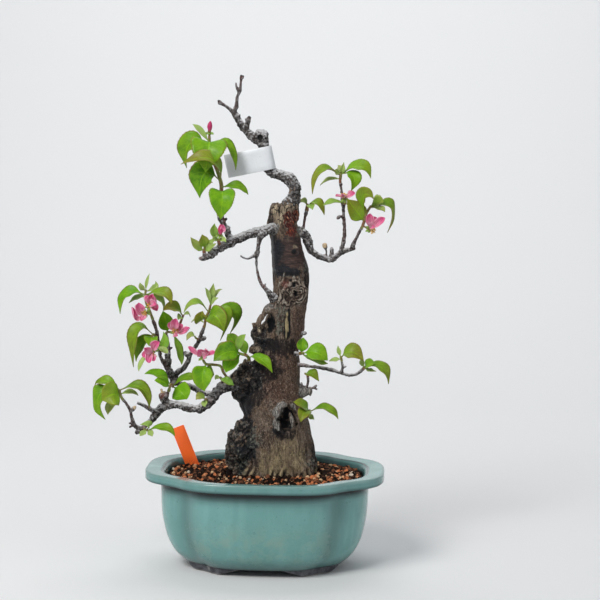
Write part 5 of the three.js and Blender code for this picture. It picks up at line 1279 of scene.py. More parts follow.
LIMBS = {name: rows_of(stations) for name, (stations,) in table_of("""
leader: 22 2 366 9, 23.5 2 380.5 8.4, 26.5 0 387 6.8, 27 0 399.5 6.3, 22.5 0 405.5 6.3, 0.5 0 415 4.7, -8 0 445 5.2,
  -15.5 1 448 4.7, -34 -1 470.5 3.1, -37 -2 476 2.6
leader_tip: -36 -2 474 2.6, -33 -3 483 1.8, -32.5 -4 490 1.7, -29.5 -5 497 1.6, -29 -6 507.5 1.3, -28.5 -6 512.5 1.1
leader_tip_bud: -29 -6 508 1.2, -26.8 -6.3 510.2 1.5, -26 -6.4 512 0.8
leader_tip_spur: -31 -5 494 1.4, -33.2 -5.5 500 1.2, -34 -6 504.5 0.9
leader_twig: -36 -2 474 2.6, -45.5 -6 481.5 1.4, -50.5 -8 484.5 2.1, -51.5 -8.5 486.5 1.2
leader_spur: -24 1 457 2.6, -20.5 -2 468 2.3, -20 -2 470 1.4
long_left: 14 -6 354 7, 1 -14 355.5 4.9, -17 -18 350.5 4.5, -48 -25 336 4.4, -57 -28 328.5 3.7, -65 -29.7 325.2 2.2,
  -68 -30.4 326 1.4
long_left_spur: -62 -29 325.5 2.5, -62.8 -29.8 331.4 2.1
fork_spur: -47 -25.5 336.5 3, -47.5 -28.6 340.4 2.1
crown_shoot: -36 -22 342 4.4, -40.5 -22 353.5 3.2, -44.5 -22 361.5 2.9, -48 -22 368.5 3.2
crown_shoot_nub: -44.6 -22 361.5 1.8, -41 -22 366.4 1.3
hanging: 12 -6 357 7, 3.5 -16 356 4.8, -3.5 -20 351.5 4.8, -6.5 -21 346.5 2.9, -8.5 -22 334.5 2.1, -9.5 -21 330 2.6,
  -10 -21 327 1.8, -7.5 -17 305 1.6, -4.5 -16 298 1.8, 2 -16 291.5 2.6, 5 -14 286.5 4.2, 12 -9 280 4.8
hanging_side: -9.5 -21 330 1.9, -19.5 -24 325.5 1.2, -24.5 -26 327.5 1.1, -26 -27 329 1
hanging_spur: -2.5 -16 295 1.4, -0.5 -17 299.5 1
right_arm: 20 2 352 8, 31 4 352.5 5.8, 37.5 6 349.5 5.2, 45.5 8 330.8 3.5, 60 10 323.8 3, 65 10 322.6 3.1,
  77 9 331.5 2.9, 87.5 7 334.6 2, 90.5 6 335.4 1.4
right_arm_knob: 66 10 325 2.1, 66 11 333.5 2.1, 65.8 11.2 335.8 1.3
right_shoot: 76 9 331 2.6, 79 8 346 2.1, 78 4 373 1.7, 77.5 2 381 2.3, 76 0 394 1.4, 74.5 -2 403.2 1.7
right_shoot_spur: 77.5 2 381 1.9, 79 -1.5 382 1.6
right_shoot_bud: 78.3 5 365 1.2, 75.5 4 368.5 1.1, 73.2 2.5 367.8 2, 71.6 2 366 1.1
right_outer_shoot: 87 7 334.5 2.2, 89 3 340.5 2.5, 91.5 0 345.5 1.7, 94.5 -6 352.5 1.6, 97 -10 357.4 1.9
dried_bud: 61 10 322.8 1.5, 60.5 8.4 332 1.05, 59.2 6.4 336.6 2.3, 58.7 5.8 339.6 2.7
inner_right: 32 6 349 4, 36.2 12.4 356 1.6, 37.5 16 365.5 1.6, 39 18 372.5 2.2
low_right: 24 -4 215 3.2, 33.5 -8 214.5 2.1, 67 -15 211 1.9, 88.5 -18 206 1.7, 93.5 -18 206.8 1.8, 98.5 -18 210 1.7,
  101 -18 212.5 1.8
low_right_up: 79 -17 207.5 1.7, 80 -18 215.5 1.4, 79.2 -18 220 1.4
low_right_nub: 79.8 -18 213.5 1.3, 83.8 -20 215.4 1
stub_right: 24 -6 184 8.5, 31.5 -4 185 6.8, 38.5 -3 185.5 6.2, 45 -2 185.8 5.2
stub_right_up: 42 -3 187 1.8, 44 -5 196 1.5, 43.8 -7.6 201.6 1.5
stub_right_twig: 42 -3 187.5 1.8, 49 -1 189 1.25, 53 0 191.8 1.3
stub_right_fork: 48.5 -1 189 1.1, 53.4 1 187.4 1
stub_right_left: 38 -5 188 1.7, 37.2 -8.4 195.4 1.2
green_bud_spur: 30 -4 246 2, 36 -6 247.5 1.6, 39.6 -6 247.2 2.4, 41.6 -6 247.6 1.4
trunk_right_spur: 26 -9 225.5 3, 35 -14 227 2.1
base_right_spur: 32 -9 156 3.2, 43 -16 161 2
lower_left: -12 -5 202 13, -27 -8 197 10.5, -38 -12 193 7.4, -47 -16 188.5 5.8, -59 -22 173.5 5,
  -66.5 -22 168.8 4.2, -101 -15 170.5 4.2, -110 -14 165.5 4.5, -115 -14 159 4.2, -119 -14 153 3.4,
  -121 -14.2 150 2.6
lower_left_end: -118 -14 154 3, -124.5 -15 148 2.3, -133 -17 141.4 2.6, -134.5 -17.3 139.4 1.6
limb_low_spur: -125.8 -15 147 1.9, -125.6 -19 145.2 1.6
lower_fork: -109 -14 163 3.6, -119 -18 165.2 2.3, -125 -20 169.5 1.9, -132.6 -22 172.8 1.5
far_left: -128.5 -16 145.2 2.2, -134.5 -19 147 2.1, -137 -22 152.5 1.9, -139.5 -27 166 1.7, -142.5 -29 172.5 1.6,
  -146 -31 177.4 1.7
far_left_barb: -135.5 -20 149.5 1.6, -141 -21 146.6 1.1
far_left_barb_up: -136 -20.5 150 1.5, -141.2 -22 151.4 1
far_left_dried: -138.6 -26.6 164.6 1.6, -135.6 -28.6 168 2.1, -133 -30 170.6 1.1
second_limb: -20 2 196 9, -34 5 192 5.6, -43 8 186.5 4.2, -51 12 180.5 3.7, -60.5 16 177 3.4, -72 20 179.5 3.1,
  -82.5 22 184 2.9, -92 20 186.5 3.2, -99.5 16 190.5 4
sawn_knob: -99 -15 168 4.2, -102.5 -15.6 173 3.6, -105.5 -17 177.5 4.8, -106.8 -17 182.4 4.6
sawn_knob_spur: -107 -17.5 180 1.6, -108 -18 187.5 1.3
limb_top_spur: -103 -17 178.5 2.3, -100.6 -18 184.8 1.8
first_upright: -98 17 188 3.6, -105 14 204.5 3.9, -105 12 216.5 3.3, -105 13 224 2.6, -106 15 232 2.1,
  -107.5 17 239 1.7
far_upright: -105 14 201.5 2.3, -112 7 217 1.8, -115 0 242.5 2, -116.8 -2 251 2, -119 -4 258.2 1.7
far_upright_spur: -114.4 1 236 1.8, -115.8 -3.2 239.4 1.5
upright_barb: -105.4 13 223 1.3, -100.8 14.2 226.8 1
second_upright: -97.5 17 190 3.4, -97.6 17 196.5 3, -88 11 205.5 2.6, -83 7 213.5 2.5, -80.5 4 220.5 2.3,
  -71.5 -4 235 2.1, -67 -8 246.5 2, -65 -9 251.5 1.9
second_upright_bud: -80 3.5 219.5 2.2, -84.4 5 221 3.2, -87 5.6 222.6 2.2
second_upright_knot: -69.8 -5.4 238.4 2.1, -65.4 -6.2 239.5 2.7, -63.2 -6.5 240 1.6
left_mid_spur: -70 -5 238 1.9, -71 -8.4 238.9 1.5
limb_mid_spur: -99 15 189.6 2.4, -99.5 9 187.8 1.8
limb_base_spur: -57.6 -21 174.6 3, -59 -26.8 177.6 1.8
flower_spur: -37 -12 194 3.4, -40 -19 201.4 1.8
burl_base_spur: -42 -14 191.6 3, -44.6 -19.4 198.6 1.6
sawn_stub: -19 -10 203 6, -21 -15.4 217 4.7
burl_shoot_spur: -17.6 -12 210 3, -17 -18.4 219.4 2
pale_stub: 6 -4 225 7, -4 -10 227 4.4, -10 -13.4 229 4.7, -14.4 -16 230.6 5.2
burl_snag: -5 -12 251 3.2, -13.5 -16 257.5 2.2, -14.6 -16.4 258.6 1.2
ridge: 12 -9 282 5.4, 4.4 -12.6 273.5 3.6, -3.6 -15.4 265.5 3.2, -7.2 -16.4 257 3.4, -7 -16 249 4.2, 0 -13 241 6
""").items()}


# Trunk

# Height, left, right, front and back of each section, from the chopped top to the buried base
TRUNK_ROWS = np.array(rows_of("""
380 2 31.5 -12 14, 357 0 30.5 -15 17, 348 2.3 33.4 -16 17, 333 3.5 36.7 -16.5 17.5, 313 5 43 -18 18,
291 6.5 43 -19 19, 272 4 41 -19.5 19.5, 264 0 39.7 -20 20, 244 -9 37.6 -22 22, 233 -10 34 -22 22,
212 -14 35 -24 24, 190 -20 35 -26 26, 179 -27 37.2 -27 28, 170 -28 41 -29 29, 159 -23 43.6 -30 30,
141 -34.5 48 -32 32, 131 -39.5 50.2 -33 33, 120 -40 52 -34 34, 102 -39.5 55.3 -36 36, 95 -38 54 -36 36,
87 -33 49 -32 32, 75 -24 40 -25 25, 62 -14 30 -16 16
"""))[::-1]
TRUNK_TOP = 380

Lump = namedtuple("Lump", "centre radii rough")
BURLS = (
    Lump((-7.5, -13, 246), (8.2, 8.4, 9.6), 1.3), Lump((-18, -10, 200), (18, 15.5, 15.5), 1.6),
    Lump((-25.5, -10, 183), (10.5, 10, 9), 1.1), Lump((-22, -12, 206), (9, 10.5, 10), 1.2),
    Lump((-24, -13, 124), (18, 19, 24), 1.7), Lump((-20, -13, 147), (12, 12, 11), 1.4),
    Lump((-7, -15, 231), (7.5, 7, 6), 0.9),
)
SWELLINGS = (
    Lump((29, -15, 292.5), (13.5, 7.5, 15.5), 0.5), Lump((28.5, -14, 333.5), (5.4, 4.6, 5.6), 0.4),
    Lump((38, -14, 108), (15, 17, 12), 0.8), Lump((13, -15.5, 264), (6, 7.5, 21), 0.5),
    Lump((5, -13, 273), (8, 8, 5), 0.5),
)
LEADER_KNOB = Lump((-7.6, -1, 449.4), (7.6, 6.6, 7.6), 0.5)
Hollow = namedtuple("Hollow", "centre radii")
HEALED_HOLLOW = Hollow((24.5, -30.5, 160), (9.6, 12, 13.4))
SIDE_HOLLOW = Hollow((4.2, -22, 258), (5, 12, 10.5))
LEADER_HOLLOW = Hollow((-8.6, -9, 448.6), (3, 5, 3.4))
SHARD = ((25.5, -25, 169, 1.2), (28, -28, 163, 2.1), (29.5, -28.5, 156, 2.3), (30, -26, 150, 1.6))
WHORL = (29, -22, 293)

# Where the bark has its own look, or painted shade in the wet, dim and black patches: x, y, z, reach along each and
# how ragged its border is
PATCHES = {name: rows_of(patches) for name, (patches,) in table_of("""
pale: 14 -6 371 11.5 20 12.5 0.6, 22 -6 379 9 20 5 0.5, -6 -17 252 4 6 5 0.5, -8 -18 231.5 6 9 5 0.6,
  -21 -16 218 4.4 6 3 0.4, 31 -17 338.5 3.8 5 2 0.9, 45.5 -2 185.8 2 5 5 0.3
rotten: 28 -10 369 5 14 6.5 0.7, 23.5 -12 362 7 12 8 0.7, 25 -10 354 6.5 14 6.5 0.7, 20.5 -10 369.5 6 14 5 0.8
wet: 7 -14 332 15 16 28 0.5, 4 -22 236 13 18 8 0.6, -12 -33 136 7 14 28 0.7, -21 -32 120 9 12 18 0.9,
  -22 -18 172 13 18 18 0.5, 17 -34 147 9 9 8 0.6, 4 -14 305 6 12 12 0.5, 13 -17 313 16 14 8 0.6,
  27 -18 311 13 12 5.5 0.7
dim: 33.6 -8 366 4 16 16 0.6, 17 -21 234 21 18 11 0.6, 22.2 -20 256 3.9 9 17 0.3, 0 -22 212 19 18 18 0.7,
  53 -12 122 6 26 32 0.7, 24 -33 145 14 12 7 0.7, 42 0 300 5 20 26 0.6, 3 -10 366 4 14 15 0.6,
  -10 -20 185 12 14 16 0.8
sleek: 20 -2 329 30 30 26 0.35
black: 29 -22 299 2.2 6 2.6 0.5, 31 -22 290 2.2 6 3.2 0.5, 25.5 -22 304 2 6 1.6 0.5, 28.5 -18 333 3.2 4 3 0.6,
  7 -17 259 3.6 12 11 0.6, 24 -20 258 2.3 9 19 0.5, 20.4 -20 252 1.4 9 9 0.5
ashen: 17 -34 169 10 12 11 0.8, 30 -34 173 6 12 5 0.8, 13.5 -33 158 4 12 9 0.7, 4 -14 274 9 9 5 0.6,
  40 -4 186 9 9 8 0.5, 28.5 -27 158 3.2 5 9 0.3, 8 -14 356 6 12 7 0.5, 36 0 353 6 12 7 0.5
whorled: 26.5 -20 292 19.5 14 18 0.5
blush: 20 -20 300 5.6 8 6.5 0.7
flaky: 16 -22 205 26 22 38 0.5, 10 20 215 36 22 64 0.7, 34 -6 250 12 20 40 0.7
mossy: 42.6 -10 317 6 10 8 0.5, -24 -28 112 12 14 14 0.9, -10 -28 140 8 12 12 0.9, 48 -16 110 8 16 12 0.9,
  10 30 130 40 14 40 0.9, 14 -20 257 6 10 11 0.8, 15 -20 271 7 10 9 0.8
striped: 26 -32 122 27 24 30 0.5, 4 -32 112 14 18 20 0.6, 6 26 120 46 22 40 0.6, 40 10 116 18 30 26 0.5
gnarly:
toothed: 22.2 -20 255 2.1 9 15 0.5
folded:
""").items()}
LOOKS = tuple(PATCHES)
TOOTH_WIDTH = 7.6
FIRST_GRAIN = 1.1
# How many stations of each branch the trunk's skin takes in
LIMB_STARTS = {"leader": 3, "long_left": 1.6, "hanging": 1.4, "right_arm": 1.5, "low_right": 1,
               "green_bud_spur": 0.8, "trunk_right_spur": 0.8, "base_right_spur": 0.8, "lower_left": 1.7,
               "second_limb": 1}
# Stubs that are part of the trunk's skin from end to end
TRUNK_STUBS = ("stub_right", "sawn_stub", "pale_stub", "burl_snag", "ridge")


def flute(turn, height):
    """Long flutes of the trunk, spread into root ridges at the base."""
    slow = height / 60
    roots = smooth(150 - height, 0, 60)
    return (1 + 0.035 * np.cos(3 * turn + slow) + 0.03 * np.cos(5 * turn - 1.3 * slow)
            + 0.045 * roots * np.cos(8 * turn + 0.6))


def trunk_form(sides=96, step=1.6):
    """The trunk's smooth skin through its rows, with a low dome over the chopped top."""
    heights = np.arange(TRUNK_ROWS[0, 0], TRUNK_TOP + 0.1, step)
    rows = through(TRUNK_ROWS[:, 0], TRUNK_ROWS[:, 1:], heights)
    dome = ((0.93, TRUNK_TOP + 0.9), (0.7, TRUNK_TOP + 1.3), (0.4, TRUNK_TOP + 0.6))
    turns = circle(sides)
    rings = []
    for (left, right, front, back), height, share in (
            [(row, height, 1) for row, height in zip(rows, heights)]
            + [(rows[-1], height, share) for share, height in dome]):
        swell = flute(turns, height)
        depth = np.where(np.sin(turns) < 0, -front, back)
        sideways = 1 + (swell - 1) * np.abs(np.sin(turns))
        x = (left + right) / 2 + share * (right - left) / 2 * sideways * np.cos(turns)
        y = share * depth * swell * np.sin(turns)
        rings.append(np.stack([x, y, np.full(sides, height)], axis=1))
    return closed_rings(rings)


def lump_form(lump, seed, level=4):
    points, faces = ball(level)
    knobs = 1 + 0.17 * layered(points * 1.5, 1, seed, 3)
    return points * knobs[:, None] * lump.radii + lump.centre, faces


def lip_form():
    """The bark rolled in round the healed hollow."""
    points = []
    rows, sides = 72, 16
    across, up = HEALED_HOLLOW.radii[0] + 2.8, HEALED_HOLLOW.radii[2] + 2.6
    for turn in circle(rows):
        for bend in circle(sides):
            thick = 0.27 * (1 + 0.5 * math.cos(turn - 2.3) + 0.16 * math.sin(3 * turn + 0.7)
                            + 0.1 * math.sin(7 * turn))
            out = 1 + thick * math.cos(bend)
            points.append((out * across * math.cos(turn), -11 * thick * math.sin(bend),
                           out * up * math.sin(turn)))
    points = turned(points, 14, 0, 1) + np.add(HEALED_HOLLOW.centre, (0, 3.4, 0))
    return points, joined_faces(rows, sides)


def hollowed(points, hollow):
    """Pushes the front of the wood back to the far wall of a hollow."""
    cx, cy, cz = hollow.centre
    rx, ry, rz = hollow.radii
    away = ((points[:, 0] - cx) / rx) ** 2 + ((points[:, 2] - cz) / rz) ** 2
    away = away * (1 + 0.55 * layered(points * (1, 0, 1), 5, 131, 2))
    floor = cy + ry * np.sqrt(np.clip(1 - away, 0, 1))
    inside = (away < 1) & (points[:, 1] < floor) & (points[:, 1] > cy - 3 * ry)
    points[inside, 1] = floor[inside]
    return points


def closeness(points, centre, reach):
    """1 in the middle of a patch, 0 at its border and negative outside it."""
    return 1 - np.linalg.norm((points - centre) / reach, axis=1)


def show(looks, name, share):
    """Makes a look of the bark show at least this much."""
    looks[name] = np.maximum(looks[name], share)


def bark_looks(points):
    """How much each look of the bark shows at each point."""
    ragged = layered(points, (3.2, 3.2, 6), 61, 3)
    looks = {}
    for name, patches in PATCHES.items():
        looks[name] = np.zeros(len(points))
        for *patch, rough in patches:
            near = closeness(points, patch[:3], patch[3:]) + 0.45 * rough * ragged
            soft = 0.6 if name in ("striped", "blush") or name == "wet" and patch[5] > 20 else 0.22
            show(looks, name, smooth(near, 0, soft))
    for burl in BURLS:
        near = closeness(points, burl.centre, np.multiply(burl.radii, 1.3)) + 0.2 * ragged
        show(looks, "gnarly", smooth(near, 0, 0.16))
    looks["gnarly"] = looks["gnarly"] * (1 - 0.9 * looks["pale"])
    return looks


def bark_relief(points, looks):
    """How far the bark stands out from the smooth skin, in millimetres; also notes the root teeth."""
    x, y, z = points.T
    low = smooth(z, 150, 112)
    calm = (1 - 0.85 * looks["sleek"]) * (1 - 0.6 * looks["gnarly"]) * (1 - 0.4 * looks["flaky"])
    twist = points.copy()
    twist[:, 0] += 0.12 * (z - 200)
    strand = layered(twist, (4.6, 4.6, 36), 11, 3)
    split = np.abs(drift(twist, (5.5, 5.5, 44), 15))
    fine = layered(twist, (2, 2, 8), 21, 2)
    relief = calm * (0.8 * strand + 0.45 * fine - (0.8 + 0.5 * low) * (1 - smooth(split, 0, 0.13)))
    relief += looks["sleek"] * 0.32 * layered(points, (13, 13, 2.8), 23, 2)
    gap = np.abs(drift(points, (8.5, 8.5, 60), 27))
    relief += low * (1.6 * layered(points, (10, 10, 50), 25, 3) - 1.1 * (1 - smooth(gap, 0, 0.16)))
    round_trunk = 42 * np.arctan2(y, x - 8) + 4.5 * drift(points, 16, 29)
    tooth = np.cos(2 * np.pi * round_trunk / TOOTH_WIDTH)
    at_base = smooth(z + 4.5 * drift(points * (1, 1, 0), 7, 35), 110, 103) * (1 - looks["gnarly"])
    at_base = at_base * smooth(drift(points * (1, 1, 0), 15, 33), -0.15, 0.35)
    relief += (at_base * 1.2 * tooth
               - 1.1 * looks["black"] * smooth(z, 235, 240) * smooth(x, 16, 18) * smooth(z, 276, 272))
    show(looks, "toothed", at_base * smooth(tooth, -0.1, 0.6))
    # Painted shade: black in the gaps between the root teeth.
    show(looks, "black", 0.9 * at_base * smooth(tooth, -0.35, -0.85))
    looks["black"] = looks["black"] * (1 - looks["toothed"])
    near, following, value = scattered(points, (3, 3, 5.2), 31)
    relief += looks["flaky"] * (0.55 * (value - 0.5) - 0.4 * (1 - smooth(following - near, 0, 0.16)))
    for number, burl in enumerate(BURLS):
        on = smooth(closeness(points, burl.centre, np.multiply(burl.radii, 1.35)), 0, 0.2)
        warped = points + 2.2 * layered(points, 6, 57, 2)[:, None]
        near, following, value = scattered(warped, 8.4, 35 + 4 * number)
        chunk = 1.2 * (value - 0.5) - 0.9 * (1 - smooth(following - near, 0, 0.22))
        crease = 1 - smooth(np.abs(layered(points, 6.5, 59 + number, 2)), 0, 0.14)
        relief += on * burl.rough * (chunk - 0.7 * crease + 0.45 * layered(points, 3, 55, 2))
    away = np.linalg.norm((points - WHORL) / (1, 1.3, 1.2), axis=1)
    wander = 0.75 * away + (3.6 + 3.4 * smooth(away, 14, 5)) * layered(points, 10, 71, 3)
    folds = 0.5 + 0.5 * np.cos(2 * np.pi * wander / 4)
    whorl = smooth(y, -4, -10) * looks["whorled"]
    looks["folded"] = folds * smooth(drift(points, 5, 77), -0.6, 0.1)
    relief = relief * (1 - 0.6 * whorl) + whorl * (1.9 * folds - 1 - 2 * looks["black"])
    near, following, value = scattered(points, (5.5, 5.5, 12), 75)
    crack = 1 - smooth(following - near, 0, 0.16)
    relief += np.maximum(looks["pale"], smooth(z, 358, 368)) * (1.6 * (value - 0.5) - 1.4 * crack)
    relief -= 0.8 * smooth(np.abs(z - 310 - 1.5 * np.sin(x / 5)), 2.4, 0.3) * smooth(y, 4, -4)
    return relief


def trunk_limbs():
    """The thick starts of the branches, and the stubs that are part of the trunk itself."""
    for name in TRUNK_STUBS:
        yield curve_through(LIMBS[name], 1.5)
    for name, reach in LIMB_STARTS.items():
        stations = np.array(LIMBS[name], float)
        last = int(reach)
        share = reach - last
        end = stations[last] + share * (stations[min(last + 1, len(stations) - 1)] - stations[last])
        kept = np.concatenate([stations[:last + 1], [end]]) if share else stations[:last + 1]
        path, radii = curve_through(kept, 1.5)
        yield path, radii * np.linspace(1.22, 0.86, len(radii))


def build_trunk():
    grain = bpy.context.scene.quince_bark.trunk_grain / MM
    wood = Shape()
    wood.add(*trunk_form())
    for number, lump in enumerate(BURLS + SWELLINGS):
        wood.add(*lump_form(lump, 80 + number))
    wood.add(*lip_form())
    for path, radii in trunk_limbs():
        wood.add(*tube(path, radii, 20))
    points, faces = wood.skin(FIRST_GRAIN, 3)
    for hollow in (HEALED_HOLLOW, SIDE_HOLLOW):
        points = hollowed(points, hollow)
    wood = Shape()
    wood.add(points, faces)
    wood.add(*tube(*curve_through(SHARD, 1), 12))
    points, faces = wood.skin(grain, 2)
    looks = bark_looks(points)
    # Painted shade: the insides of the hollows are painted black, broken by a few paler flakes.
    for hollow in (HEALED_HOLLOW, SIDE_HOLLOW):
        inside = closeness(points, np.add(hollow.centre, (0, 3, 0)), np.multiply(hollow.radii, (1.02, 1.3, 1.02)))
        inside = inside + 0.16 * layered(points, 4, 133, 2)
        flakes = 1 - 0.75 * smooth(layered(points, 4.5, 135, 2), 0.3, 0.6)
        show(looks, "black", smooth(inside, 0, 0.2) * flakes)
    # The shard across the healed hollow stays pale
    shard = smooth(closeness(points, (28.5, -28.5, 159), (4, 3.4, 12)), 0, 0.2)
    looks["black"] = looks["black"] * (1 - shard)
    buried = smooth(points[:, 2], 92, 96)
    relief = bark_relief(points, looks) * (0.3 + 0.7 * buried)
    points = points + normals_of(points, faces) * relief[:, None]
    points = relaxed(points, faces, 1, 0.25)
    make_piece("old_trunk", points, faces, [trunk_bark()], ["tree_wood"], None, looks)


# Branches

BRANCH_SEED = 411
# Middle and reach of a tall oval inside the trunk, where knots would be hidden
TRUNK_CORE = ((14, 0, 0), (30, 24, 5000))
# Twigs whose ends are dark
DARK_ENDS = ("leader_spur", "crown_shoot_nub", "second_upright_bud", "leader_tip", "leader_tip_bud", "leader_twig",
             "far_left_barb", "upright_barb", "lower_left_end")
# Where dried buds and cuts are pale: centre and reach
PALE_ENDS = (((58.7, 5.8, 339), 4.5), ((-106.8, -17, 185), 4), ((-133, -30, 170), 3.5))


def branch_knots(random, path, radii):
    """Old leaf scars and knots along a branch: place and radius of each."""
    steps = run_along(path)
    at = random.uniform(2, 6)
    while at < steps[-1] - 1.5:
        index = int(np.searchsorted(steps, at))
        ahead = unit(path[min(index + 1, len(path) - 1)] - path[max(index - 1, 0)])
        aside = unit(np.cross(ahead, random.normal(size=3)))
        radius = radii[index]
        yield path[index] + aside * radius * random.uniform(0.25, 0.55), radius * random.uniform(0.75, 1)
        at += random.uniform(3.2, 7.5) + radius


def build_branches():
    grain = bpy.context.scene.quince_bark.branch_grain / MM
    random = np.random.default_rng(BRANCH_SEED)
    wood = Shape()
    centres, widths = [], []
    knob_points, knob_faces = ball(2)
    for name, stations in LIMBS.items():
        if name in TRUNK_STUBS:
            continue
        path, radii = curve_through(stations, 1.2)
        thick = radii * (1 + 0.1 * layered(path, 5, 91, 2))
        wood.add(*tube(path, np.maximum(thick, 0.85), 12, 0.35))
        centres.append(path)
        widths.append(radii)
        for place, radius in branch_knots(random, path, radii):
            if closeness(place[None], *TRUNK_CORE)[0] < 0:
                wood.add(knob_points * radius + place, knob_faces)
    wood.add(*lump_form(LEADER_KNOB, 95, 3))
    points, faces = wood.skin(grain, 1)
    centres, widths = np.concatenate(centres), np.concatenate(widths)
    width = nearest_value(points, centres, widths)
    points = hollowed(points, LEADER_HOLLOW)
    rough = layered(points, 3, 101, 3) * 0.2 * np.minimum(width, 4.5)
    ripple = drift(points, 1.3, 107) * 0.09 * np.minimum(width, 4)
    points = points + normals_of(points, faces) * (rough + ripple)[:, None]
    young = smooth(width, 2.5, 1.5) * smooth(layered(points, 22, 111, 2), -0.75, 0.1)
    # Painted shade: black inside the leader's hollow; the leader is also darker just above the chopped top.
    centre, reach = np.add(LEADER_HOLLOW.centre, (0, 1, 0)), np.multiply(LEADER_HOLLOW.radii, (1.1, 1.4, 1.1))
    black = np.maximum(smooth(closeness(points, centre, reach), 0, 0.15),
                       0.6 * smooth(closeness(points, (28, -2, 392), (7, 9, 13)), 0, 0.4))
    pale = np.zeros(len(points))
    for centre, reach in PALE_ENDS:
        pale = np.maximum(pale, smooth(closeness(points, centre, reach), 0, 0.3))
    for name in DARK_ENDS:
        end = LIMBS[name][-1]
        black = np.maximum(black, 0.85 * smooth(closeness(points, end[:3], end[3] + 1.6), 0, 0.4))
    masks = {"young": young, "black": black, "pale": pale}
    make_piece("grey_branches", points, faces, [branch_bark()], ["tree_wood"], None, masks)


def nearest_value(points, centres, values):
    """The value of the nearest centre for each point."""
    tree = kdtree.KDTree(len(centres))
    for index, centre in enumerate(centres):
        tree.insert(centre, index)
    tree.balance()
    return values[[tree.find(point)[1] for point in points]]


# Leaves and petals

# Half width at shares of the run, for petals and for wide, middle and small leaves
PETAL_OUTLINE = rows_of("0 0.13, 0.1 0.17, 0.3 0.55, 0.5 0.92, 0.66 1, 0.8 0.93, 0.91 0.7, 0.97 0.42, 1 0.2")
LeafCut = namedtuple("LeafCut", "from_width outline grid teeth stalk")
LEAF_CUTS = (
    LeafCut(15, rows_of("0 0.05, 0.09 0.07, 0.15 0.2, 0.27 0.7, 0.42 1, 0.58 0.97, 0.72 0.82, 0.86 0.46,"
                        "0.95 0.16, 1 0.01"), (36, 11), 0.035, 0.55),
    LeafCut(8, rows_of("0 0.06, 0.08 0.1, 0.18 0.42, 0.3 0.8, 0.46 0.99, 0.62 0.95, 0.78 0.68, 0.92 0.25, 1 0.01"),
            (28, 9), 0.03, 0.55),
    LeafCut(0, rows_of("0 0.1, 0.1 0.2, 0.28 0.74, 0.48 1, 0.66 0.86, 0.85 0.4, 1 0.02"), (18, 7), 0, 0.4),
)
LEAF_WAVE, PETAL_FOLD = 0.11, 14
LEAF_SPREAD = 1.2
SHOOT_SEED, BLOSSOM_SEED = 90, 57
LEAF_MARGIN = 4
SHOOT_GAP = 0.4
LAST_SHARE = 0.97
# Shoots whose leaves are more olive and bronze than the others
OLIVE_SHOOTS = ("base_right", "far_left_end", "right_top", "right_outer", "left_top", "left_tip", "low_right_tip")

Spray = namedtuple("Spray", "twig radii stem leaves calyces")
Blossom = namedtuple("Blossom", "spray calyx bud petals")
Blade = namedtuple("Blade", "root mid tip width turn fold")


def spray_of(stem_on, stem, leaves, calyces):
    twig, *radii = stem_on.split()
    return Spray(twig, [float(radius) for radius in radii], rows_of(stem), rows_of(leaves), rows_of(calyces))


def blossom_of(calyx_on, bud, petals):
    spray, calyx = calyx_on.split()
    return Blossom(spray, int(calyx), rows_of(bud), rows_of(petals))


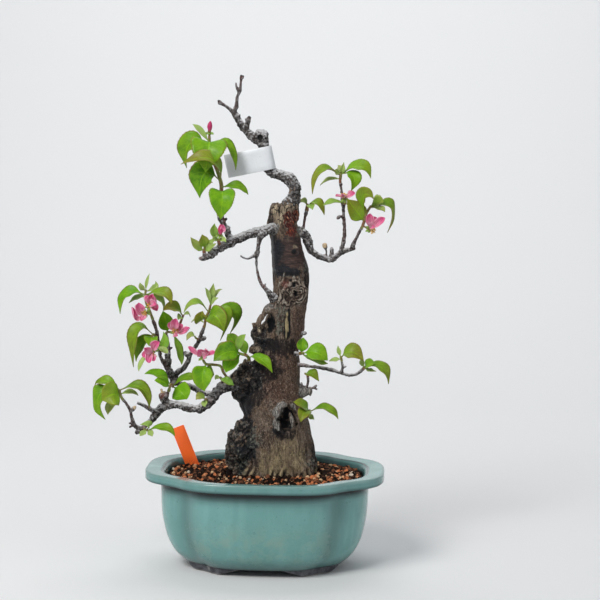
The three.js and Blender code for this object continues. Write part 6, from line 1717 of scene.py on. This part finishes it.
# Each shoot: its twig and first and last radius | stem | leaves as share of the stem, middle, tip, width, turn
# and fold | calyces as share of the stem and end
SPRAYS = {name: spray_of(*parts) for name, parts in table_of("""
crown_left: crown_shoot 2.6 1.4 | -47.5 -21 385, -46.5 -22 400.5, -51 -22 415.5, -57 -23 431, -59 -23 445,
  -59 -23 450 | 0.9 -58 -37 441 -61 -40 414 31 0 12, 0.88 -79 -23 442 -83 -17 417 21 -38 25,
  0.86 -41 -25 441 -31 -29 416 14 62 25, 0.36 -54 -44 427 -86 -42 422 17 -58 20,
  0.44 -63 -31 412 -68 -27 387 25 -10 22, 0.3 -44 -37 390 -46 -35 366 23 0 20,
  0.36 -30 -24 399 -19 -20 391 11 50 25, 0.92 -68 -26 456 -76 -27 462 5.5 -20 20 | 1 -59 -23 453.5
left_tip: long_left_spur 2.1 1.2 | -62.6 -30.6 335, -62 -31.4 338.5 | 0.3 -70 -36 339 -76 -38 348 8 -30 25,
  0.7 -63 -37 344 -64 -40 351 10 -20 25, 0.6 -58 -28 340 -54 -24 346 7 30 25, 0.3 -57 -34 337 -50 -38 342 7 30 20 |
left_fork: fork_spur 2 1.4 | -48 -31.4 344.6, -47 -32.6 347 | 0.5 -53 -34 354 -51.5 -36 362 8 -25 25,
  0.4 -43 -36 346 -40 -38 343 5 30 20, 0.4 -52 -36 346 -52 -39 343 5 -30 20 | 1 -46.5 -33.4 349.5
right_top: right_shoot 1.7 1.4 | 74.5 -3 408.5, 75 -4 414.5 | 0.7 56 -10 416 46 -12 392 13 -58 25,
  0.4 62 4 406 53 10 400 6 -60 25, 0.9 70 -8 415 69 -12 417 6 -30 25, 1 76 -6 417 78 -7 425 6 -20 25,
  0.8 94 -8 421 106 -10 409 15 52 22, 0.9 88 -12 411 86 -14 396 13 38 22, 0.9 75 6 417 71 14 421 7 -20 20 |
right_mid: right_shoot_spur 1.6 1.3 | 80 -4.6 383.6, 80 -6 385 | 0.4 67 -8 384 57 -10 380 8 -64 20,
  0.5 86 -8 378 89 -10 371 5 45 20 | 1 79.5 -7.4 387
right_inner: inner_right 2.1 1.4 | 39.5 18 376.5, 40 17 380 | 0.7 50 14 381 58 12 369 12 58 22,
  0.8 35 20 383 29 24 380 7 -50 22, 0.9 44 10 379 46 2 375 8 30 22 |
right_outer: right_outer_shoot 1.8 1.3 | 99.5 -12 364, 102.5 -14 374.5, 106.5 -14 381
  | 0.3 92 -16 375 82 -20 388 17 -15 20, 0.5 99 -26 392 110 -32 389 15 38 22, 0.95 127 -12 380 124 -6 353 14 62 22,
  0.95 115 -20 379 121 -24 376 8 60 20, 0.95 114 -18 386 119 -22 385 9 35 22, 0.95 113 -8 389 113 -4 392 6 10 20
  | 0.12 105.5 -18 357.5
trunk_right: trunk_right_spur 2 1.4 | 37.5 -18 228, 39.5 -21 228.5 | 0.9 53 -28 230 65 -26 222 17 38 22,
  0.7 52 -24 221 65 -20 218 12 68 20, 0.5 38 -17 236 39 -15 244 11 -10 22 |
low_right_mid: low_right_up 1.4 1.3 | 78.5 -18 223, 78 -18.5 225.5 | 0.5 72 -20 222 66 -22 221 5 -50 20,
  0.9 76 -19 231 75 -20 237 4 0 20, 0.8 89 -24 231 102 -24 222 16 40 22 |
low_right_tip: low_right 1.8 1.4 | 102.6 -18.5 214.5, 104 -19 215.5 | 0.6 107 -24 219 114 -27 220 10 45 25,
  0.8 120 -21 215 128 -21 198 13 58 22, 0.6 108 -22 212 115 -25 212 5 60 20, 0.5 100 -17 219 99 -16 223 5 0 20 |
stub_right: stub_right_up 1.5 1.2 | 42.6 -9.4 204.6, 40.8 -10.5 205.6 | 0.9 47.5 -16.5 206.5 56 -18 199 11 55 22 |
base_right: base_right_spur 1.8 1.3 | 46 -20 164.5, 47 -25 169.5 | 0.9 40 -37 177 31 -42 181 11 -55 22,
  0.9 42 -40 170 39 -46 161 12 -20 22, 0.9 64 -32 173 77 -36 163 12 64 22, 0.4 49 -28 163 52 -32 161.5 5 20 20 |
burl_shoot: burl_shoot_spur 1.9 1.3 | -19 -25 225.5, -25.5 -27 227.5, -29.5 -29 230
  | 0.25 -4 -33 223 9 -38 210 13 58 22, 0.4 -22 -24 235 -23 -22 242 9 0 22, 0.9 -33 -28 241 -39 -26 247 12 -15 25,
  0.9 -25 -33 241 -19 -36 249 8 15 22, 0.7 -37 -41 231 -51 -46 222 18 -25 20, 0.7 -34 -36 220 -39 -38 209 14 -15 22,
  0.95 -41 -26 234 -51 -24 230 9 -35 22 |
flower_centre: flower_spur 1.6 1.3 | -43 -24 207.5, -45.5 -26 214, -53.5 -27 215.5, -61 -29 216.5, -63 -30 220
  | 0.85 -63 -37 206 -61 -36 189 19 0 25, 0.75 -57 -22 208 -58 -18 197 10 -20 22 | 1 -64 -30.5 223
burl_base: burl_base_spur 1.5 1.2 | -46 -22.6 201.4, -46 -25 201.6 | 0.8 -39 -30 199 -31 -32 195 9 50 22,
  0.6 -49 -25 202 -51 -28 200 5 -40 22 |
left_top: second_upright 1.9 1.2 | -63 -9 261.5, -60 -9 268, -58 -10 275.5 | 0.35 -67 -17 263 -65 -19 270 14 -10 22,
  0.35 -52 -20 265 -43 -22 249 19 20 22, 0.7 -41 -13 270 -47 -16 239 11 62 22, 0.8 -35 -4 268 -38 -2 245 15 48 22,
  0.7 -73 -14 278 -85 -20 268 9 -66 22, 1 -57 -10 287 -55 -10 298 7 -20 25, 1 -60 -14 287 -63 -18 294 4 -20 20,
  1 -53 -5 287 -47 0 291 4 20 20, 0.9 -54 -15 281 -49 -20 284 4 40 20, 0.2 -73 -6 259 -79 -4 256 5 -66 20 |
left_mid: left_mid_spur 1.4 1.1 | -72 -11 240, -73.4 -12 241 | 0.8 -77 -15 244 -82 -18 239 8 -60 22 |
far_left_top: far_upright 1.7 1.2 | -122 -7 267.5, -125.5 -7 276, -126.5 -7 285, -126 -7 289.5
  | 0.85 -145 -8 285 -153 -8 264 15 -55 22, 0.8 -136 0 280 -146 6 274 8 -62 22,
  0.85 -108 -12 287 -98 -16 276 14 55 22, 0.85 -112 0 279 -109 4 267 8 55 22, 0.95 -117 -2 292 -117 -1 298 6 10 22,
  1 -130 -12 293 -131 -14 298 5 -10 20, 1 -125 -7 298 -122 -7 307 3.2 0 20 | 0.4 -121 -15 273.5,
  0.25 -124.5 -15 266.5
left_inner: first_upright 1.6 1.2 | -105 14 243, -99.5 9 243, -93 6 250.5, -88 5 262.5
  | 0.12 -107 9 254 -110 7 266 14 -8 20, 0.97 -97 -1 271 -108 -7 268 12 -50 22, 0.97 -84 8 264 -81 10 260 4 50 20,
  0.9 -91 1 261 -93 -2 258 7 -30 22, 0.4 -93 5 225 -89 2 210 9 50 22 | 0.4 -97 2 245
far_left_low: far_upright_spur 1.5 1.3 | -117.5 -7 243, -119 -11 241.5, -117 -14 235, -115.5 -15 230
  | 0.25 -134 -12 247 -138 -14 209 17 -50 22, 0.15 -130 -4 233 -137 -2 213 13 -35 22,
  0.45 -119 -17 239 -121 -18 232 13 -10 20, 0.85 -128 -20 216 -131 -22 206 5 -30 20,
  0.9 -106 -14 234 -107 -12 247 9 0 22, 0.9 -105 -18 228 -102 -20 225 6 30 20 | 1 -116 -17 227.5
limb_top: limb_top_spur 1.8 1.3 | -99 -19 190, -98 -19 193.5 | 0.9 -110 -22 203 -125 -24 204 11 -60 22,
  0.6 -105 -26 196 -114 -28 198 11 -50 22 |
limb_mid: limb_mid_spur 1.7 1.3 | -99 3 186.6, -97.5 -3 187.5 | 0.9 -88 -10 183 -82 -12 176 19 12 20,
  0.3 -84 4 196 -73 6 192 11 55 22 |
limb_base: limb_base_spur 1.6 1.2 | -59.4 -30 179.4, -60.4 -32 180.4 | 0.8 -65 -34 183 -70 -36 180 9 -50 22,
  0.8 -61 -35 176 -60 -37 173 6 -10 22 |
far_left_end: far_left 1.7 1.3 | -149 -33 184, -149.5 -33 188.5 | 0.5 -155 -44 185 -166 -46 179 22 -18 16,
  0.9 -171 -34 181 -164 -36 157 18 -35 22, 0.4 -159 -30 172 -162 -30 161 8 -10 22,
  0.97 -165 -30 196 -178 -26 191 12 -58 22, 0.97 -127 -36 191 -118 -38 170 14 58 22,
  0.6 -138 -28 185 -131 -25 181 7 58 22 |
limb_low: limb_low_spur 1.6 1.3 | -124 -22 144.5, -121.5 -23.5 144.5 | 0.8 -120 -25 151 -129 -28 151 7 -40 22,
  0.9 -118 -26 142 -116 -28 139 6 20 22, 0.8 -126 -28 142 -129 -31 140 6 -30 22,
  0.9 -104 -27 148 -92 -30 140 11 58 22 |
""").items()}

# Each blossom: its shoot and which calyx | bud as tip and width | petals as middle, tip, width and turn
BLOSSOMS = {name: blossom_of(*parts) for name, parts in table_of("""
bud_crown_left: crown_left 0 | -58 -24 465.5 5.2 |
bud_left_fork: left_fork 0 | -45.5 -35 361.5 5.2 | -43 -35.5 356 -43 -38 361 6 0
bloom_right_mid: right_mid 0 |  | 74 -9 390 70 -10 390 4 -60, 85 -10 391 90 -12 394 8 35, 78 -14 391 77 -18 393 6 10
bloom_right_outer: right_outer 0 |  | 105 -24 367 106 -27 374 9 -10, 114 -26 364 121 -30 370 8.5 20,
  110 -17 364 113 -15 369 9 10, 108 -30 362 111 -36 361 7 30, 106 -20 364 105 -21 368 7 0
bloom_far_left_upper: far_left_top 0 |  | -119 -20 281 -117 -23 287 10 -10, -114 -22 280 -115 -28 285 8 20,
  -115 -20 273 -112 -24 270 8 30, -122 -15 280 -122 -13 284 9 0, -116 -28 278 -112 -33 277 8 30
bloom_far_left_lower: far_left_top 1 |  | -130 -22 270 -131 -25 278 11 -20, -134 -20 261 -138 -24 273 8.5 -35,
  -126 -24 262 -128 -29 260 8 -20, -131 -13 270 -132 -11 275 9 -10
bloom_left_inner: left_inner 0 |  | -96 -5 253 -94 -8 260 10 0, -87 -4 245 -80 -8 251 8.5 40,
  -92 -2 249 -90 -1 254 8 10, -94 -8 244 -92 -13 243 7 0, -100 1 250 -101 2 255 7 0
bloom_far_left_low: far_left_low 0 |  | -120 -24 223 -119 -27 216 8 0, -122 -22 225 -126 -23 221 7.5 -20,
  -116 -23 222 -114 -25 218 6 10, -114 -24 233 -109 -28 238 10 20, -121 -26 229 -124 -31 232 8 -10
bloom_flower_centre: flower_centre 0 |  | -65 -36 229 -68 -39 232 10 -10, -57 -36 227 -49 -39 230 6 50,
  -60 -34 230 -61 -35 233 9 10, -72 -34 229 -78 -36 235 6 -30, -60 -41 227 -58 -45 228 8 20
""").items()}


def blade_sheet(shape, blade, outline, grid, thickness, random, finish=0, cup=0, teeth=0, stalk=0, **masks):
    """A thin closed blade along a curve, folded at its midrib, with soft waves along its margin."""
    rows, columns = grid
    share = np.linspace(0, 1, rows) ** 0.95
    root, mid, tip = (np.asarray(point, float) for point in blade[:3])
    control = 2 * mid - 0.5 * root - 0.5 * tip
    t = share[:, None]
    centre = (1 - t) ** 2 * root + 2 * t * (1 - t) * control + t ** 2 * tip
    along = unit(2 * (1 - t) * (control - root) + 2 * t * (tip - control))
    side = unit(np.cross(unit(tip - root), FRONT))
    facing = np.cross(side, unit(tip - root))
    turn, fold = math.radians(blade.turn), math.radians(blade.fold)
    spread = side * math.cos(turn) + facing * math.sin(turn)
    sideways = unit(spread - along * (along @ spread)[:, None])
    normal = np.cross(sideways, along)
    stations, swell = np.array(outline).T
    half = blade.width / 2 * np.clip(through(stations, swell, share), 0.01, None)
    half = half * (1 + teeth * (np.arange(rows) % 2))
    slim = 1 - smooth(share, 0.07, 0.2)
    half = np.maximum(half, stalk * slim)
    s = np.linspace(-1, 1, columns)
    phase, curl = random.uniform(0, 2 * math.pi), random.uniform(-0.06, 0.06)
    wave = np.sin(2 * np.pi * (1.9 * share[:, None] + 0.12 * np.sign(s)) + phase) * s * np.abs(s) ** 0.6
    lift = math.sin(fold) * np.abs(s) ** 1.3 + cup * s ** 2
    lift = lift[None] * (1 - slim[:, None]) + LEAF_WAVE * wave * (1 - slim[:, None]) + curl * s[None]
    top = (centre[:, None] + sideways[:, None] * (math.cos(fold) * half[:, None] * s)[..., None]
           + normal[:, None] * (half[:, None] * lift)[..., None])
    thick = thickness + (2 * stalk - thickness) * slim if stalk else np.full(rows, thickness)
    thick = thick[:, None] * (1 - 0.5 * s ** 4)
    bottom = top - normal[:, None] * thick[..., None]
    points = np.concatenate([top.reshape(-1, 3), bottom.reshape(-1, 3)])
    count = rows * columns
    upper = ring_faces(rows, columns, closed=False)
    faces = upper + [tuple(count + i for i in reversed(face)) for face in upper]
    border = [*range(columns), *(row * columns + columns - 1 for row in range(1, rows)),
              *((rows - 1) * columns + column for column in range(columns - 2, -1, -1)),
              *(row * columns for row in range(rows - 2, 0, -1))]
    for one, other in zip(border, border[1:] + border[:1]):
        faces.append((one, one + count, other + count, other))
    across = np.tile(np.tile(s, rows), 2)
    under = np.repeat([0, 1], count)
    shape.add(points, faces, finish, across=across, along=np.tile(np.repeat(share, columns), 2),
              under=under, **masks)


def stem_curve(spray):
    """The smooth run of a shoot from the end of its twig, with its radii."""
    stations = np.array(LIMBS[spray.twig], float)[:, :3]
    ahead = unit(stations[-1] - stations[-2])
    start = stations[-1] + ahead * SHOOT_GAP
    path = np.array([start, start + 1.5 * ahead, *spray.stem])
    radii = np.linspace(*spray.radii, len(path))
    return curve_through(np.column_stack([path, radii]), 1.6)


def point_on(path, share):
    """The place at a share of a path's length."""
    lengths = run_along(path)
    return np.array([np.interp(share * lengths[-1], lengths, path[:, axis]) for axis in range(3)])


def calyx_line(spray, number):
    """Where a calyx starts on its shoot, where it ends and its direction."""
    at, *to = spray.calyces[number]
    path, _ = stem_curve(spray)
    root = point_on(path, min(at, LAST_SHARE))
    return root, np.array(to), unit(np.array(to) - root)


def round_about(ahead, count, start=0):
    """Directions spread evenly round a line."""
    side = unit(np.cross((1, 0, 0), ahead))
    other = np.cross(ahead, side)
    for turn in start + circle(count):
        yield side * math.cos(turn) + other * math.sin(turn)


def build_shoots():
    look = bpy.context.scene.quince_leaf
    thickness = look.thickness / MM
    random = np.random.default_rng(SHOOT_SEED)
    for name, spray in SPRAYS.items():
        shape = Shape()
        path, radii = stem_curve(spray)
        swell = 1 + 0.12 * layered(path, 3, 121, 2)
        shape.add(*tube(path, radii * swell, 10, 0.3), finish=1)
        for at, *ends, width, turn, fold in spray.leaves:
            root, mid, tip = point_on(path, min(at, LAST_SHARE)), ends[:3], ends[3:]
            blade = Blade(root, mid, tip, width * LEAF_SPREAD, turn, fold)
            cut = next(cut for cut in LEAF_CUTS if width >= cut.from_width)
            young = float(smooth(width, 11, 5))
            hanging = float(smooth(mid[2] - max(tip[2], root[2]), -1, 3)) * float(smooth(abs(turn), 24, 46))
            tone = random.uniform(0, 1) * (1 - 0.7 * young)
            bronze = max(hanging, 0.8 * (name in OLIVE_SHOOTS), 0.3) * random.uniform(0.3, 1)
            blade_sheet(shape, blade, cut.outline, cut.grid, thickness, random, teeth=cut.teeth, stalk=cut.stalk,
                        tone=tone, young=young, bronze=bronze)
        for number in range(len(spray.calyces)):
            root, to, ahead = calyx_line(spray, number)
            share = np.linspace(0, 1, 8)
            line = root + share[:, None] * (to - 0.4 * ahead - root)
            shape.add(*tube(line, through((0, 0.5, 0.85, 1), (0.9, 1.05, 1.7, 1.6), share), 10, 0.3), finish=1)
            # Five sepals bent back under the blossom
            for outward in round_about(ahead, 5):
                sepal = Blade(to + 0.9 * outward - 0.2 * ahead, to + 3 * outward - 0.5 * ahead,
                              to + 5 * outward - 1.6 * ahead, 2.7, 0, 12)
                blade_sheet(shape, sepal, LEAF_CUTS[-1].outline, (9, 5), thickness, random, tone=0.4, young=0.7)
        shape.points = [eased(points, LEAF_MARGIN) for points in shape.points]
        shape.build("shoot_" + name, [leaf_green(), shoot_green()], "leaf", ["spray_" + name])


def bud_form(base, tip, width):
    """A closed bud whose petals wrap round each other."""
    rows, sides = 26, 30
    share = np.linspace(0, 1, rows)
    radii = through((0, 0.12, 0.38, 0.72, 0.92, 1), (1.4, 0.36 * width, 0.5 * width, 0.4 * width, 0.2 * width, 0.3),
                    share)
    line = base + share[:, None] * (tip - base)
    _, side, face = frames_along(line)
    wrap = np.mod(circle(sides)[None] * 3 / (2 * np.pi) + 1.1 * share[:, None], 1)
    ridge = 1 + 0.1 * wrap ** 3 - 0.05
    reach = (radii[:, None] * ridge)[..., None]
    rings = line[:, None] + reach * directions_round(side, face, sides)
    return closed_rings(list(rings)), np.repeat(share, sides)


def build_blossoms():
    thickness = bpy.context.scene.quince_blossom.thickness / MM
    random = np.random.default_rng(BLOSSOM_SEED)
    for name, blossom in BLOSSOMS.items():
        shape = Shape()
        _, to, ahead = calyx_line(SPRAYS[blossom.spray], blossom.calyx)
        base = to + ahead * SHOOT_GAP
        heart = base + 1.6 * ahead
        shape.add(*tube(np.linspace(base, heart, 4), np.linspace(1.5, 1.9, 4), 12, 0.3), finish=1)
        for *tip, width in blossom.bud:
            (points, faces), along = bud_form(heart - 0.3 * ahead, np.array(tip), width)
            shape.add(points, faces, along=np.append(along, (0, 1)), closed=1, tone=0.5)
        for *ends, width, turn in blossom.petals:
            petal = Blade(heart - 0.6 * ahead, ends[:3], ends[3:], width, turn, PETAL_FOLD)
            blade_sheet(shape, petal, PETAL_OUTLINE, (24, 13), thickness, random, cup=0.55,
                        tone=random.uniform(0, 1))
        if not blossom.bud:
            for number, outward in enumerate(round_about(ahead, 16, 0.3)):
                lean = 0.9 if number % 2 else 0.45
                reach = random.uniform(3.6, 5.4)
                head = heart + reach * unit(ahead + lean * outward)
                line = np.array([heart + 0.5 * outward, heart + 0.5 * reach * unit(ahead + 0.6 * lean * outward),
                                 head])
                shape.add(*tube(line, (0.3, 0.22, 0.2), 5), finish=2, tone=0)
                points, faces = ball(1)
                shape.add(points * (0.55, 0.55, 0.75) + head, faces, 2, tone=1)
        shape.build(name.replace("bloom", "blossom"), [petal_pink(), shoot_green(), pollen_yellow()], "petal",
                    [name])


# Tag and stake

TAG_HEIGHT, TAG_THICKNESS, TAG_TILT, TAG_PLACE = 24, 0.9, 12.5, (-2.2, 0, 427.6)
STAKE_WIDTH, STAKE_THICKNESS, STAKE_LENGTH, STAKE_BURIED, STAKE_LEAN = 14, 1, 71, 29, 21.6
STAKE_CORNER = 1
STAKE_ENTRY = (-82.2, 38, 98)


def tag_outline(inset):
    """The strip's long loop seen from above: round at the leader, pinched at its free end."""
    turns = np.linspace(-math.pi / 2 + 0.16, math.pi / 2 - 0.16, 26)
    points = [(-0.5 + (8.2 - inset) * math.cos(turn), (8.2 - inset) * math.sin(turn)) for turn in turns]
    bends = (((-26, 6.4 - inset), (-41 + inset, 2.6 - inset)), ((-44.4 + inset, 0.6), (-41 + inset, -1.6 + inset)),
             ((-24, -8.8 + inset), (0.8, -8.1 + inset)))
    for count, (control, end) in zip((28, 8, 30), bends):
        start = points[-1]
        for share in np.linspace(0, 1, count + 1)[1:]:
            weights = ((1 - share) ** 2, 2 * share * (1 - share), share ** 2)
            points.append(tuple(sum(w * p[axis] for w, p in zip(weights, (start, control, end)))
                                for axis in (0, 1)))
    return np.array(points[:-1])


def build_tag():
    half, skin = TAG_HEIGHT / 2, TAG_THICKNESS
    rows = [(0.2, -half), (0, 0.25 - half), (0, -half / 2), (0, 0), (0, half / 2), (0, half - 0.25), (0.2, half)]
    rows += [(skin - inset, -height) for inset, height in rows]
    rings = []
    for inset, height in rows:
        flat = tag_outline(inset)
        wobble = 0.18 * np.sin(flat[:, 0] / 5 + height / 9)
        rings.append(np.column_stack([flat[:, 0], flat[:, 1] + wobble * smooth(-flat[:, 0], 8, 20),
                                      np.full(len(flat), height)]))
    points = turned(np.concatenate(rings), TAG_TILT, 0, 2) + TAG_PLACE
    faces = joined_faces(len(rings), len(rings[0]))
    make_piece("tag_strip", points, faces, [tag_plastic()], ["tag_band"])


def build_stake():
    half, top, bottom = STAKE_WIDTH / 2, STAKE_LENGTH - STAKE_BURIED, -STAKE_BURIED
    outline = []
    for side, start in ((1, 0), (-1, 90)):
        for degrees in range(start, start + 91, 15):
            turn = math.radians(degrees)
            outline.append((side * (half - STAKE_CORNER) + STAKE_CORNER * math.cos(turn),
                            top - STAKE_CORNER + STAKE_CORNER * math.sin(turn)))
    outline += [(-half, bottom + 6), (-half + 2, bottom), (half - 2, bottom), (half, bottom + 6)]
    outline = np.array(outline)
    middle = outline.mean(axis=0)
    rings = []
    for inset, depth in ((0.2, 0.5), (0.04, 0.46), (0, 0.36), (0, -0.36), (0.04, -0.46), (0.2, -0.5)):
        away = unit(outline - middle)
        flat = outline - inset * away
        rings.append(np.column_stack([flat[:, 0], np.full(len(flat), -depth * STAKE_THICKNESS), flat[:, 1]]))
    points, faces = closed_rings(rings)
    points = turned(points, STAKE_LEAN, 0, 2) + STAKE_ENTRY
    piece = make_piece("orange_stake", points, [tuple(reversed(face)) for face in faces], [stake_plastic()],
                       ["stake_label"])
    piece.data.set_sharp_from_angle(angle=math.radians(35))


def finish_mesh_plates():
    for name in ("drain_mesh_left", "drain_mesh_right"):
        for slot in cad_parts[name].material_slots:
            slot.material = mesh_plastic()


# Stage

# In metres: the floor's half width, where it ends, the bend up to the backdrop and the backdrop's top
FLOOR_SIDE, FLOOR_END, FLOOR_BEND, BACKDROP_TOP = 5, 1, 1.2, 4.5
CAMERA_PLACE = (0.154389, -1.85566, 0.5)
CAMERA_AXES = ((0.998481, 0.053760, 0.012133), (-0.018324, 0.116210, 0.993056), (0.051976, -0.991769, 0.117018))


def area_light(name, place, aim, power, width, colour):
    lamp = bpy.data.lights.new(name, "AREA")
    lamp.energy = power
    lamp.shape = "DISK"
    lamp.size = width
    lamp.color = colour
    light = bpy.data.objects.new(name, lamp)
    light.location = place
    light.rotation_euler = (Vector(aim) - Vector(place)).to_track_quat("-Z", "Y").to_euler()
    bpy.context.scene.collection.objects.link(light)


def build_stage():
    look = bpy.context.scene.quince_stage
    scene = bpy.context.scene
    profile = [(-3, 0), (0, 0), (FLOOR_END, 0)]
    for turn in np.linspace(0.1, math.pi / 2, 16):
        profile.append((FLOOR_END + FLOOR_BEND * math.sin(turn), FLOOR_BEND - FLOOR_BEND * math.cos(turn)))
    profile.append((FLOOR_END + FLOOR_BEND, BACKDROP_TOP))
    points = [(x, y, z) for y, z in profile for x in (-FLOOR_SIDE, FLOOR_SIDE)]
    faces = [(2 * i, 2 * i + 1, 2 * i + 3, 2 * i + 2) for i in range(len(profile) - 1)]
    floor = plain_object("studio_floor", points, faces, studio_paper())
    floor.data.shade_smooth()
    floor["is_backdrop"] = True
    aim = (0.02, 0, 0.26)
    area_light("key_light", (-0.95, -1.6, 1.85), aim, look.key_power, 1.1, (1, 0.99, 0.97))
    area_light("fill_light", (1.9, -1.1, 0.9), aim, look.fill_power, 1.8, (0.95, 0.98, 1))
    area_light("backdrop_light", (0, 0.8, 2.4), (0, 2.4, 0.9), look.back_power, 1.8, (1, 1, 1))
    world = bpy.data.worlds.new("studio_room")
    world.use_nodes = True
    room = world.node_tree.nodes["Background"]
    room.inputs["Color"].default_value = (0.93, 0.96, 1, 1)
    room.inputs["Strength"].default_value = look.sky_strength
    scene.world = world
    lens = bpy.data.cameras.new("photo_camera")
    lens.lens = look.lens
    lens.sensor_width = 36
    lens.clip_end = 50
    camera = bpy.data.objects.new("photo_camera", lens)
    rotation = np.eye(4)
    rotation[:3, :3] = np.array(CAMERA_AXES).T
    rotation[:3, 3] = CAMERA_PLACE
    camera.matrix_world = Matrix(rotation.tolist())
    scene.collection.objects.link(camera)
    scene.camera = camera
    scene.view_settings.view_transform = "Standard"
    scene.view_settings.look = "None"


# Operators and panel

class QUINCE_OT_pot(bpy.types.Operator):
    """Build the glazed four-lobed pot with its bracket feet"""
    bl_idname = "quince.pot"
    bl_label = "Build Pot"
    bl_options = {"REGISTER", "UNDO"}

    def execute(self, context):
        build_pot()
        return {"FINISHED"}


class QUINCE_OT_mesh_plates(bpy.types.Operator):
    """Finish the mesh plates over the drain holes"""
    bl_idname = "quince.mesh_plates"
    bl_label = "Finish Mesh Plates"
    bl_options = {"REGISTER", "UNDO"}

    def execute(self, context):
        finish_mesh_plates()
        return {"FINISHED"}


class QUINCE_OT_soil(bpy.types.Operator):
    """Build the mound of soil and strew its grains"""
    bl_idname = "quince.soil"
    bl_label = "Build Soil"
    bl_options = {"REGISTER", "UNDO"}

    def execute(self, context):
        build_soil()
        return {"FINISHED"}


class QUINCE_OT_trunk(bpy.types.Operator):
    """Build the old trunk with its burls, hollows and bark"""
    bl_idname = "quince.trunk"
    bl_label = "Build Trunk"
    bl_options = {"REGISTER", "UNDO"}

    def execute(self, context):
        build_trunk()
        return {"FINISHED"}


class QUINCE_OT_branches(bpy.types.Operator):
    """Build the branches and twigs"""
    bl_idname = "quince.branches"
    bl_label = "Build Branches"
    bl_options = {"REGISTER", "UNDO"}

    def execute(self, context):
        build_branches()
        return {"FINISHED"}


class QUINCE_OT_shoots(bpy.types.Operator):
    """Build the young shoots with their leaves and calyces"""
    bl_idname = "quince.shoots"
    bl_label = "Build Shoots and Leaves"
    bl_options = {"REGISTER", "UNDO"}

    def execute(self, context):
        build_shoots()
        return {"FINISHED"}


class QUINCE_OT_blossoms(bpy.types.Operator):
    """Build the blossoms and buds"""
    bl_idname = "quince.blossoms"
    bl_label = "Build Blossoms"
    bl_options = {"REGISTER", "UNDO"}

    def execute(self, context):
        build_blossoms()
        return {"FINISHED"}


class QUINCE_OT_tag(bpy.types.Operator):
    """Build the white strip round the leader"""
    bl_idname = "quince.tag"
    bl_label = "Build Tag"
    bl_options = {"REGISTER", "UNDO"}

    def execute(self, context):
        build_tag()
        return {"FINISHED"}


class QUINCE_OT_stake(bpy.types.Operator):
    """Build the orange stake in the soil"""
    bl_idname = "quince.stake"
    bl_label = "Build Stake"
    bl_options = {"REGISTER", "UNDO"}

    def execute(self, context):
        build_stake()
        return {"FINISHED"}


class QUINCE_OT_stage(bpy.types.Operator):
    """Set up the floor, lights and camera"""
    bl_idname = "quince.stage"
    bl_label = "Set Up Stage"
    bl_options = {"REGISTER", "UNDO"}

    def execute(self, context):
        build_stage()
        return {"FINISHED"}


OPERATORS = (QUINCE_OT_pot, QUINCE_OT_mesh_plates, QUINCE_OT_soil, QUINCE_OT_trunk, QUINCE_OT_branches,
             QUINCE_OT_shoots, QUINCE_OT_blossoms, QUINCE_OT_tag, QUINCE_OT_stake, QUINCE_OT_stage)
SETTINGS = {"quince_pot": PotSettings, "quince_soil": SoilSettings, "quince_bark": BarkSettings,
            "quince_leaf": LeafSettings, "quince_blossom": BlossomSettings, "quince_labels": LabelSettings,
            "quince_stage": StageSettings}


class QUINCE_PT_bonsai(bpy.types.Panel):
    """Lists the settings and the operators of the bonsai"""
    bl_idname = "QUINCE_PT_bonsai"
    bl_label = "Chinese Quince Bonsai"
    bl_space_type = "VIEW_3D"
    bl_region_type = "UI"
    bl_category = "Bonsai"

    def draw(self, context):
        for operator in OPERATORS:
            self.layout.operator(operator.bl_idname)
        for name, settings in SETTINGS.items():
            box = self.layout.box()
            box.label(text=settings.__doc__)
            for key in settings.__annotations__:
                box.prop(getattr(context.scene, name), key)


def register():
    for one in (*SETTINGS.values(), *OPERATORS, QUINCE_PT_bonsai):
        bpy.utils.register_class(one)
    for name, settings in SETTINGS.items():
        setattr(bpy.types.Scene, name, bpy.props.PointerProperty(type=settings))


def unregister():
    for name in SETTINGS:
        delattr(bpy.types.Scene, name)
    for one in reversed((*SETTINGS.values(), *OPERATORS, QUINCE_PT_bonsai)):
        bpy.utils.unregister_class(one)


def main():
    """Builds every piece in order and measures the packed and the finished model."""
    register()
    for operator in OPERATORS:
        name = operator.bl_idname.split(".")[1]
        if getattr(bpy.ops.quince, name)() != {"FINISHED"}:
            raise RuntimeError(f"the step {name} wasn't finished")
    boxes = {"cad": CAD_BOX, "visual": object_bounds()}
    {key: [list(corner) for corner in box] for key, box in boxes.items()}


if __name__ == "__main__":
    main()
